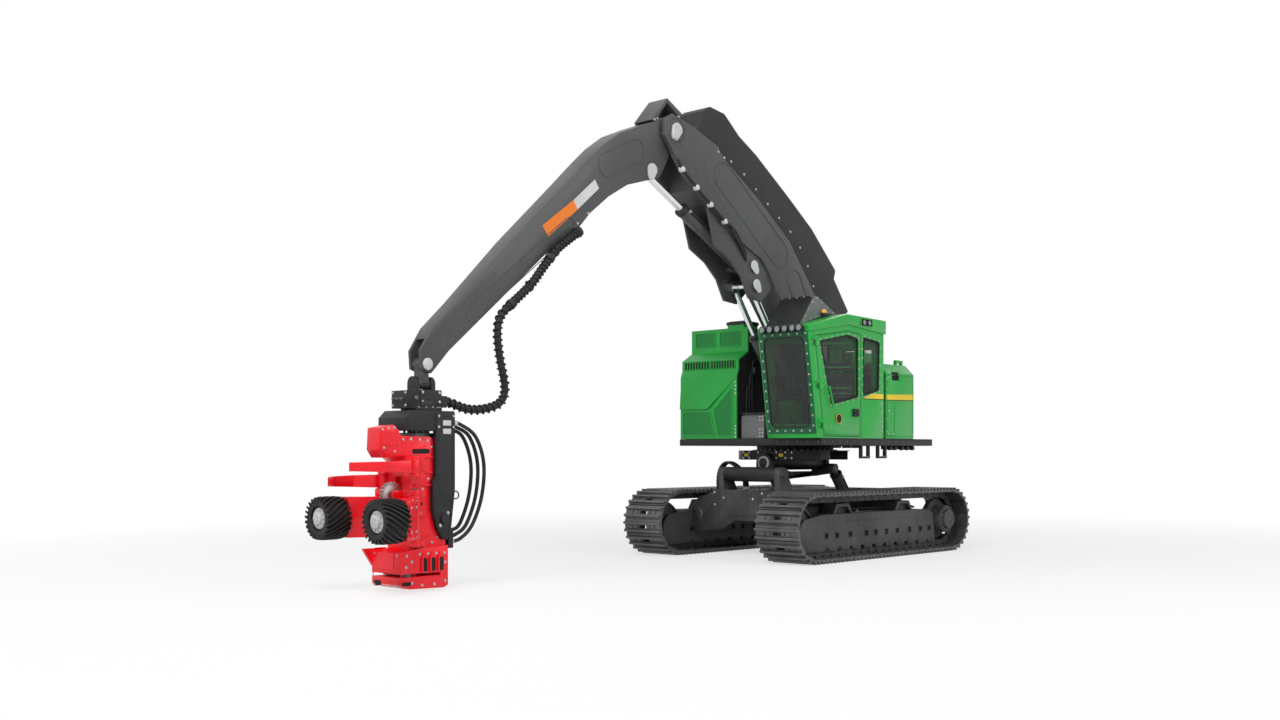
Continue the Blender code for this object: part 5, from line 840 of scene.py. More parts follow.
# %% Carbody, yoke and table
beam = end_face(1.2)
heads = bolts_on(((-0.702, 0.791), (-0.521, 0.899), (-0.702, 0.985), (0.072, 0.894), (0.254, 0.985),
    (0.702, 0.791), (0.521, 0.899), (0.702, 0.985)), beam, 0.03)
add_piece("beam_bolts", heads, "bolt_steel", "undercarriage")
covers = []
for y in (-1.03, 1.03):
    covers.append(lathe(((0.0, 0.072), (0.008, 0.072), (0.012, 0.066), (0.012, 0.048), (0.007, 0.044),
        (0.007, TIP)), (1.2003, y, 0.64), (1, 0, 0), 32))
add_piece("beam_covers", covers, "cap_grey", "undercarriage")
lugs = []
for way in (-1, 1):
    for y, out in ((way * 0.61, way), (way * 0.5, -way)):
        lugs.append(lathe(((0.0, 0.112), (0.006, 0.112), (0.01, 0.106), (0.01, 0.07), (0.018, 0.066),
            (0.018, TIP)), (1.12, y + out * PROUD, 1.28), (0, out, 0), 28))
add_piece("pitch_pin_caps", lugs, "track_grey", "undercarriage")
front = end_face(0.74)
caps, heads, tags = [], [], []
heads += bolts_on([(y, z) for y in (-0.48, -0.36, -0.18, 0.18, 0.36, 0.48) for z in (1.535, 1.625)], front,
    0.026)
ring_bolts = ring_of((0, 0, 1.6555), (0, 0, 1), 0.668, 40)
heads += bolts(ring_bolts, (0, 0, 1), 0.034)
add_piece("table_bolts", heads, "bolt_steel", "tilt_table")
for y in (-0.42, 0.27):
    tags.append(plate(rounded(oblong((y, 1.582), (0.085, 0.05)), 0.006), front, 0.0, 0.002))
add_piece("table_plates", tags, "stripe_yellow", "tilt_table")
caps.append(lathe(((0.0, 0.108), (0.01, 0.104), (0.01, 0.074), (0.022, 0.07), (0.022, TIP)),
    (0.8303, 0.0, 1.46), (1, 0, 0), 28))
add_piece("roll_pin_cap", caps, "cap_grey", "tilt_table")
hoses, clamps = [], []
for shift in (0.0, 0.048, 0.096):
    x = 0.905 - shift
    path = smooth_path(((x, -0.86, 0.945), (x, -0.885, 1.15), (x, -0.855, 1.33), (x, -0.77, 1.435),
        (x, -0.67, 1.462), (x, -0.56, 1.425), (x - 0.01, -0.45, 1.34), (x - 0.02, -0.37, 1.21),
        (x - 0.02, -0.345, 1.035)), 120)
    hoses.append(tube(path, 0.0195, 10, 1.0 + 0.13 * np.sign(np.sin(np.arange(120) * 1.57 + 0.3))))
    clamps += [lathe(((-0.012, 0.027), (0.04, 0.027)), p, (0, 0, 1), 12) for p in (path[0], path[-1])]
add_piece("lug_hoses", hoses, "hose_black", "undercarriage")
add_piece("lug_hose_ends", clamps, "bolt_steel", "undercarriage")
print("undercarriage dressed")

# %% [markdown]
# ## Cylinders
# Every cylinder has the same fittings: a gland nut at its mouth, a welded collar at its base,
# ports, and a steel pipe that brings oil to the rod's side. They ride on the barrel, and none
# reaches past the mouth by more than the nut's own face.

# %% Fittings of the cylinders
CYLINDERS = (  # body, base, eye, share of the length where the mouth is, barrel's radius, side of the pipe
    ("lift_barrels", (0.07, -0.065, 2.2), (1.5, -0.065, 4.18), 0.64, 0.09, (0, -1, 0)),
    ("lift_barrels", (0.07, 0.265, 2.2), (1.5, 0.265, 4.18), 0.64, 0.09, (0, 1, 0)),
    ("stick_barrel", (1.56, 0.1, 4.46), (3.7, 0.1, 5.58), 0.64, 0.098, (0, 1, 0)),
    ("level_barrels", (-0.15, -0.64, 1.37), (-0.93, -0.64, 0.4), 0.77, 0.095, (0, -1, 0)),
    ("level_barrels", (-0.15, 0.64, 1.37), (-0.93, 0.64, 0.4), 0.77, 0.095, (0, 1, 0)),
    ("head_barrel", (7.435, 0.1, 1.81), (7.599, 0.1, 1.133), 0.76, 0.055, (0, 0, 0)),
)
fittings = {}
for body, base, eye, share, r, pipe_side in CYLINDERS:
    base, eye = np.array(base), np.array(eye)
    line = unit(eye - base)
    mouth = base + (eye - base) * share
    nut = lathe(((-0.62 * r, r * 1.001), (-0.6 * r, r * 1.1), (-0.06 * r, r * 1.1), (0.0, r * 1.02),
        (0.004, r * 0.72)), mouth, line, 32)
    collar = lathe(((1.12 * r, r * 1.001), (1.18 * r, r * 1.06), (1.5 * r, r * 1.06), (1.56 * r, r * 1.001)),
        base, line, 32)
    parts = fittings.setdefault(body, ([], [], []))
    parts[0].extend([nut, collar])
    if any(pipe_side):
        out = np.array(pipe_side, float)
        low, high = base + line * 1.9 * r, mouth - line * 0.95 * r
        gap = out * (r + 0.02)
        parts[1].append(tube(np.array([low + out * r * 0.9, low + gap, low + gap + line * 0.05,
            high + gap - line * 0.05, high + gap, high + out * r * 0.9]), 0.011, 10))
        for place in (low, high):
            parts[2].append(lathe(((r * 0.93, 0.026), (r + 0.03, 0.026), (r + 0.034, 0.022)), place, out, 6))
for body, (dark, pipes, ports) in fittings.items():
    add_piece(body + "_glands", dark, "iron_black", body)
    if pipes:
        add_piece(body + "_pipes", pipes, "iron_black", body)
        add_piece(body + "_ports", ports, "bolt_steel", body)
print("cylinders", len(CYLINDERS))

# %% [markdown]
# ## Deck and steps
# The deck is a thick plate with folded edges. Brackets below it carry the tank and the rear
# box, and their bolts show from the side as a row of small shapes.

# %% Deck
parts = []
for x in (-0.56, -0.7, -0.9, -1.06, -1.22):
    parts.append(box((x - 0.045, x + 0.045), (1.3, 1.44), (1.672, 1.7295)))
    parts.append(lathe(((0.0, 0.03), (0.02, 0.034), (0.05, 0.034), (0.07, 0.03)), (x, 1.4, 1.69), (0, 1, 0),
        14))
for x in (0.15, 0.42, 0.7):
    parts.append(box((x - 0.03, x + 0.03), (1.22, 1.36), (1.69, 1.7295)))
add_piece("deck_brackets", parts, "iron_black", "upper_works")
rim = side_face(1.5)
heads = bolts_on([(x, 1.784) for x in np.linspace(-1.6, 1.3, 16)], rim, 0.02)
nose = end_face(1.38)
heads += bolts_on([(y, 1.784) for y in np.linspace(0.68, 1.44, 5)], nose, 0.02)
add_piece("deck_bolts", heads, "bolt_dark", "upper_works")
tread = []
for x in (0.11, -0.36):
    for y in np.linspace(1.446, 1.494, 4):
        tread.append(box((x - 0.085, x + 0.085), (y - 0.004, y + 0.004), (1.56, 1.564), 0.001))
add_piece("step_treads", tread, "bolt_steel", "upper_works")

# %% [markdown]
# ## Cab
# Forestry cabs have thick polycarbonate panes, held by bolts all round a seal. The bolts follow
# each window's outline, and the front pane sits in a dark frame with round corners. Inside the
# side windows run the guard's bars.

# %% Panes, seals and their bolts
CAB_LEFT, CAB_RIGHT, CAB_FRONT, LEAN, DECK_TOP = 1.505, 0.579, 1.476, 0.1528, 1.838


def cab_front(z):
    return CAB_FRONT + LEAN * (z - DECK_TOP)


left_wall = side_face(CAB_LEFT)
right_wall = side_face(CAB_RIGHT, -1)
screen_wall = wall((cab_front(0.0) + PROUD, 0, 0), (0, 1, 0), (LEAN, 0, 1), (1, 0, -LEAN))
rear_wall = end_face(-0.275, -1)
DOOR_WINDOW = ((0.445, 2.47), (1.14, 2.345), (1.425, 3.26), (0.71, 3.39), (0.445, 3.35))
SIDE_WINDOW = ((-0.13, 2.59), (0.29, 2.5), (0.29, 3.38), (-0.15, 3.33))
RIGHT_WINDOW = ((-0.1, 2.5), (1.3, 2.4), (1.45, 3.25), (-0.1, 3.35))
REAR_WINDOW = ((0.76, 2.6), (1.32, 2.6), (1.32, 3.25), (0.76, 3.25))
seals = {"door": [], "upper_works": []}
heads = {"door": [], "upper_works": []}
for body, place, corners_of, step in (("door", left_wall, DOOR_WINDOW, 0.15), ("upper_works", left_wall,
        SIDE_WINDOW, 0.135), ("upper_works", right_wall, RIGHT_WINDOW, 0.17), ("upper_works", rear_wall,
        REAR_WINDOW, 0.15)):
    outer, inner = rounded(inset(corners_of, -0.012), 0.05), rounded(inset(corners_of, 0.014), 0.04)
    seals[body].append(ring_plate(outer, inner, place, -0.02, 0.004))
    heads[body] += bolts_on(steps_along(inset(corners_of, -0.028), step), place, 0.022)
outer = card((0.6, 1.905), (1.484, 3.4), 0.02)
inner = card((0.672, 1.99), (1.412, 3.325), 0.11)
add_piece("screen_frame", [ring_plate(outer, inner, screen_wall, 0.0, 0.012)], "dark_green", "upper_works")
outer, inner = card((0.672, 1.99), (1.412, 3.325), 0.11), card((0.684, 2.002), (1.4, 3.313), 0.1)
seals["upper_works"].append(ring_plate(outer, inner, screen_wall, -0.01, 0.016))
heads["upper_works"] += bolts_on(steps_along(between((0.632, 1.945), (1.452, 3.365)), 0.148), screen_wall,
    0.024, 0.012)
pane = card((0.678, 1.996), (1.406, 3.319), 0.105)
glass = add_piece("front_pane", [plate(pane, screen_wall, 0.001, 0.008)], "pane_dark", "upper_works")
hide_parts("windscreen")
for body in seals:
    add_piece("seals_" + body, seals[body], "black_and_painted_shade", body)
    add_piece("pane_bolts_" + body, heads[body], "bolt_steel", body)

# %% [markdown]
# Bolts also run up both front corner posts, in pairs, and the door has its latch and the
# bolts of its hinges. The round place on the door stays bare, and so does the wide yellow stripe,
# which runs on from the cab to the box behind it with a thin black line under it.

# %% Posts, door furniture and stripes
pairs = []
for z in (2.037, 2.085, 2.631, 2.687, 3.236, 3.278):
    x = cab_front(z) - 0.075
    pairs += [(x, z), (x - 0.062, z - 0.01)]
post_bolts = bolts_on(np.array(pairs), left_wall, 0.024)
post_bolts += bolts_on([(-0.225, z) for z in (1.95, 2.02, 2.1, 2.24, 2.38)], left_wall, 0.022)
post_bolts += bolts_on([(cab_front(z) - 0.06, z) for z in (1.95, 2.25, 2.55, 2.85, 3.15)], right_wall, 0.024)
add_piece("post_bolts", post_bolts, "bolt_steel", "upper_works")
latch = [plate(card((0.446, 2.166), (0.589, 2.284), 0.016), left_wall, 0.0, 0.034, 0.004)]
latch.append(plate(card((0.47, 2.185), (0.52, 2.265), 0.01), left_wall, 0.034, 0.046, 0.004))
latch.append(lathe(((0.0, 0.016), (0.01, 0.016), (0.012, 0.012)), (0.553, CAB_LEFT + 0.034, 2.225),
    (0, 1, 0), 16))
add_piece("door_latch", latch, "iron_black", "door")
disc = [lathe(((0.0, 0.072), (0.013, 0.072), (0.0145, 0.07), (0.0145, TIP)), (0.96, CAB_LEFT, 2.128),
    (0, 1, 0), 40)]
add_piece("door_disc", disc, "black_and_painted_shade", "door")
turn = np.linspace(0, 2 * np.pi, 40, endpoint=False)
circle = np.c_[np.cos(turn), np.sin(turn)]
rim_line = ring_plate((0.96, 2.128) + 0.073 * circle, (0.96, 2.128) + 0.066 * circle, left_wall, 0.01, 0.016)
add_piece("door_disc_rim", [rim_line], "stripe_yellow", "door")
hinge_bolts = []
for z in (2.05, 2.63, 3.26):
    x = cab_front(z) - 0.146
    hinge_bolts += bolts_on(((x - 0.012, z - 0.052), (x - 0.012, z - 0.022)), left_wall, 0.018, 0.04)
add_piece("hinge_bolts", hinge_bolts, "bolt_steel", "door")
seam = ring_plate(inset(((0.36, 1.87), (1.335, 1.87), (1.558, 3.33), (0.7, 3.46), (0.36, 3.42)), 0.01),
    inset(((0.36, 1.87), (1.335, 1.87), (1.558, 3.33), (0.7, 3.46), (0.36, 3.42)), 0.022), left_wall, -0.001,
    0.0015)
add_piece("door_edge", [seam], "darker_green_and_painted_shade", "door")
stripe = plate(((0.29, 2.452), (0.06, 2.531), (-0.272, 2.531), (-0.272, 2.452)), left_wall, 0.0, 0.0012,
    0.0002)
box_wall = side_face(1.5)
stripe_box = plate(((-0.363, 2.452), (-0.363, 2.531), (-1.168, 2.552), (-1.168, 2.462)), box_wall, 0.0,
    0.0012, 0.0002)
add_piece("yellow_stripes", [stripe, stripe_box], "stripe_yellow", "upper_works")
line_cab = plate(((0.305, 2.44), (0.29, 2.452), (-0.272, 2.452), (-0.272, 2.44)), left_wall, 0.0, 0.0012,
    0.0002)
line_box = plate(((-0.363, 2.44), (-0.363, 2.452), (-1.168, 2.462), (-1.168, 2.45)), box_wall, 0.0, 0.0012,
    0.0002)
add_piece("black_lines", [line_cab, line_box], "black_and_painted_shade", "upper_works")

# %% [markdown]
# The roof carries the work lamps: six under its front lip, and two more in a recess of its left
# side. A perforated guard over the front keeps branches off the hatch, and a small amber lamp
# sits on the guard's plain side plate.

# %% Roof, its lamps and its guard
lenses, rims, brackets = [], [], []
LIP_X = cab_front(3.47) + 0.02
for y in (0.743, 0.883, 1.021, 1.158, 1.294, 1.414):
    start = (LIP_X + 0.0903, y, 3.44)
    rims.append(lathe(((-0.05, 0.0505), (-0.048, 0.056), (0.004, 0.056), (0.006, 0.053), (0.006, 0.045),
        (0.001, 0.044)), start, (1, 0, 0), 28))
    lenses.append(lathe(((0.0, 0.0445), (0.003, 0.043), (0.006, 0.03), (0.007, TIP)), start, (1, 0, 0), 28))
    brackets.append(box((LIP_X + 0.012, LIP_X + 0.04), (y - 0.016, y + 0.016), (3.478, 3.5)))
    rims += [lathe(((0.0, 0.008), (0.01, 0.008)), (LIP_X + 0.062, y + 0.05, 3.44 + dz), (0, 1, 0), 8)
        for dz in (-0.02, 0.02)]
side = side_face(1.525)
recess = card((0.085, 3.56), (0.385, 3.665), 0.02)
frame_out = card((0.07, 3.548), (0.4, 3.677), 0.026)
add_piece("roof_recess", [plate(recess, side, 0.0, 0.002)], "black_and_painted_shade", "upper_works")
add_piece("roof_recess_rim", [ring_plate(frame_out, recess, side, 0.0, 0.01)], "body_green", "upper_works")
for x in (0.165, 0.305):
    rims.append(lathe(((0.0, 0.042), (0.01, 0.042), (0.012, 0.038)), (x, 1.5273, 3.612), (0, 1, 0), 24))
    lenses.append(lathe(((0.0121, 0.036), (0.016, 0.028), (0.018, TIP)), (x, 1.5273, 3.612), (0, 1, 0), 24))
add_piece("lamp_rims", rims + brackets, "iron_black", "upper_works")
add_piece("lamp_lenses", lenses, "lamp_clear", "upper_works")
roof_top = wall((0, 0, 3.6975), (1, 0, 0.0283), (0, 1, 0), (0, 0, 1))
hatch = card((-0.18, 0.76), (0.42, 1.34), 0.05)
add_piece("roof_hatch", [plate(hatch, roof_top, -0.012, 0.022, 0.01)], "body_green", "upper_works")
heads = bolts_on(steps_along(between((-0.27, 0.63), (0.48, 1.47)), 0.16), roof_top, 0.022, -0.006)
PEAK, NOSE = (1.16, 3.98), (1.56, 3.4875)
slope = np.array((NOSE[0] - PEAK[0], 0, NOSE[1] - PEAK[1]))
slope_out = unit(np.array((-slope[2], 0, slope[0])))
guard_face = wall((PEAK[0], 0, PEAK[1]) + slope_out * 0.0005, (0, 1, 0), unit(slope), slope_out)
SLOPE_LENGTH = float(np.linalg.norm(slope))
bars = []
u0, u1, v0, v1 = 0.615, 1.185, 0.015, SLOPE_LENGTH - 0.015
for lean in (-1, 1):
    for start in np.arange(-SLOPE_LENGTH, u1 - u0 + SLOPE_LENGTH, 0.036):
        a = np.array((u0 + start, v0 if lean > 0 else v1))
        b = a + np.array((1.0, lean)) * (v1 - v0)
        low = max(0.0, (u0 - a[0]) / (b[0] - a[0]))
        high = min(1.0, (u1 - a[0]) / (b[0] - a[0]))
        if high - low > 0.03:
            ends = level(np.array((a + (b - a) * low, a + (b - a) * high)), 0.004)
            bars.append(tube(guard_face(ends), 0.0042, 5))
add_piece("roof_mesh", bars, "iron_black", "upper_works")
cheek = side_face(1.2)
cheek_plate = ((0.56, 3.728), (0.8, 3.728), (1.52, 3.52), (1.158, 3.972), (1.062, 3.972))
add_piece("guard_cheek", [plate(cheek_plate, cheek, 0.0, 0.004)], "plate_grey", "upper_works")
heads += bolts_on(steps_along(inset(cheek_plate, 0.028), 0.15), cheek, 0.018, 0.004)
heads += bolts_on([(u, v) for u in np.linspace(0.63, 1.17, 5) for v in (0.022, SLOPE_LENGTH - 0.022)],
    guard_face, 0.02, 0.006)
add_piece("roof_bolts", heads, "bolt_steel", "upper_works")
lamp_at = (0.96, 1.245, 3.725)
add_piece("amber_lamp", [lathe(((0.0, 0.04), (0.035, 0.04), (0.05, 0.032), (0.058, 0.018), (0.06, TIP)),
    lamp_at, (0, 0, 1), 24)], "lamp_amber", "upper_works")
add_piece("amber_lamp_foot", [lathe(((-0.03, 0.046), (-0.002, 0.046), (0.002, 0.042)), lamp_at, (0, 0, 1),
    24)], "iron_black", "upper_works")

# %% [markdown]
# Through the panes show the operator's place: a seat, armrests with their joysticks, pedals, a
# screen on a post and the guard bars behind the door's window.

# %% Inside the cab
inside = []
for (x0, z0), (x1, z1) in (((0.5, 3.29), (1.37, 3.225)), ((0.5, 2.925), (1.24, 2.885)),
        ((0.5, 2.605), (1.06, 2.59)), ((0.5, 2.52), (1.0, 2.505))):
    inside.append(tube(np.array(((x0, 1.432, z0), (x1, 1.432, z1))), 0.011, 10))
add_piece("door_bars", inside, "darker_green_and_painted_shade", "door")
MIDDLE = (CAB_LEFT + CAB_RIGHT) / 2
dark, grey = [], []
for way in (-1, 1):
    y = MIDDLE + way * 0.33
    dark.append(box((0.42, 0.86), (y - 0.065, y + 0.065), (2.4, 2.47), 0.015))
    dark.append(box((0.54, 0.7), (y - 0.045, y + 0.045), (1.905, 2.4), 0.01))
    stick_path = smooth_path(((0.79, y, 2.47), (0.795, y, 2.53), (0.805, y, 2.58), (0.812, y, 2.64)), 14)
    dark.append(tube(stick_path, 0.022, 12, np.array([1.5, 1.3, 1.0, 0.7, 0.6, 0.6, 0.7, 1.1, 1.4, 1.5, 1.5,
        1.45, 1.2, 0.6])))
    grey.append(lathe(((0.0, 0.026), (0.008, 0.026), (0.012, 0.02)), (0.812, y, 2.64), (0.1, 0, 1), 16))
    for step in range(4):
        grey.append(lathe(((0.0, 0.01), (0.008, 0.01), (0.01, 0.008)), (0.47 + 0.055 * step, y, 2.47),
            (0, 0, 1), 12))
for y in (MIDDLE - 0.13, MIDDLE + 0.13):
    dark.append(plate(rounded(oblong((0, 0), (0.11, 0.24)), 0.02), wall((1.235, y, 1.985), (0, 1, 0),
        (0.5, 0, 0.86), (-0.86, 0, 0.5)), 0.0, 0.018))
    dark.append(tube(np.array(((1.235, y, 1.9), (1.25, y, 1.99))), 0.014, 8))
dark.append(tube(smooth_path(((1.33, 0.7, 1.905), (1.4, 0.7, 2.3), (1.4, 0.705, 2.62)), 20), 0.014, 8))
screen = wall((1.385, 0.735, 2.7), (0.28, 0.96, 0), (0.15, 0, 0.99), (-0.95, 0.28, 0.15))
dark.append(plate(rounded(oblong((0, 0), (0.23, 0.17)), 0.02), screen, -0.02, 0.02, 0.006))
grey.append(plate(rounded(oblong((0, 0), (0.2, 0.135)), 0.01), screen, 0.0201, 0.0215))
dark.append(box((-0.205, -0.1), (0.7, 1.4), (1.905, 2.5), 0.02))
dark.append(box((-0.2, 1.3), (0.645, 1.438), (1.899, 1.904), 0.002))
add_piece("cab_fittings", dark, "black_and_painted_shade", "upper_works")
add_piece("cab_switches", grey, "bolt_dark", "upper_works")

# %% [markdown]
# ## Engine housing
# The housing's front has three faces: a box with two set-in panels on top, a ledge with slots
# for the cooling air, and below them a face that leans out a little and catches the light over
# a darker set-in panel. The set-in panels' darker green is painted shade of their recesses, and
# the slots' black plates are painted shade inside them. Its side towards the boom is dark, where
# the hoses pass.

# %% Housing
top_box = end_face(0.82)
panels, frames_of = [], []
for y0, y1 in ((-1.408, -1.008), (-0.894, -0.486)):
    hole, outer = card((y0, 3.35), (y1, 3.57), 0.022), card((y0 - 0.014, 3.336), (y1 + 0.014, 3.584), 0.03)
    panels.append(plate(hole, top_box, 0.0, 0.0015, TIP))
    frames_of.append(ring_plate(outer, hole, top_box, 0.0, 0.009))
slots = end_face(1.06)
grille, ribs = [], []
for y0, y1 in ((-1.449, -0.921), (-0.892, -0.395)):
    # The black plates between the ribs are painted shade inside the air slots.
    grille.append(plate(between((y0, 2.972), (y1, 3.088)), slots, -0.006, 0.0015, TIP))
    for y in np.linspace(y0, y1, 10):
        ribs.append(plate(between((y - 0.009, 2.966), (y + 0.009, 3.094)), slots, 0.0, 0.012, 0.003))
    for z in (2.966, 3.088):
        ribs.append(plate(between((y0 - 0.009, z), (y1 + 0.009, z + 0.008)), slots, 0.0, 0.013, 0.002))
low = end_face(1.103)
lower = ((-1.44, 1.905), (-0.8, 1.905), (-0.88, 2.27), (-1.44, 2.27))
panels.append(plate(rounded(lower, 0.02), low, 0.0, 0.0015, TIP))
frames_of.append(ring_plate(rounded(inset(lower, -0.022), 0.034), rounded(lower, 0.02), low, 0.0, 0.01))
corner = ((-0.7, 1.89), (-0.42, 1.89), (-0.42, 2.64), (-0.79, 2.3))
panels.append(plate(rounded(corner, 0.02), low, 0.0, 0.0015, TIP))
frames_of.append(ring_plate(rounded(inset(corner, -0.018), 0.03), rounded(corner, 0.02), low, 0.0, 0.008))
lean_out = np.array(((-1.492, 2.325), (-0.905, 2.325), (-0.362, 2.8), (-1.492, 2.832)))
raised = np.array((0.04, 0.04, 0.004, 0.004))
rings = np.stack([np.c_[lean_out, np.zeros(4)], np.c_[lean_out, raised]])
frames_of.append(grid_mesh(low(rings)))
# The set-in panels' darker green is painted shade of their recesses.
add_piece("housing_panels", panels, "darker_green_and_painted_shade", "upper_works")
add_piece("housing_frames", frames_of + ribs, "body_green", "upper_works")
add_piece("housing_slots", grille, "black_and_painted_shade", "upper_works")
heads = bolts_on([(-0.352, z) for z in (1.87, 1.93, 1.985, 2.04, 2.56, 2.62, 2.68, 2.74)], low, 0.024)
well = side_face(-0.329)
dark_wall = plate(((-1.18, 1.86), (1.085, 1.86), (1.085, 2.83), (1.04, 2.93), (1.04, 3.09), (0.8, 3.23),
    (0.8, 3.6), (-1.18, 3.54)), well, 0.0, 0.006)
add_piece("well_wall", [dark_wall], "iron_black", "upper_works")
add_piece("well_tag", [plate(card((0.64, 2.88), (0.7, 2.99), 0.006), well, 0.006, 0.008)], "cap_grey",
    "upper_works")
pipes = []
for x, z0, z1 in ((0.76, 2.2, 3.05), (0.83, 2.2, 2.85), (0.9, 2.2, 2.65)):
    pipes.append(tube(smooth_path(((x, -0.285, z0), (x + 0.01, -0.28, (z0 + z1) / 2), (x - 0.02, -0.284, z1),
        (x - 0.16, -0.286, z1 + 0.06)), 30), 0.016, 10))
add_piece("well_hoses", pipes, "hose_black", "upper_works")
well_front = end_face(1.045)
heads += bolts_on([(y, z) for y in (0.09, 0.145) for z in (1.875, 1.93, 1.985, 2.13, 2.185)], well_front,
    0.02)
add_piece("housing_bolts", heads, "bolt_steel", "upper_works")
add_piece("well_lid", [box((0.494, 1.052), (-0.286, 0.176), (2.2403, 2.2445), 0.001)], "plate_grey",
    "upper_works")
cap = [box((0.43, 0.812), (-0.775, -0.405), (3.68, 3.732), 0.012), box((0.46, 0.78), (-0.74, -0.44),
    (3.732, 3.742), 0.004)]
add_piece("air_cap", cap, "iron_black", "upper_works")
side_right = side_face(-1.51, -1)
doors, louvres, furniture = [], [], []
for x0, x1 in ((-1.15, -0.43), (-0.4, 0.32), (0.35, 1.05)):
    outline_of = card((x0, 1.9), (x1, 2.8), 0.03)
    doors.append(ring_plate(outline_of, rounded(inset(between((x0, 1.9), (x1, 2.8)), 0.012), 0.024),
        side_right, 0.0, 0.006))
    for z in np.linspace(2.42, 2.72, 9):
        louvres.append(plate(card((x0 + 0.1, z), (x1 - 0.1, z + 0.016), 0.006), side_right, 0.0, 0.01,
            0.004))
    furniture.append(plate(rounded(oblong((x1 - 0.07, 2.2), (0.06, 0.13)), 0.015), side_right, 0.0, 0.014,
        0.004))
    for z in (2.02, 2.66):
        furniture.append(lathe(((-0.045, 0.012), (0.045, 0.012)), (x0 - 0.004, -1.518, z), (0, 0, 1), 10))
for x0, x1 in ((-1.15, -0.18), (-0.15, 0.78)):
    outline_of = card((x0, 2.86), (x1, 3.5), 0.03)
    doors.append(ring_plate(outline_of, rounded(inset(between((x0, 2.86), (x1, 3.5)), 0.012), 0.024),
        side_right, 0.0, 0.006))
    for z in np.linspace(2.95, 3.4, 12):
        louvres.append(plate(card((x0 + 0.1, z), (x1 - 0.1, z + 0.018), 0.006), side_right, 0.0, 0.012,
            0.004))
add_piece("side_doors", doors, "body_green", "upper_works")
add_piece("side_louvres", louvres, "darker_green_and_painted_shade", "upper_works")
add_piece("side_furniture", furniture, "iron_black", "upper_works")

# %% [markdown]
# ## Tail
# The counterweight is one casting, bolted from below, with lifting eyes on top and lamps let
# into its round back. Above it the housing's rear has a grille for the cooler, whose black
# backing is painted shade. The box behind the cab has a set-in handle, hinges and a seam, and
# a black block in the gap that parts it from the cab is painted shade.

# %% Counterweight and rear box
parts, dark, lamps = [], [], []
TAIL_WALL = 2.2905  # from the swing axis to the middle of each flat of the tail
for degrees_of in (-5.85, 4.72, 15.28):
    angle = math.radians(180.0 + degrees_of)
    out = np.array((math.cos(angle), math.sin(angle), 0.0))
    across = np.array((-out[1], out[0], 0.0))
    back_wall = wall(out * TAIL_WALL, across, (0, 0, 1), out)
    dark.append(plate(rounded(oblong((0, 2.45), (0.02, 0.7)), 0.008), back_wall, 0.0, 0.012))
for degrees_of in (-16.42, 36.42):
    angle = math.radians(180.0 + degrees_of)
    out = np.array((math.cos(angle), math.sin(angle), 0.0))
    back_wall = wall(out * TAIL_WALL, np.array((-out[1], out[0], 0.0)), (0, 0, 1), out)
    dark.append(plate(rounded(oblong((0, 2.1), (0.22, 0.12)), 0.02), back_wall, 0.0, 0.022, 0.005))
    lamps.append(plate(rounded(oblong((0, 2.1), (0.18, 0.08)), 0.014), back_wall, 0.0221, 0.028, 0.004))
add_piece("tail_lamps", lamps, "reflector", "upper_works")
for y in (-1.1, 0.45):
    parts.append(lathe(((0.0, 0.06), (0.012, 0.058), (0.014, 0.05)), (-1.6, y, 2.9003), (0, 0, 1), 28))
    parts.append(tube(smooth_path(((-1.67, y, 2.9), (-1.67, y, 2.96), (-1.6, y, 2.995), (-1.53, y, 2.96),
        (-1.53, y, 2.9)), 24), 0.016, 10))
add_piece("lifting_eyes", parts, "body_green", "upper_works")
rear_face = end_face(-1.2, -1)
cooler = between((-1.43, 2.96), (-0.41, 3.5))
# A black plate behind the slats: painted shade behind the cooler's grille.
dark.append(plate(rounded(cooler, 0.02), rear_face, 0.0, 0.002))
slats = [plate(between((-1.43, z), (-0.41, z + 0.016)), rear_face, 0.002, 0.02, 0.005)
    for z in np.linspace(2.985, 3.46, 14)]
slats.append(ring_plate(rounded(inset(cooler, -0.02), 0.03), rounded(inset(cooler, 0.004), 0.018), rear_face,
    0.0, 0.024))
add_piece("cooler_grille", slats, "darker_green_and_painted_shade", "upper_works")
# A black block fills the gap between the cab and the box: painted shade in the gap.
gap_wall = side_face(1.47, proud=0.0)
dark.append(plate(between((-0.3597, 1.85), (-0.2756, 2.86)), gap_wall, -0.6, 0.0, 0.001))
dark.append(plate(card((-0.746, 2.764), (-0.534, 2.896), 0.02), side_face(1.4702, proud=0.0), 0.0, 0.002))
dark.append(tube(smooth_path(((-0.715, 1.474, 2.8), (-0.715, 1.495, 2.835), (-0.565, 1.495, 2.835),
    (-0.565, 1.474, 2.8)), 20), 0.01, 8))
dark.append(lathe(((0.0, 0.055), (0.03, 0.055), (0.036, 0.05), (0.036, TIP)), (-0.62, 1.02, 3.0303),
    (0, 0, 1), 24))
add_piece("tail_dark", dark, "black_and_painted_shade", "upper_works")
edges = [ring_plate(card((-0.6, 1.88), (-0.38, 2.42), 0.01), card((-0.594, 1.886), (-0.386, 2.414), 0.01),
    box_wall, 0.0, 0.003)]
edges.append(ring_plate(card((-1.15, 1.87), (-0.375, 2.845), 0.02), card((-1.142, 1.878), (-0.383, 2.837),
    0.018), box_wall, 0.0, 0.003))
add_piece("rear_box_seams", edges, "darker_green_and_painted_shade", "upper_works")
heads = bolts_on(((-0.555, 2.229), (-0.572, 1.913), (-0.439, 2.274), (-0.43, 1.913), (-1.12, 2.805),
    (-0.41, 2.805), (-1.12, 1.905)), box_wall, 0.02)
for z in (1.95, 2.15, 2.62, 2.78):
    heads += bolts_on(((-0.395, z),), box_wall, 0.018)
add_piece("rear_box_bolts", heads, "bolt_steel", "upper_works")
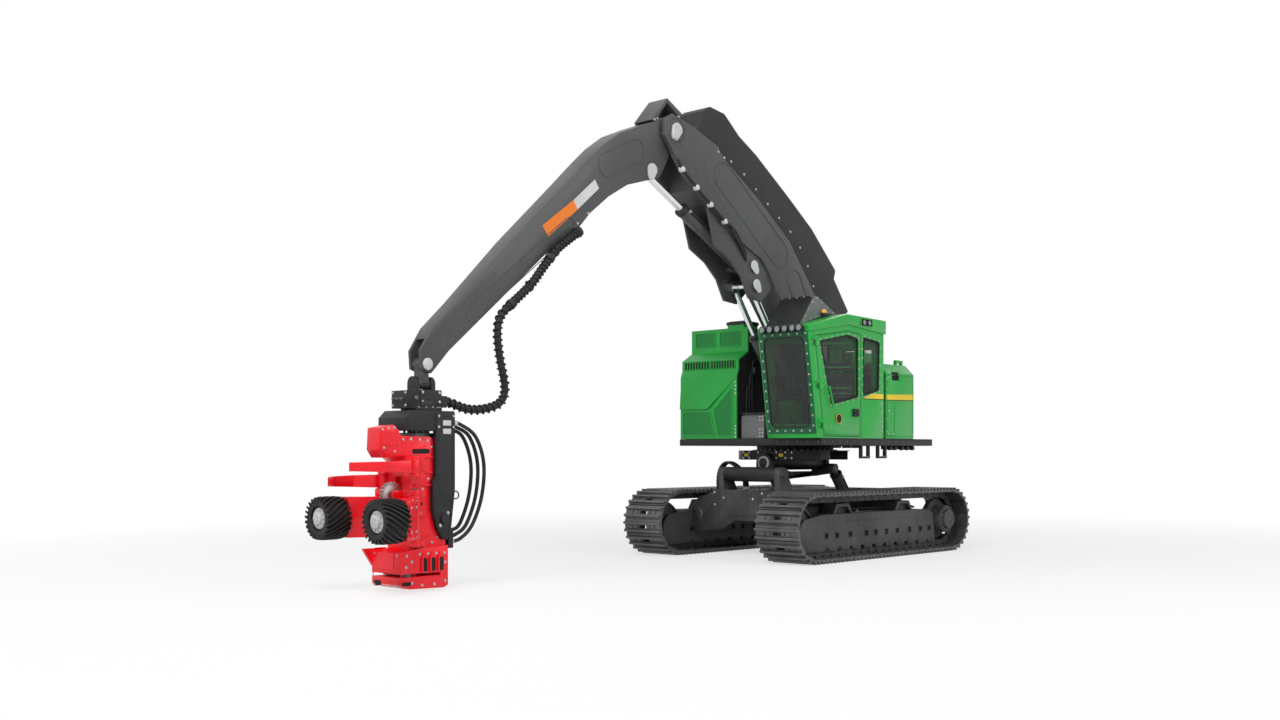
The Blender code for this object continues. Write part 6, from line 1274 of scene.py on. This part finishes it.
add_piece("tank_cap", [lathe(((0.0, 0.07), (0.035, 0.07), (0.045, 0.062), (0.045, TIP)),
    (-0.9, 0.68, 3.2403), (0, 0, 1), 28)], "iron_black", "upper_works")
print("upper works dressed")

# %% [markdown]
# ## Boom
# The boom's two sides are plates with a pressed oval, which stiffens them. Its pins end in
# drop-shaped caps of cast steel, held by one bolt against turning. Hoses run along its left side
# under round clamps, and the hump behind guards the rest of them.

# %% Boom
def drop(middle, size, point):
    """A drop's outline: a circle about a middle whose far side is drawn out towards a point."""
    angle = np.linspace(0, 2 * np.pi, 28, endpoint=False)
    aim = math.atan2(point[1], point[0])
    reach = size * (1.0 + 0.75 * np.clip(np.cos(angle), 0, 1) ** 5)
    return np.asarray(middle, float) + np.c_[reach * np.cos(angle + aim), reach * np.sin(angle + aim)]


def oval(one, two, radius):
    """A stadium's outline round two points."""
    one, two = np.asarray(one, float), np.asarray(two, float)
    aim = math.atan2(two[1] - one[1], two[0] - one[0])
    turn = np.linspace(math.pi / 2, 3 * math.pi / 2, 12)
    end = np.linspace(-math.pi / 2, math.pi / 2, 12)
    arc = lambda a: np.c_[np.cos(a + aim), np.sin(a + aim)] * radius
    return np.vstack([one + arc(turn), two + arc(end)])


def bead(outline_of, place, stand, radius=0.006):
    """A low bead along a closed outline on a wall: a pressed edge or a weld."""
    ring = place(level(np.vstack([outline_of, outline_of[:1]]), stand))
    return tube(ring, radius, 6)


BOOM_LEFT, BOOM_RIGHT = 0.4, -0.2
caps, heads, beads, clamps = [], [], [], []
for y, way in ((BOOM_LEFT, 1), (BOOM_RIGHT, -1)):
    side = side_face(y, way)
    caps.append(plate(drop((3.36, 6.2), 0.098, (0.45, -1.0)), side, 0.0, 0.034, 0.01))
    heads += bolts_on(((3.425, 6.06),), side, 0.034, 0.034)
    for middle, size in (((3.36, 6.2), 0.17), ((-0.25, 2.95), 0.19)):
        angle = np.linspace(0, 2 * np.pi, 40, endpoint=False)
        beads.append(bead(np.asarray(middle) + size * np.c_[np.cos(angle), np.sin(angle)], side, 0.0, 0.007))
    beads.append(bead(oval((2.3, 5.7), (0.95, 4.7), 0.215), side, 0.0, 0.008))
    beads.append(bead(oval((0.56, 4.33), (0.06, 3.5), 0.17), side, 0.0, 0.008))
guard_side = side_face(0.36)
for side in (guard_side, side_face(-0.16, -1)):
    for middle in ((1.5, 4.18), (1.56, 4.46)):
        caps.append(plate(drop(middle, 0.082, (-0.7, -1.0)), side, 0.026, 0.04, 0.006))
line = np.array(((3.368, 5.777), (3.276, 5.65), (2.96, 5.437), (2.65, 5.233), (2.324, 5.029),
    (2.164, 4.966)))
for x, z in line[1:-1]:
    clamps.append(lathe(((0.0, 0.04), (0.058, 0.04), (0.066, 0.032), (0.066, TIP)), (x, BOOM_LEFT + PROUD,
        z), (0, 1, 0), 24))
add_piece("boom_pin_caps", caps, "cap_grey", "boom")
add_piece("boom_beads", beads, "boom_grey", "boom")
add_piece("boom_clamps", clamps, "cap_grey", "boom")
foot_line = np.array(((2.432, 6.046), (1.85, 5.79), (1.25, 5.41), (0.48, 4.94), (0.16, 4.52), (-0.12, 3.93)))
heads += bolts_on(steps_along(foot_line, 0.3, closed=False) + np.array((-0.03, 0.055)), guard_side, 0.03)
heads += bolts_on(((2.432, 6.046), (2.294, 5.98)), side_face(0.4), 0.03)
add_piece("boom_bolts", heads, "bolt_steel", "boom")
rope = []
for shift in (-0.045, 0.0, 0.045):
    path = smooth_path(((2.164, 0.419, 4.966 + shift * 0.6), (2.02, 0.41, 4.86 + shift),
        (1.86, 0.392, 4.7 + shift), (1.74, 0.372, 4.56 + shift)), 30)
    rope.append(tube(path, 0.016, 10))
add_piece("boom_hose_tails", rope, "hose_black", "boom")
foot_wall = side_face(0.451)
caps = [plate(drop((-0.25, 2.95), 0.095, (1.0, -0.6)), foot_wall, 0.0, 0.03, 0.008)]
caps.append(plate(drop((-0.25, 2.95), 0.095, (1.0, -0.6)), side_face(-0.251, -1), 0.0, 0.03, 0.008))
add_piece("tower_pin_caps", caps, "cap_grey", "upper_works")

# %% [markdown]
# ## Stick
# The stick has the same pressed oval and caps. Where the real one carries a sign, this one has
# the bare plates. A wound guard protects the hose on its side, as it does the hanging bundle,
# and lies as a helix whose turns are as far apart as they are on the real guard.

# %% Stick
def stick_y(x):
    """The stick's left face: half of a width that narrows evenly from root to tip."""
    share = np.clip((np.asarray(x, float) - 3.36) / 4.27, 0, 1)
    return 0.1 + (0.4 - 0.16 * share) / 2


def on_stick(way):
    """Maps (x, z, h) to the stick's narrowing side."""
    def place(p):
        y = 0.1 + way * (stick_y(p[..., :1]) - 0.1 + 0.0004 + p[..., 2:3])
        return np.concatenate([p[..., :1], y, p[..., 1:2]], -1)
    return place


caps, heads, beads = [], [], []
for way in (1, -1):
    side = on_stick(way)
    caps.append(plate(drop((3.76, 5.59), 0.088, (0.25, -1.0)), side, 0.0, 0.03, 0.008))
    beads.append(bead(oval((4.08, 5.8), (4.64, 5.52), 0.165), side, 0.0, 0.008))
    beads.append(bead(oval((5.33, 4.62), (6.96, 3.33), 0.1), side, 0.0, 0.006))
    caps.append(lathe(((-0.002, 0.072), (0.012, 0.072), (0.016, 0.064), (0.016, TIP)),
        (7.63, 0.1 + way * 0.1205, 2.68), (0, way, 0), 24))
    for x, z in ((4.989, 4.817), (5.184, 4.659)):
        heads += bolts_on(((x, z),), side, 0.03)
orange = ((5.706, 4.421), (5.806, 4.556), (5.262, 4.957), (5.184, 4.844))
pale = ((5.184, 4.844), (5.262, 4.957), (4.866, 5.289), (4.791, 5.179))
add_piece("bare_sign_orange", [plate(orange, on_stick(1), 0.0, 0.0015, 0.0003)], "sign_orange", "stick")
add_piece("bare_sign_pale", [plate(pale, on_stick(1), 0.0, 0.0015, 0.0003)], "cap_grey", "stick")
add_piece("stick_pin_caps", caps, "cap_grey", "stick")
add_piece("stick_beads", beads, "boom_grey", "stick")
tent = side_face(0.28)
heads += bolts_on(((3.15, 6.37), (3.18, 6.44), (3.69, 6.31)), tent, 0.03)
add_piece("stick_bolts", heads, "bolt_steel", "stick")
hose_run = smooth_path(((5.229, 0.336, 4.535), (5.4, 0.333, 4.42), (5.627, 0.328, 4.252),
    (5.85, 0.32, 4.005), (6.063, 0.314, 3.758), (6.483, 0.3, 3.406)), 900)
ahead, side_of, up_of = frames_along(hose_run)
run = np.r_[0.0, np.cumsum(np.linalg.norm(np.diff(hose_run, axis=0), axis=1))]
angle = run / 0.06 * 2 * np.pi
wound = hose_run + 0.054 * (side_of * np.cos(angle)[:, None] + up_of * np.sin(angle)[:, None])
add_piece("stick_hose_guard", [tube(wound, 0.009, 6)], "black_and_painted_shade", "stick")
block_parts = []
for place, aim in ((hose_run[-40], ahead[-40]), (hose_run[8], ahead[8]), (hose_run[450], ahead[450])):
    block_parts.append(lathe(((-0.03, 0.064), (-0.026, 0.068), (0.026, 0.068), (0.03, 0.064)), place, aim,
        10))
add_piece("stick_hose_clamps", block_parts, "iron_black", "stick")
link_parts = []
for z, axis, half, r in ((2.68, (0, 1, 0), 0.0795, 0.06), (2.45, (1, 0, 0), 0.0845, 0.05)):
    for way in (-1, 1):
        start = np.array((7.63, 0.1, z)) + np.array(axis, float) * half * way
        link_parts.append(lathe(((0.0, r), (0.006, r), (0.008, r * 0.9), (0.008, TIP)), start,
            np.array(axis, float) * way, 20))
add_piece("link_caps", link_parts, "bolt_steel", "head_link")

# %% [markdown]
# ## Rotator and tilt frame
# The rotator is a hydraulic motor in a cast case, bolted to a round flange. Under it the tilt
# frame's two arms hold the head, and a cylinder between them tips it. Three hoses leave the
# frame's top, arch behind the arms and enter the head near the tilt pin.

# %% Rotator and frame
heads = bolts(ring_of((7.63, 0.1, 2.16), (0, 0, 1), 0.222, 16), (0, 0, 1), 0.028)
motor = side_face(0.26)
heads += bolts_on(((7.48, 2.34), (7.73, 2.34), (7.48, 2.23), (7.73, 2.23)), motor, 0.026)
valve = end_face(7.953)
heads += bolts_on(((-0.02, 2.33), (0.22, 2.33), (-0.02, 2.18), (0.22, 2.18)), valve, 0.024)
add_piece("rotator_bolts", heads, "bolt_steel", "rotator")
ports = []
for y in (0.02, 0.1, 0.18):
    ports.append(lathe(((0.0, 0.024), (0.02, 0.024), (0.022, 0.018), (0.045, 0.018), (0.048, 0.014)),
        (7.9533, y, 2.255), (1, 0, 0), 6))
for y in (-0.0505, 0.2505):
    ports.append(lathe(((0.0, 0.028), (0.022, 0.028), (0.03, 0.018)), (7.83, y, 2.27),
        (0, math.copysign(1, y), 0), 12))
add_piece("rotator_ports", ports, "bolt_dark", "rotator")
ring_parts = [lathe(((0.0, 0.2005), (0.004, 0.205), (0.02, 0.205), (0.024, 0.2005)), (7.63, 0.1, 2.175),
    (0, 0, 1), 40)]
add_piece("rotator_ring", ring_parts, "iron_black", "rotator")
caps, heads, plates_of = [], [], []
for y, way in ((0.375, 1), (-0.175, -1)):
    side = side_face(y, way)
    caps.append(lathe(((0.0, 0.06), (0.032, 0.06), (0.038, 0.052), (0.038, TIP)), (7.499, y, 0.833),
        (0, way, 0), 28))
    heads += bolts_on(((7.445, 0.905), (7.56, 0.76)), side, 0.032)
    heads += bolts_on(((7.36, 2.06), (7.58, 2.06), (7.36, 1.93), (7.58, 1.93)), side, 0.024)
    for z in (1.978, 1.878):
        plates_of.append(plate(rounded(oblong((7.46, z), (0.12, 0.062)), 0.008), side, 0.0, 0.003))
    edge = inset(((7.64, 2.08), (7.345, 2.08), (7.345, 1.18), (7.4, 0.7), (7.46, 0.58), (7.52, 0.6),
        (7.6, 0.72), (7.668, 0.95), (7.668, 1.27), (7.622, 1.35)), 0.022)
    caps.append(bead(edge, side, 0.0, 0.005))
add_piece("frame_caps", caps, "iron_black", "tilt_frame")
add_piece("frame_plates", plates_of, "cap_grey", "tilt_frame")
add_piece("frame_heads", heads, "bolt_steel", "tilt_frame")
hoses, ends = [], []
for y, spread in ((0.28, 0.0), (0.215, 0.045), (0.14, 0.09)):
    path = smooth_path(((7.33, y, 1.99 - spread * 0.5), (7.19 + spread * 0.6, y + 0.01,
        1.965 - spread * 0.6), (6.96 + spread, y + 0.02, 1.82), (6.83 + spread, y + 0.02, 1.5),
        (6.85 + spread, y + 0.01, 1.1), (6.99 + spread, y, 0.75), (7.18 + spread * 0.6, y, 0.585 + spread),
        (7.385, y, 0.54 + spread)), 70)
    hoses.append(tube(path, 0.023, 12))
    for place, aim in ((path[0], path[0] - path[1]), (path[-1], path[-1] - path[-2])):
        ends.append(lathe(((-0.09, 0.026), (-0.086, 0.031), (-0.03, 0.031), (-0.026, 0.034), (0.006, 0.034)),
            place, aim, 12))
lower_bracket = [box((7.33, 7.4), (0.09, 0.33), (0.48, 0.7), 0.008)]
add_piece("head_hoses", hoses, "hose_black", "tilt_frame")
add_piece("head_hose_ends", ends, "bolt_steel", "tilt_frame")
add_piece("hose_bracket", lower_bracket, "iron_black", "tilt_frame")
hook = smooth_path(((7.345, 0.34, 1.14), (7.3, 0.345, 1.16), (7.262, 0.345, 1.13), (7.268, 0.345, 1.085),
    (7.3, 0.342, 1.07), (7.345, 0.34, 1.075)), 30)
add_piece("frame_hook", [tube(hook, 0.01, 8)], "bolt_dark", "tilt_frame")

# %% [markdown]
# ## Head
# The head grips a trunk with two knives and two feed rollers, measures it with a ribbed wheel
# and cuts it with the saw in the box below. Its red plates are bolted and welded, so each face
# carries bolts, ribs, slots and weld beads. Its slots and openings are black plates, which are
# painted shade inside them.

# %% Head chassis and saw box
heads, ribs, dark, edges = [], [], [], []
for y, way in ((0.314, 1), (-0.114, -1)):
    side = side_face(y, way)
    heads += bolts_on(((8.06, 1.78), (7.945, 1.783), (7.815, 1.779), (7.7, 1.77), (7.64, 1.69), (7.61, 1.56),
        (7.6, 1.42), (7.69, 1.312), (7.778, 1.195), (7.6, 1.08), (7.9, 0.916), (7.813, 0.914),
        (7.929, 1.116), (7.72, 0.8), (7.56, 0.62), (7.64, 0.56), (7.85, 0.6)), side, 0.026)
    edges.append(bead(inset(((7.59, 1.12), (7.59, 1.68), (7.63, 1.76), (7.68, 1.8), (8.09, 1.805),
        (8.09, 1.6), (7.955, 1.5), (7.955, 1.12)), 0.016), side, 0.0, 0.005))
    # The black ovals are painted shade inside the side plates' slots.
    dark.append(plate(oval((7.7, 1.64), (7.9, 1.64), 0.028), side, 0.0, 0.002))
    dark.append(plate(oval((7.8, 1.02), (7.86, 1.02), 0.022), side, 0.0, 0.002))
    for z in (1.56, 1.38, 1.23):
        ribs.append(plate(card((7.64, z), (7.9, z + 0.024), 0.01), side, 0.0, 0.022, 0.004))
    ribs.append(plate(card((7.69, 0.64), (7.93, 0.86), 0.03), side, 0.0, 0.016, 0.005))
hood_side = side_face(0.32)
heads += bolts_on(((8.18, 1.915), (8.27, 1.91), (8.35, 1.89), (8.18, 1.64), (8.33, 1.68)), hood_side, 0.022)
ribs.append(plate(rounded(((8.14, 1.7), (8.36, 1.72), (8.36, 1.86), (8.25, 1.885), (8.14, 1.84)), 0.02),
    hood_side, 0.0, 0.008, 0.003))
saw_side = side_face(0.44)
saw_back = side_face(-0.1, -1)
saw_front = end_face(8.1955, proud=0.0)
for side in (saw_side, saw_back):
    heads += bolts_on(((8.1, 0.43), (8.11, 0.3), (8.025, 0.358), (8.025, 0.11), (7.91, 0.44), (7.79, 0.44),
        (7.67, 0.44), (7.55, 0.44), (7.54, 0.33), (7.54, 0.11), (7.88, 0.08), (7.7, 0.08)), side, 0.026)
    for x in (7.6, 7.72, 7.84):
        # The black cards are painted shade inside the saw box's openings.
        dark.append(plate(card((x - 0.036, 0.235), (x + 0.036, 0.395), 0.02), side, 0.0, 0.0025))
        ribs.append(plate(((x + 0.04, 0.232), (x + 0.062, 0.232), (x + 0.062, 0.4), (x + 0.03, 0.45),
            (x + 0.018, 0.44), (x + 0.04, 0.395)), side, 0.0, 0.03, 0.003))
    dark.append(plate(oval((8.06, 0.105), (8.15, 0.105), 0.022), side, 0.0, 0.0025))
    edges.append(bead(card((7.99, 0.06), (8.18, 0.5), 0.03), side, 0.0, 0.005))
for y in (-0.05, 0.39):
    for z in (0.08, 0.44):
        heads += bolts_on(((y, z),), saw_front, 0.026)
# A black card paints the shade inside a slot of the saw box's front.
dark.append(plate(card((-0.06, 0.075), (0.08, 0.135), 0.02), saw_front, 0.0, 0.003))
ribs.append(plate(card((0.02, 0.27), (0.33, 0.47), 0.03), saw_front, 0.0, 0.012, 0.004))
front_of = end_face(7.9555, proud=0.0)
for z in (0.6, 0.73, 1.02, 1.17, 1.42):
    ribs.append(plate(card((-0.08, z), (0.28, z + 0.02), 0.008), front_of, 0.0, 0.014, 0.003))
add_piece("head_bolts", heads, "bolt_steel", "head")
add_piece("head_ribs", ribs + edges, "head_red", "head")
add_piece("head_slots", dark, "black_and_painted_shade", "head")
gear = [lathe(((0.0, 0.052), (0.01, 0.052), (0.014, 0.044)), (7.98, y, 1.19), (0, 0, 1), 20) for y in (0.43,
    -0.23)]
valves = [box((7.64, 7.84), (-0.06, 0.26), (1.8075, 1.86), 0.008)]
for y in (-0.02, 0.06, 0.14, 0.22):
    valves.append(lathe(((0.0, 0.02), (0.03, 0.02), (0.034, 0.014)), (7.7, y, 1.86), (0, 0, 1), 6))
    valves.append(lathe(((0.0, 0.016), (0.024, 0.016), (0.028, 0.01)), (7.79, y, 1.86), (0, 0, 1), 6))
add_piece("head_valves", valves + gear, "bolt_dark", "head")
inner_hoses = []
for shift in (0.0, 0.045, 0.09):
    path = smooth_path(((7.9, 0.33, 0.56 + shift), (7.96, 0.4 + shift * 0.3, 0.6 + shift),
        (8.0, 0.455 + shift * 0.3, 0.58), (7.96, 0.44, 0.535), (7.88, 0.42, 0.532)), 40)
    inner_hoses.append(tube(path, 0.014, 10))
add_piece("saw_hoses", inner_hoses, "hose_black", "head")

# %% [markdown]
# The measuring wheel has sharp ribs that bite the bark: its rim is a circle whose radius rises
# and falls along a saw-tooth. The feed rollers carry helical ribs for grip. A rib is a low bar
# whose angle about the axle grows with the distance along it, so it climbs round the drum.

# %% Measuring wheel and feed rollers
teeth = []
count = 22
angle = np.linspace(0, 2 * np.pi, count * 4, endpoint=False)
saw = np.tile((0.0, 1.0, 1.0, 0.0), count)
for y0, y1 in ((-0.029, -0.013), (-0.006, 0.006), (0.013, 0.029)):
    ring = [np.c_[8.07 + (0.133 + 0.019 * saw) * np.cos(angle), np.full(angle.size, 0.1 + y),
        1.13 + (0.133 + 0.019 * saw) * np.sin(angle)] for y in (y0, y1)]
    teeth.append(grid_mesh(np.stack(ring)))
teeth.append(lathe(((-0.03, 0.045), (-0.03, 0.12), (-0.026, 0.132), (0.026, 0.132), (0.03, 0.12),
    (0.03, 0.045)), (8.07, 0.1, 1.13), (0, 1, 0), 40))
teeth += [lathe(((0.0, 0.04), (0.004, 0.04), (0.008, 0.034), (0.008, TIP)), (8.07, 0.1 + way * 0.0585, 1.13),
    (0, way, 0), 20) for way in (-1, 1)]
wheel_piece = add_piece("ribbed_wheel", teeth, "bolt_steel", "measuring_wheel")
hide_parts("measuring_wheel")


def helical_rib(axle, along, radius, start, climb, thick, height):
    """A bar on a drum whose angle grows with the distance along the axle."""
    s = np.linspace(0, 1, len(along))
    middle = start + climb * s
    half = thick / 2 / radius
    rows = []
    for turn, lift in ((-half, -0.012), (half, -0.012), (half * 0.55, height), (-half * 0.55, height)):
        r = radius + lift
        rows.append(np.c_[along, r * np.cos(middle + turn), r * np.sin(middle + turn)])
    return grid_mesh(np.asarray(axle, float) + np.stack(rows, 1))


for side, way in (("left", 1), ("right", -1)):
    axle = (8.55, 0.1 + way * 0.57, 0.855)
    body = "roller_" + side
    drum = [lathe(((-0.154, 0.105), (-0.158, 0.2), (-0.15, 0.216), (-0.08, 0.226), (0.08, 0.226),
        (0.15, 0.216), (0.158, 0.2), (0.152, 0.15), (0.12, 0.14), (0.12, 0.105)), axle, (1, 0, 0), 48)]
    along = np.linspace(-0.166, 0.166, 14)
    radius = 0.227 - 0.012 * (np.abs(along) / 0.166) ** 4
    for row in range(24):
        drum.append(helical_rib(axle, along, radius, row / 24 * 2 * np.pi, way * 0.85, 0.034, 0.031))
    roller = add_piece("ribbed_roller_" + side, drum, "hose_black", body)
    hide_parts("feed_roller_" + side)
    hub = [lathe(((-0.175, 0.104), (-0.154, 0.104)), axle, (1, 0, 0), 32)]
    hub.append(lathe(((0.1185, 0.125), (0.128, 0.125), (0.132, 0.118), (0.132, 0.08), (0.16, 0.074),
        (0.172, 0.06), (0.174, TIP)), axle, (1, 0, 0), 36))
    hub.append(lathe(((-0.162, 0.17), (-0.155, 0.17)), axle, (1, 0, 0), 36))
    add_piece("roller_hub_" + side, hub, "cap_grey", body)
    hub_heads = bolts(ring_of(np.array(axle) + (0.132, 0, 0), (1, 0, 0), 0.1, 10), (1, 0, 0), 0.028)
    hub_heads += bolts(ring_of(np.array(axle) + (0.173, 0, 0), (1, 0, 0), 0.034, 5), (1, 0, 0), 0.018)
    add_piece("roller_bolts_" + side, hub_heads, "bolt_steel", body)
    arm_out = 0.1 + way * 0.33
    parts, arm_heads = [], []
    direction = unit(np.array((8.374 - 7.98, way * (0.57 + 0.14 - 0.33 - 0.07), 0.0)))
    face_out = np.array((-direction[1] * way, direction[0] * way, 0.0)) * way
    start = np.array((7.98, arm_out + way * 0.07, 0.0)) + face_out * 0.0006
    arm_wall = wall(start, direction, (0, 0, 1), face_out)
    parts.append(plate(card((0.11, 0.66), (0.4, 1.06), 0.04), arm_wall, 0.0, 0.016, 0.005))
    parts.append(bead(card((0.06, 0.632), (0.45, 1.088), 0.03), arm_wall, 0.0, 0.006))
    arm_heads += bolts_on(((0.09, 0.65), (0.425, 0.65), (0.09, 1.07), (0.425, 1.07), (0.26, 0.64),
        (0.26, 1.08)), arm_wall, 0.024)
    arm_heads += bolts_on(((0.15, 0.72), (0.36, 0.72), (0.15, 1.0), (0.36, 1.0)), arm_wall, 0.026, 0.016)
    add_piece("arm_plates_" + side, parts, "head_red", "arm_" + side)
    add_piece("arm_bolts_" + side, arm_heads, "bolt_steel", "arm_" + side)
    z = 1.465 if side == "left" else 1.285
    caps = [lathe(((0.0, 0.048), (0.006, 0.048), (0.01, 0.04), (0.01, TIP)), (7.96, 0.1 + way * 0.3,
        z + 0.125), (0, 0, 1), 20)]
    add_piece("knife_caps_" + side, caps, "bolt_dark", "head")
bar = []
for x_off in (-0.057, 0.057):
    bar.append(tube(np.array(((8.03 + x_off * 0.8, 0.345, 0.2), (8.03 + x_off, -0.024, 0.2))), 0.0065, 6))
add_piece("saw_chain", bar, "bolt_dark", "saw_bar")
print("head dressed")

# %% [markdown]
# ## Seat
# A driver's seat is foam under a woven cover. Each pad starts as a block a little smaller than
# its place, is remeshed into even small faces, and is blown up by Blender's Cloth with gravity
# off, so that its faces crown and its edges pull in as foam does under a tight cover. How far a
# point moves is capped. The sewn channels come afterwards, because the remesh would erase them.

# %% Seat
def woven(name, colour, threads):
    """Cloth: two sets of bands at right angles, one thread each, that cross in bump and tint."""
    material, tree, shader, place = new_material(name)
    total = None
    for direction in ("Y", "Z"):
        band = tree.nodes.new("ShaderNodeTexWave")
        band.bands_direction = direction
        put(band, Scale=threads / 20.0 * 2 * math.pi, Distortion=0.6)
        link(tree, place, "Object", band, "Vector")
        if total is None:
            total = band
        else:
            both = tree.nodes.new("ShaderNodeMath")
            both.operation = "MAXIMUM"
            link(tree, total, "Fac", both, 0)
            link(tree, band, "Fac", both, 1)
            total = both
    tint = ramp(tree, total, 0, scaled(colour, 0.55), scaled(colour, 1.25), 0.1, 0.9)
    link(tree, tint, "Color", shader, "Base Color")
    bump = tree.nodes.new("ShaderNodeBump")
    put(bump, Strength=0.5, Distance=0.0015)
    link(tree, total, 0, bump, "Height")
    link(tree, bump, "Normal", shader, "Normal")
    put(shader, Roughness=0.92, Sheen_Weight=0.25)
    return material


finishes["seat_cloth"] = woven("seat_cloth", (0.06, 0.062, 0.066), 260.0)
VOXEL = 0.006
PAD_CAP = 0.016


def pad(name, low, high, held_axis, held_low, channels, depth):
    """A crowned pad in a box: remeshed, blown up, capped, then drawn in along its channels."""
    low, high = np.asarray(low, float) + 0.012, np.asarray(high, float) - 0.012
    work = bmesh.new()
    bmesh.ops.create_cube(work, size=1.0)
    for vert in work.verts:
        vert.co = tuple((low + high) / 2 + np.array(vert.co) * (high - low))
    bmesh.ops.bevel(work, geom=work.edges[:], offset=0.03, segments=4, profile=0.6, affect="EDGES")
    mesh = bpy.data.meshes.new(name)
    work.to_mesh(mesh)
    work.free()
    thing = bpy.data.objects.new(name, mesh)
    scene.collection.objects.link(thing)
    again = thing.modifiers.new("even_faces", "REMESH")
    again.mode = "VOXEL"
    again.voxel_size = VOXEL
    seen = thing.evaluated_get(bpy.context.evaluated_depsgraph_get())
    mesh = bpy.data.meshes.new_from_object(seen)
    thing.modifiers.clear()
    thing.data = mesh
    start = np.empty(len(mesh.vertices) * 3)
    mesh.vertices.foreach_get("co", start)
    start = start.reshape(-1, 3)
    place = start.copy()
    edge = low[held_axis] if held_low else high[held_axis]
    held = thing.vertex_groups.new(name="held")
    held.add(np.nonzero(np.abs(start[:, held_axis] - edge) < 0.012)[0].tolist(), 1.0, "REPLACE")
    cloth = thing.modifiers.new("cloth", "CLOTH")
    cloth.settings.vertex_group_mass = "held"
    cloth.settings.use_pressure = True
    cloth.settings.uniform_pressure_force = 4.0
    cloth.settings.effector_weights.gravity = 0.0
    cloth.settings.quality = 5
    cloth.collision_settings.use_collision = False
    for number in range(1, 21):
        scene.frame_set(number)
    seen = thing.evaluated_get(bpy.context.evaluated_depsgraph_get())
    seen.data.vertices.foreach_get("co", place.ravel())
    place = place.reshape(-1, 3)
    thing.modifiers.clear()
    scene.frame_set(1)
    move = place - start
    far = np.linalg.norm(move, axis=1, keepdims=True)
    place = start + move * np.minimum(1.0, PAD_CAP / np.maximum(far, 1e-9))
    along = place[:, 0 if held_axis == 2 else 2] if depth > 0 else place[:, 1]
    free = np.clip((place[:, held_axis] - start[:, held_axis].min()) / np.ptp(start[:, held_axis]), 0, 1)
    free = free if held_low else 1 - free
    groove = sum(np.exp(-((along - c) / 0.007) ** 2) for c in channels) * abs(depth) * free ** 2
    place[:, held_axis] += -groove if held_low else groove
    mesh.vertices.foreach_set("co", (place + ZERO).ravel())
    mesh.update()
    mesh.materials.clear()
    mesh.materials.append(finishes["seat_cloth"])
    mesh.shade_smooth()
    finer = thing.modifiers.new("finer", "SUBSURF")
    finer.levels = 1
    finer.render_levels = 1
    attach(thing, "upper_works")
    print(name, "moved at most", round(float(far.max()) * 1000, 1), "mm before the cap")
    return thing


seat_low, seat_high = (np.array(corner, float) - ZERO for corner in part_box("seat"))
SEAT_PAN, CUSHION, BACK = seat_low[2] + 0.38, 0.11, 0.11
front_x, back_x = seat_high[0], seat_low[0] + BACK
cushion = pad("seat_cushion", (back_x + 0.004, seat_low[1], SEAT_PAN), (front_x, seat_high[1],
    SEAT_PAN + CUSHION), 2, True, (back_x + 0.12, back_x + 0.24), 0.01)
back = pad("seat_back", (seat_low[0] + 0.018, seat_low[1] + 0.01, SEAT_PAN + 0.03),
    (back_x, seat_high[1] - 0.01, seat_high[2] - 0.18), 0, True, (SEAT_PAN + 0.25, SEAT_PAN + 0.4), 0.01)
rest = pad("seat_head_rest", (seat_low[0] + 0.022, seat_low[1] + 0.09, seat_high[2] - 0.16),
    (back_x - 0.01, seat_high[1] - 0.09, seat_high[2]), 0, True, (), 0.01)
middle_xy = ((seat_low[0] + seat_high[0]) / 2 + 0.03, (seat_low[1] + seat_high[1]) / 2)
rings = []
for z, reach in [(0.0, 0.16), (0.03, 0.16), (0.05, 0.125)] + [(0.07 + 0.02 * k, 0.105 if k % 2 else 0.125)
        for k in range(13)] + [(0.345, 0.19), (0.3795, 0.21)]:
    outline_of = rounded(oblong(middle_xy, (2 * reach, 2 * reach)), 0.035)
    rings.append(level(outline_of, seat_low[2] + z))
pedestal = add_piece("seat_bellows", [grid_mesh(np.stack(rings))], "black_and_painted_shade", "upper_works", 60.0)
shell = [box((seat_low[0], seat_low[0] + 0.017), (seat_low[1] + 0.03, seat_high[1] - 0.03),
    (SEAT_PAN, seat_high[2] - 0.19), 0.006)]
for way in (-0.06, 0.06):
    shell.append(tube(np.array([(seat_low[0] + 0.05, middle_xy[1] + way, seat_high[2] - z) for z in (0.21,
        0.14)]), 0.007, 10))
frame_piece = add_piece("seat_shell", shell, "iron_black", "upper_works")
for piece_of in (cushion, back, rest, pedestal, frame_piece):
    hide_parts("seat")
print("seat ready")
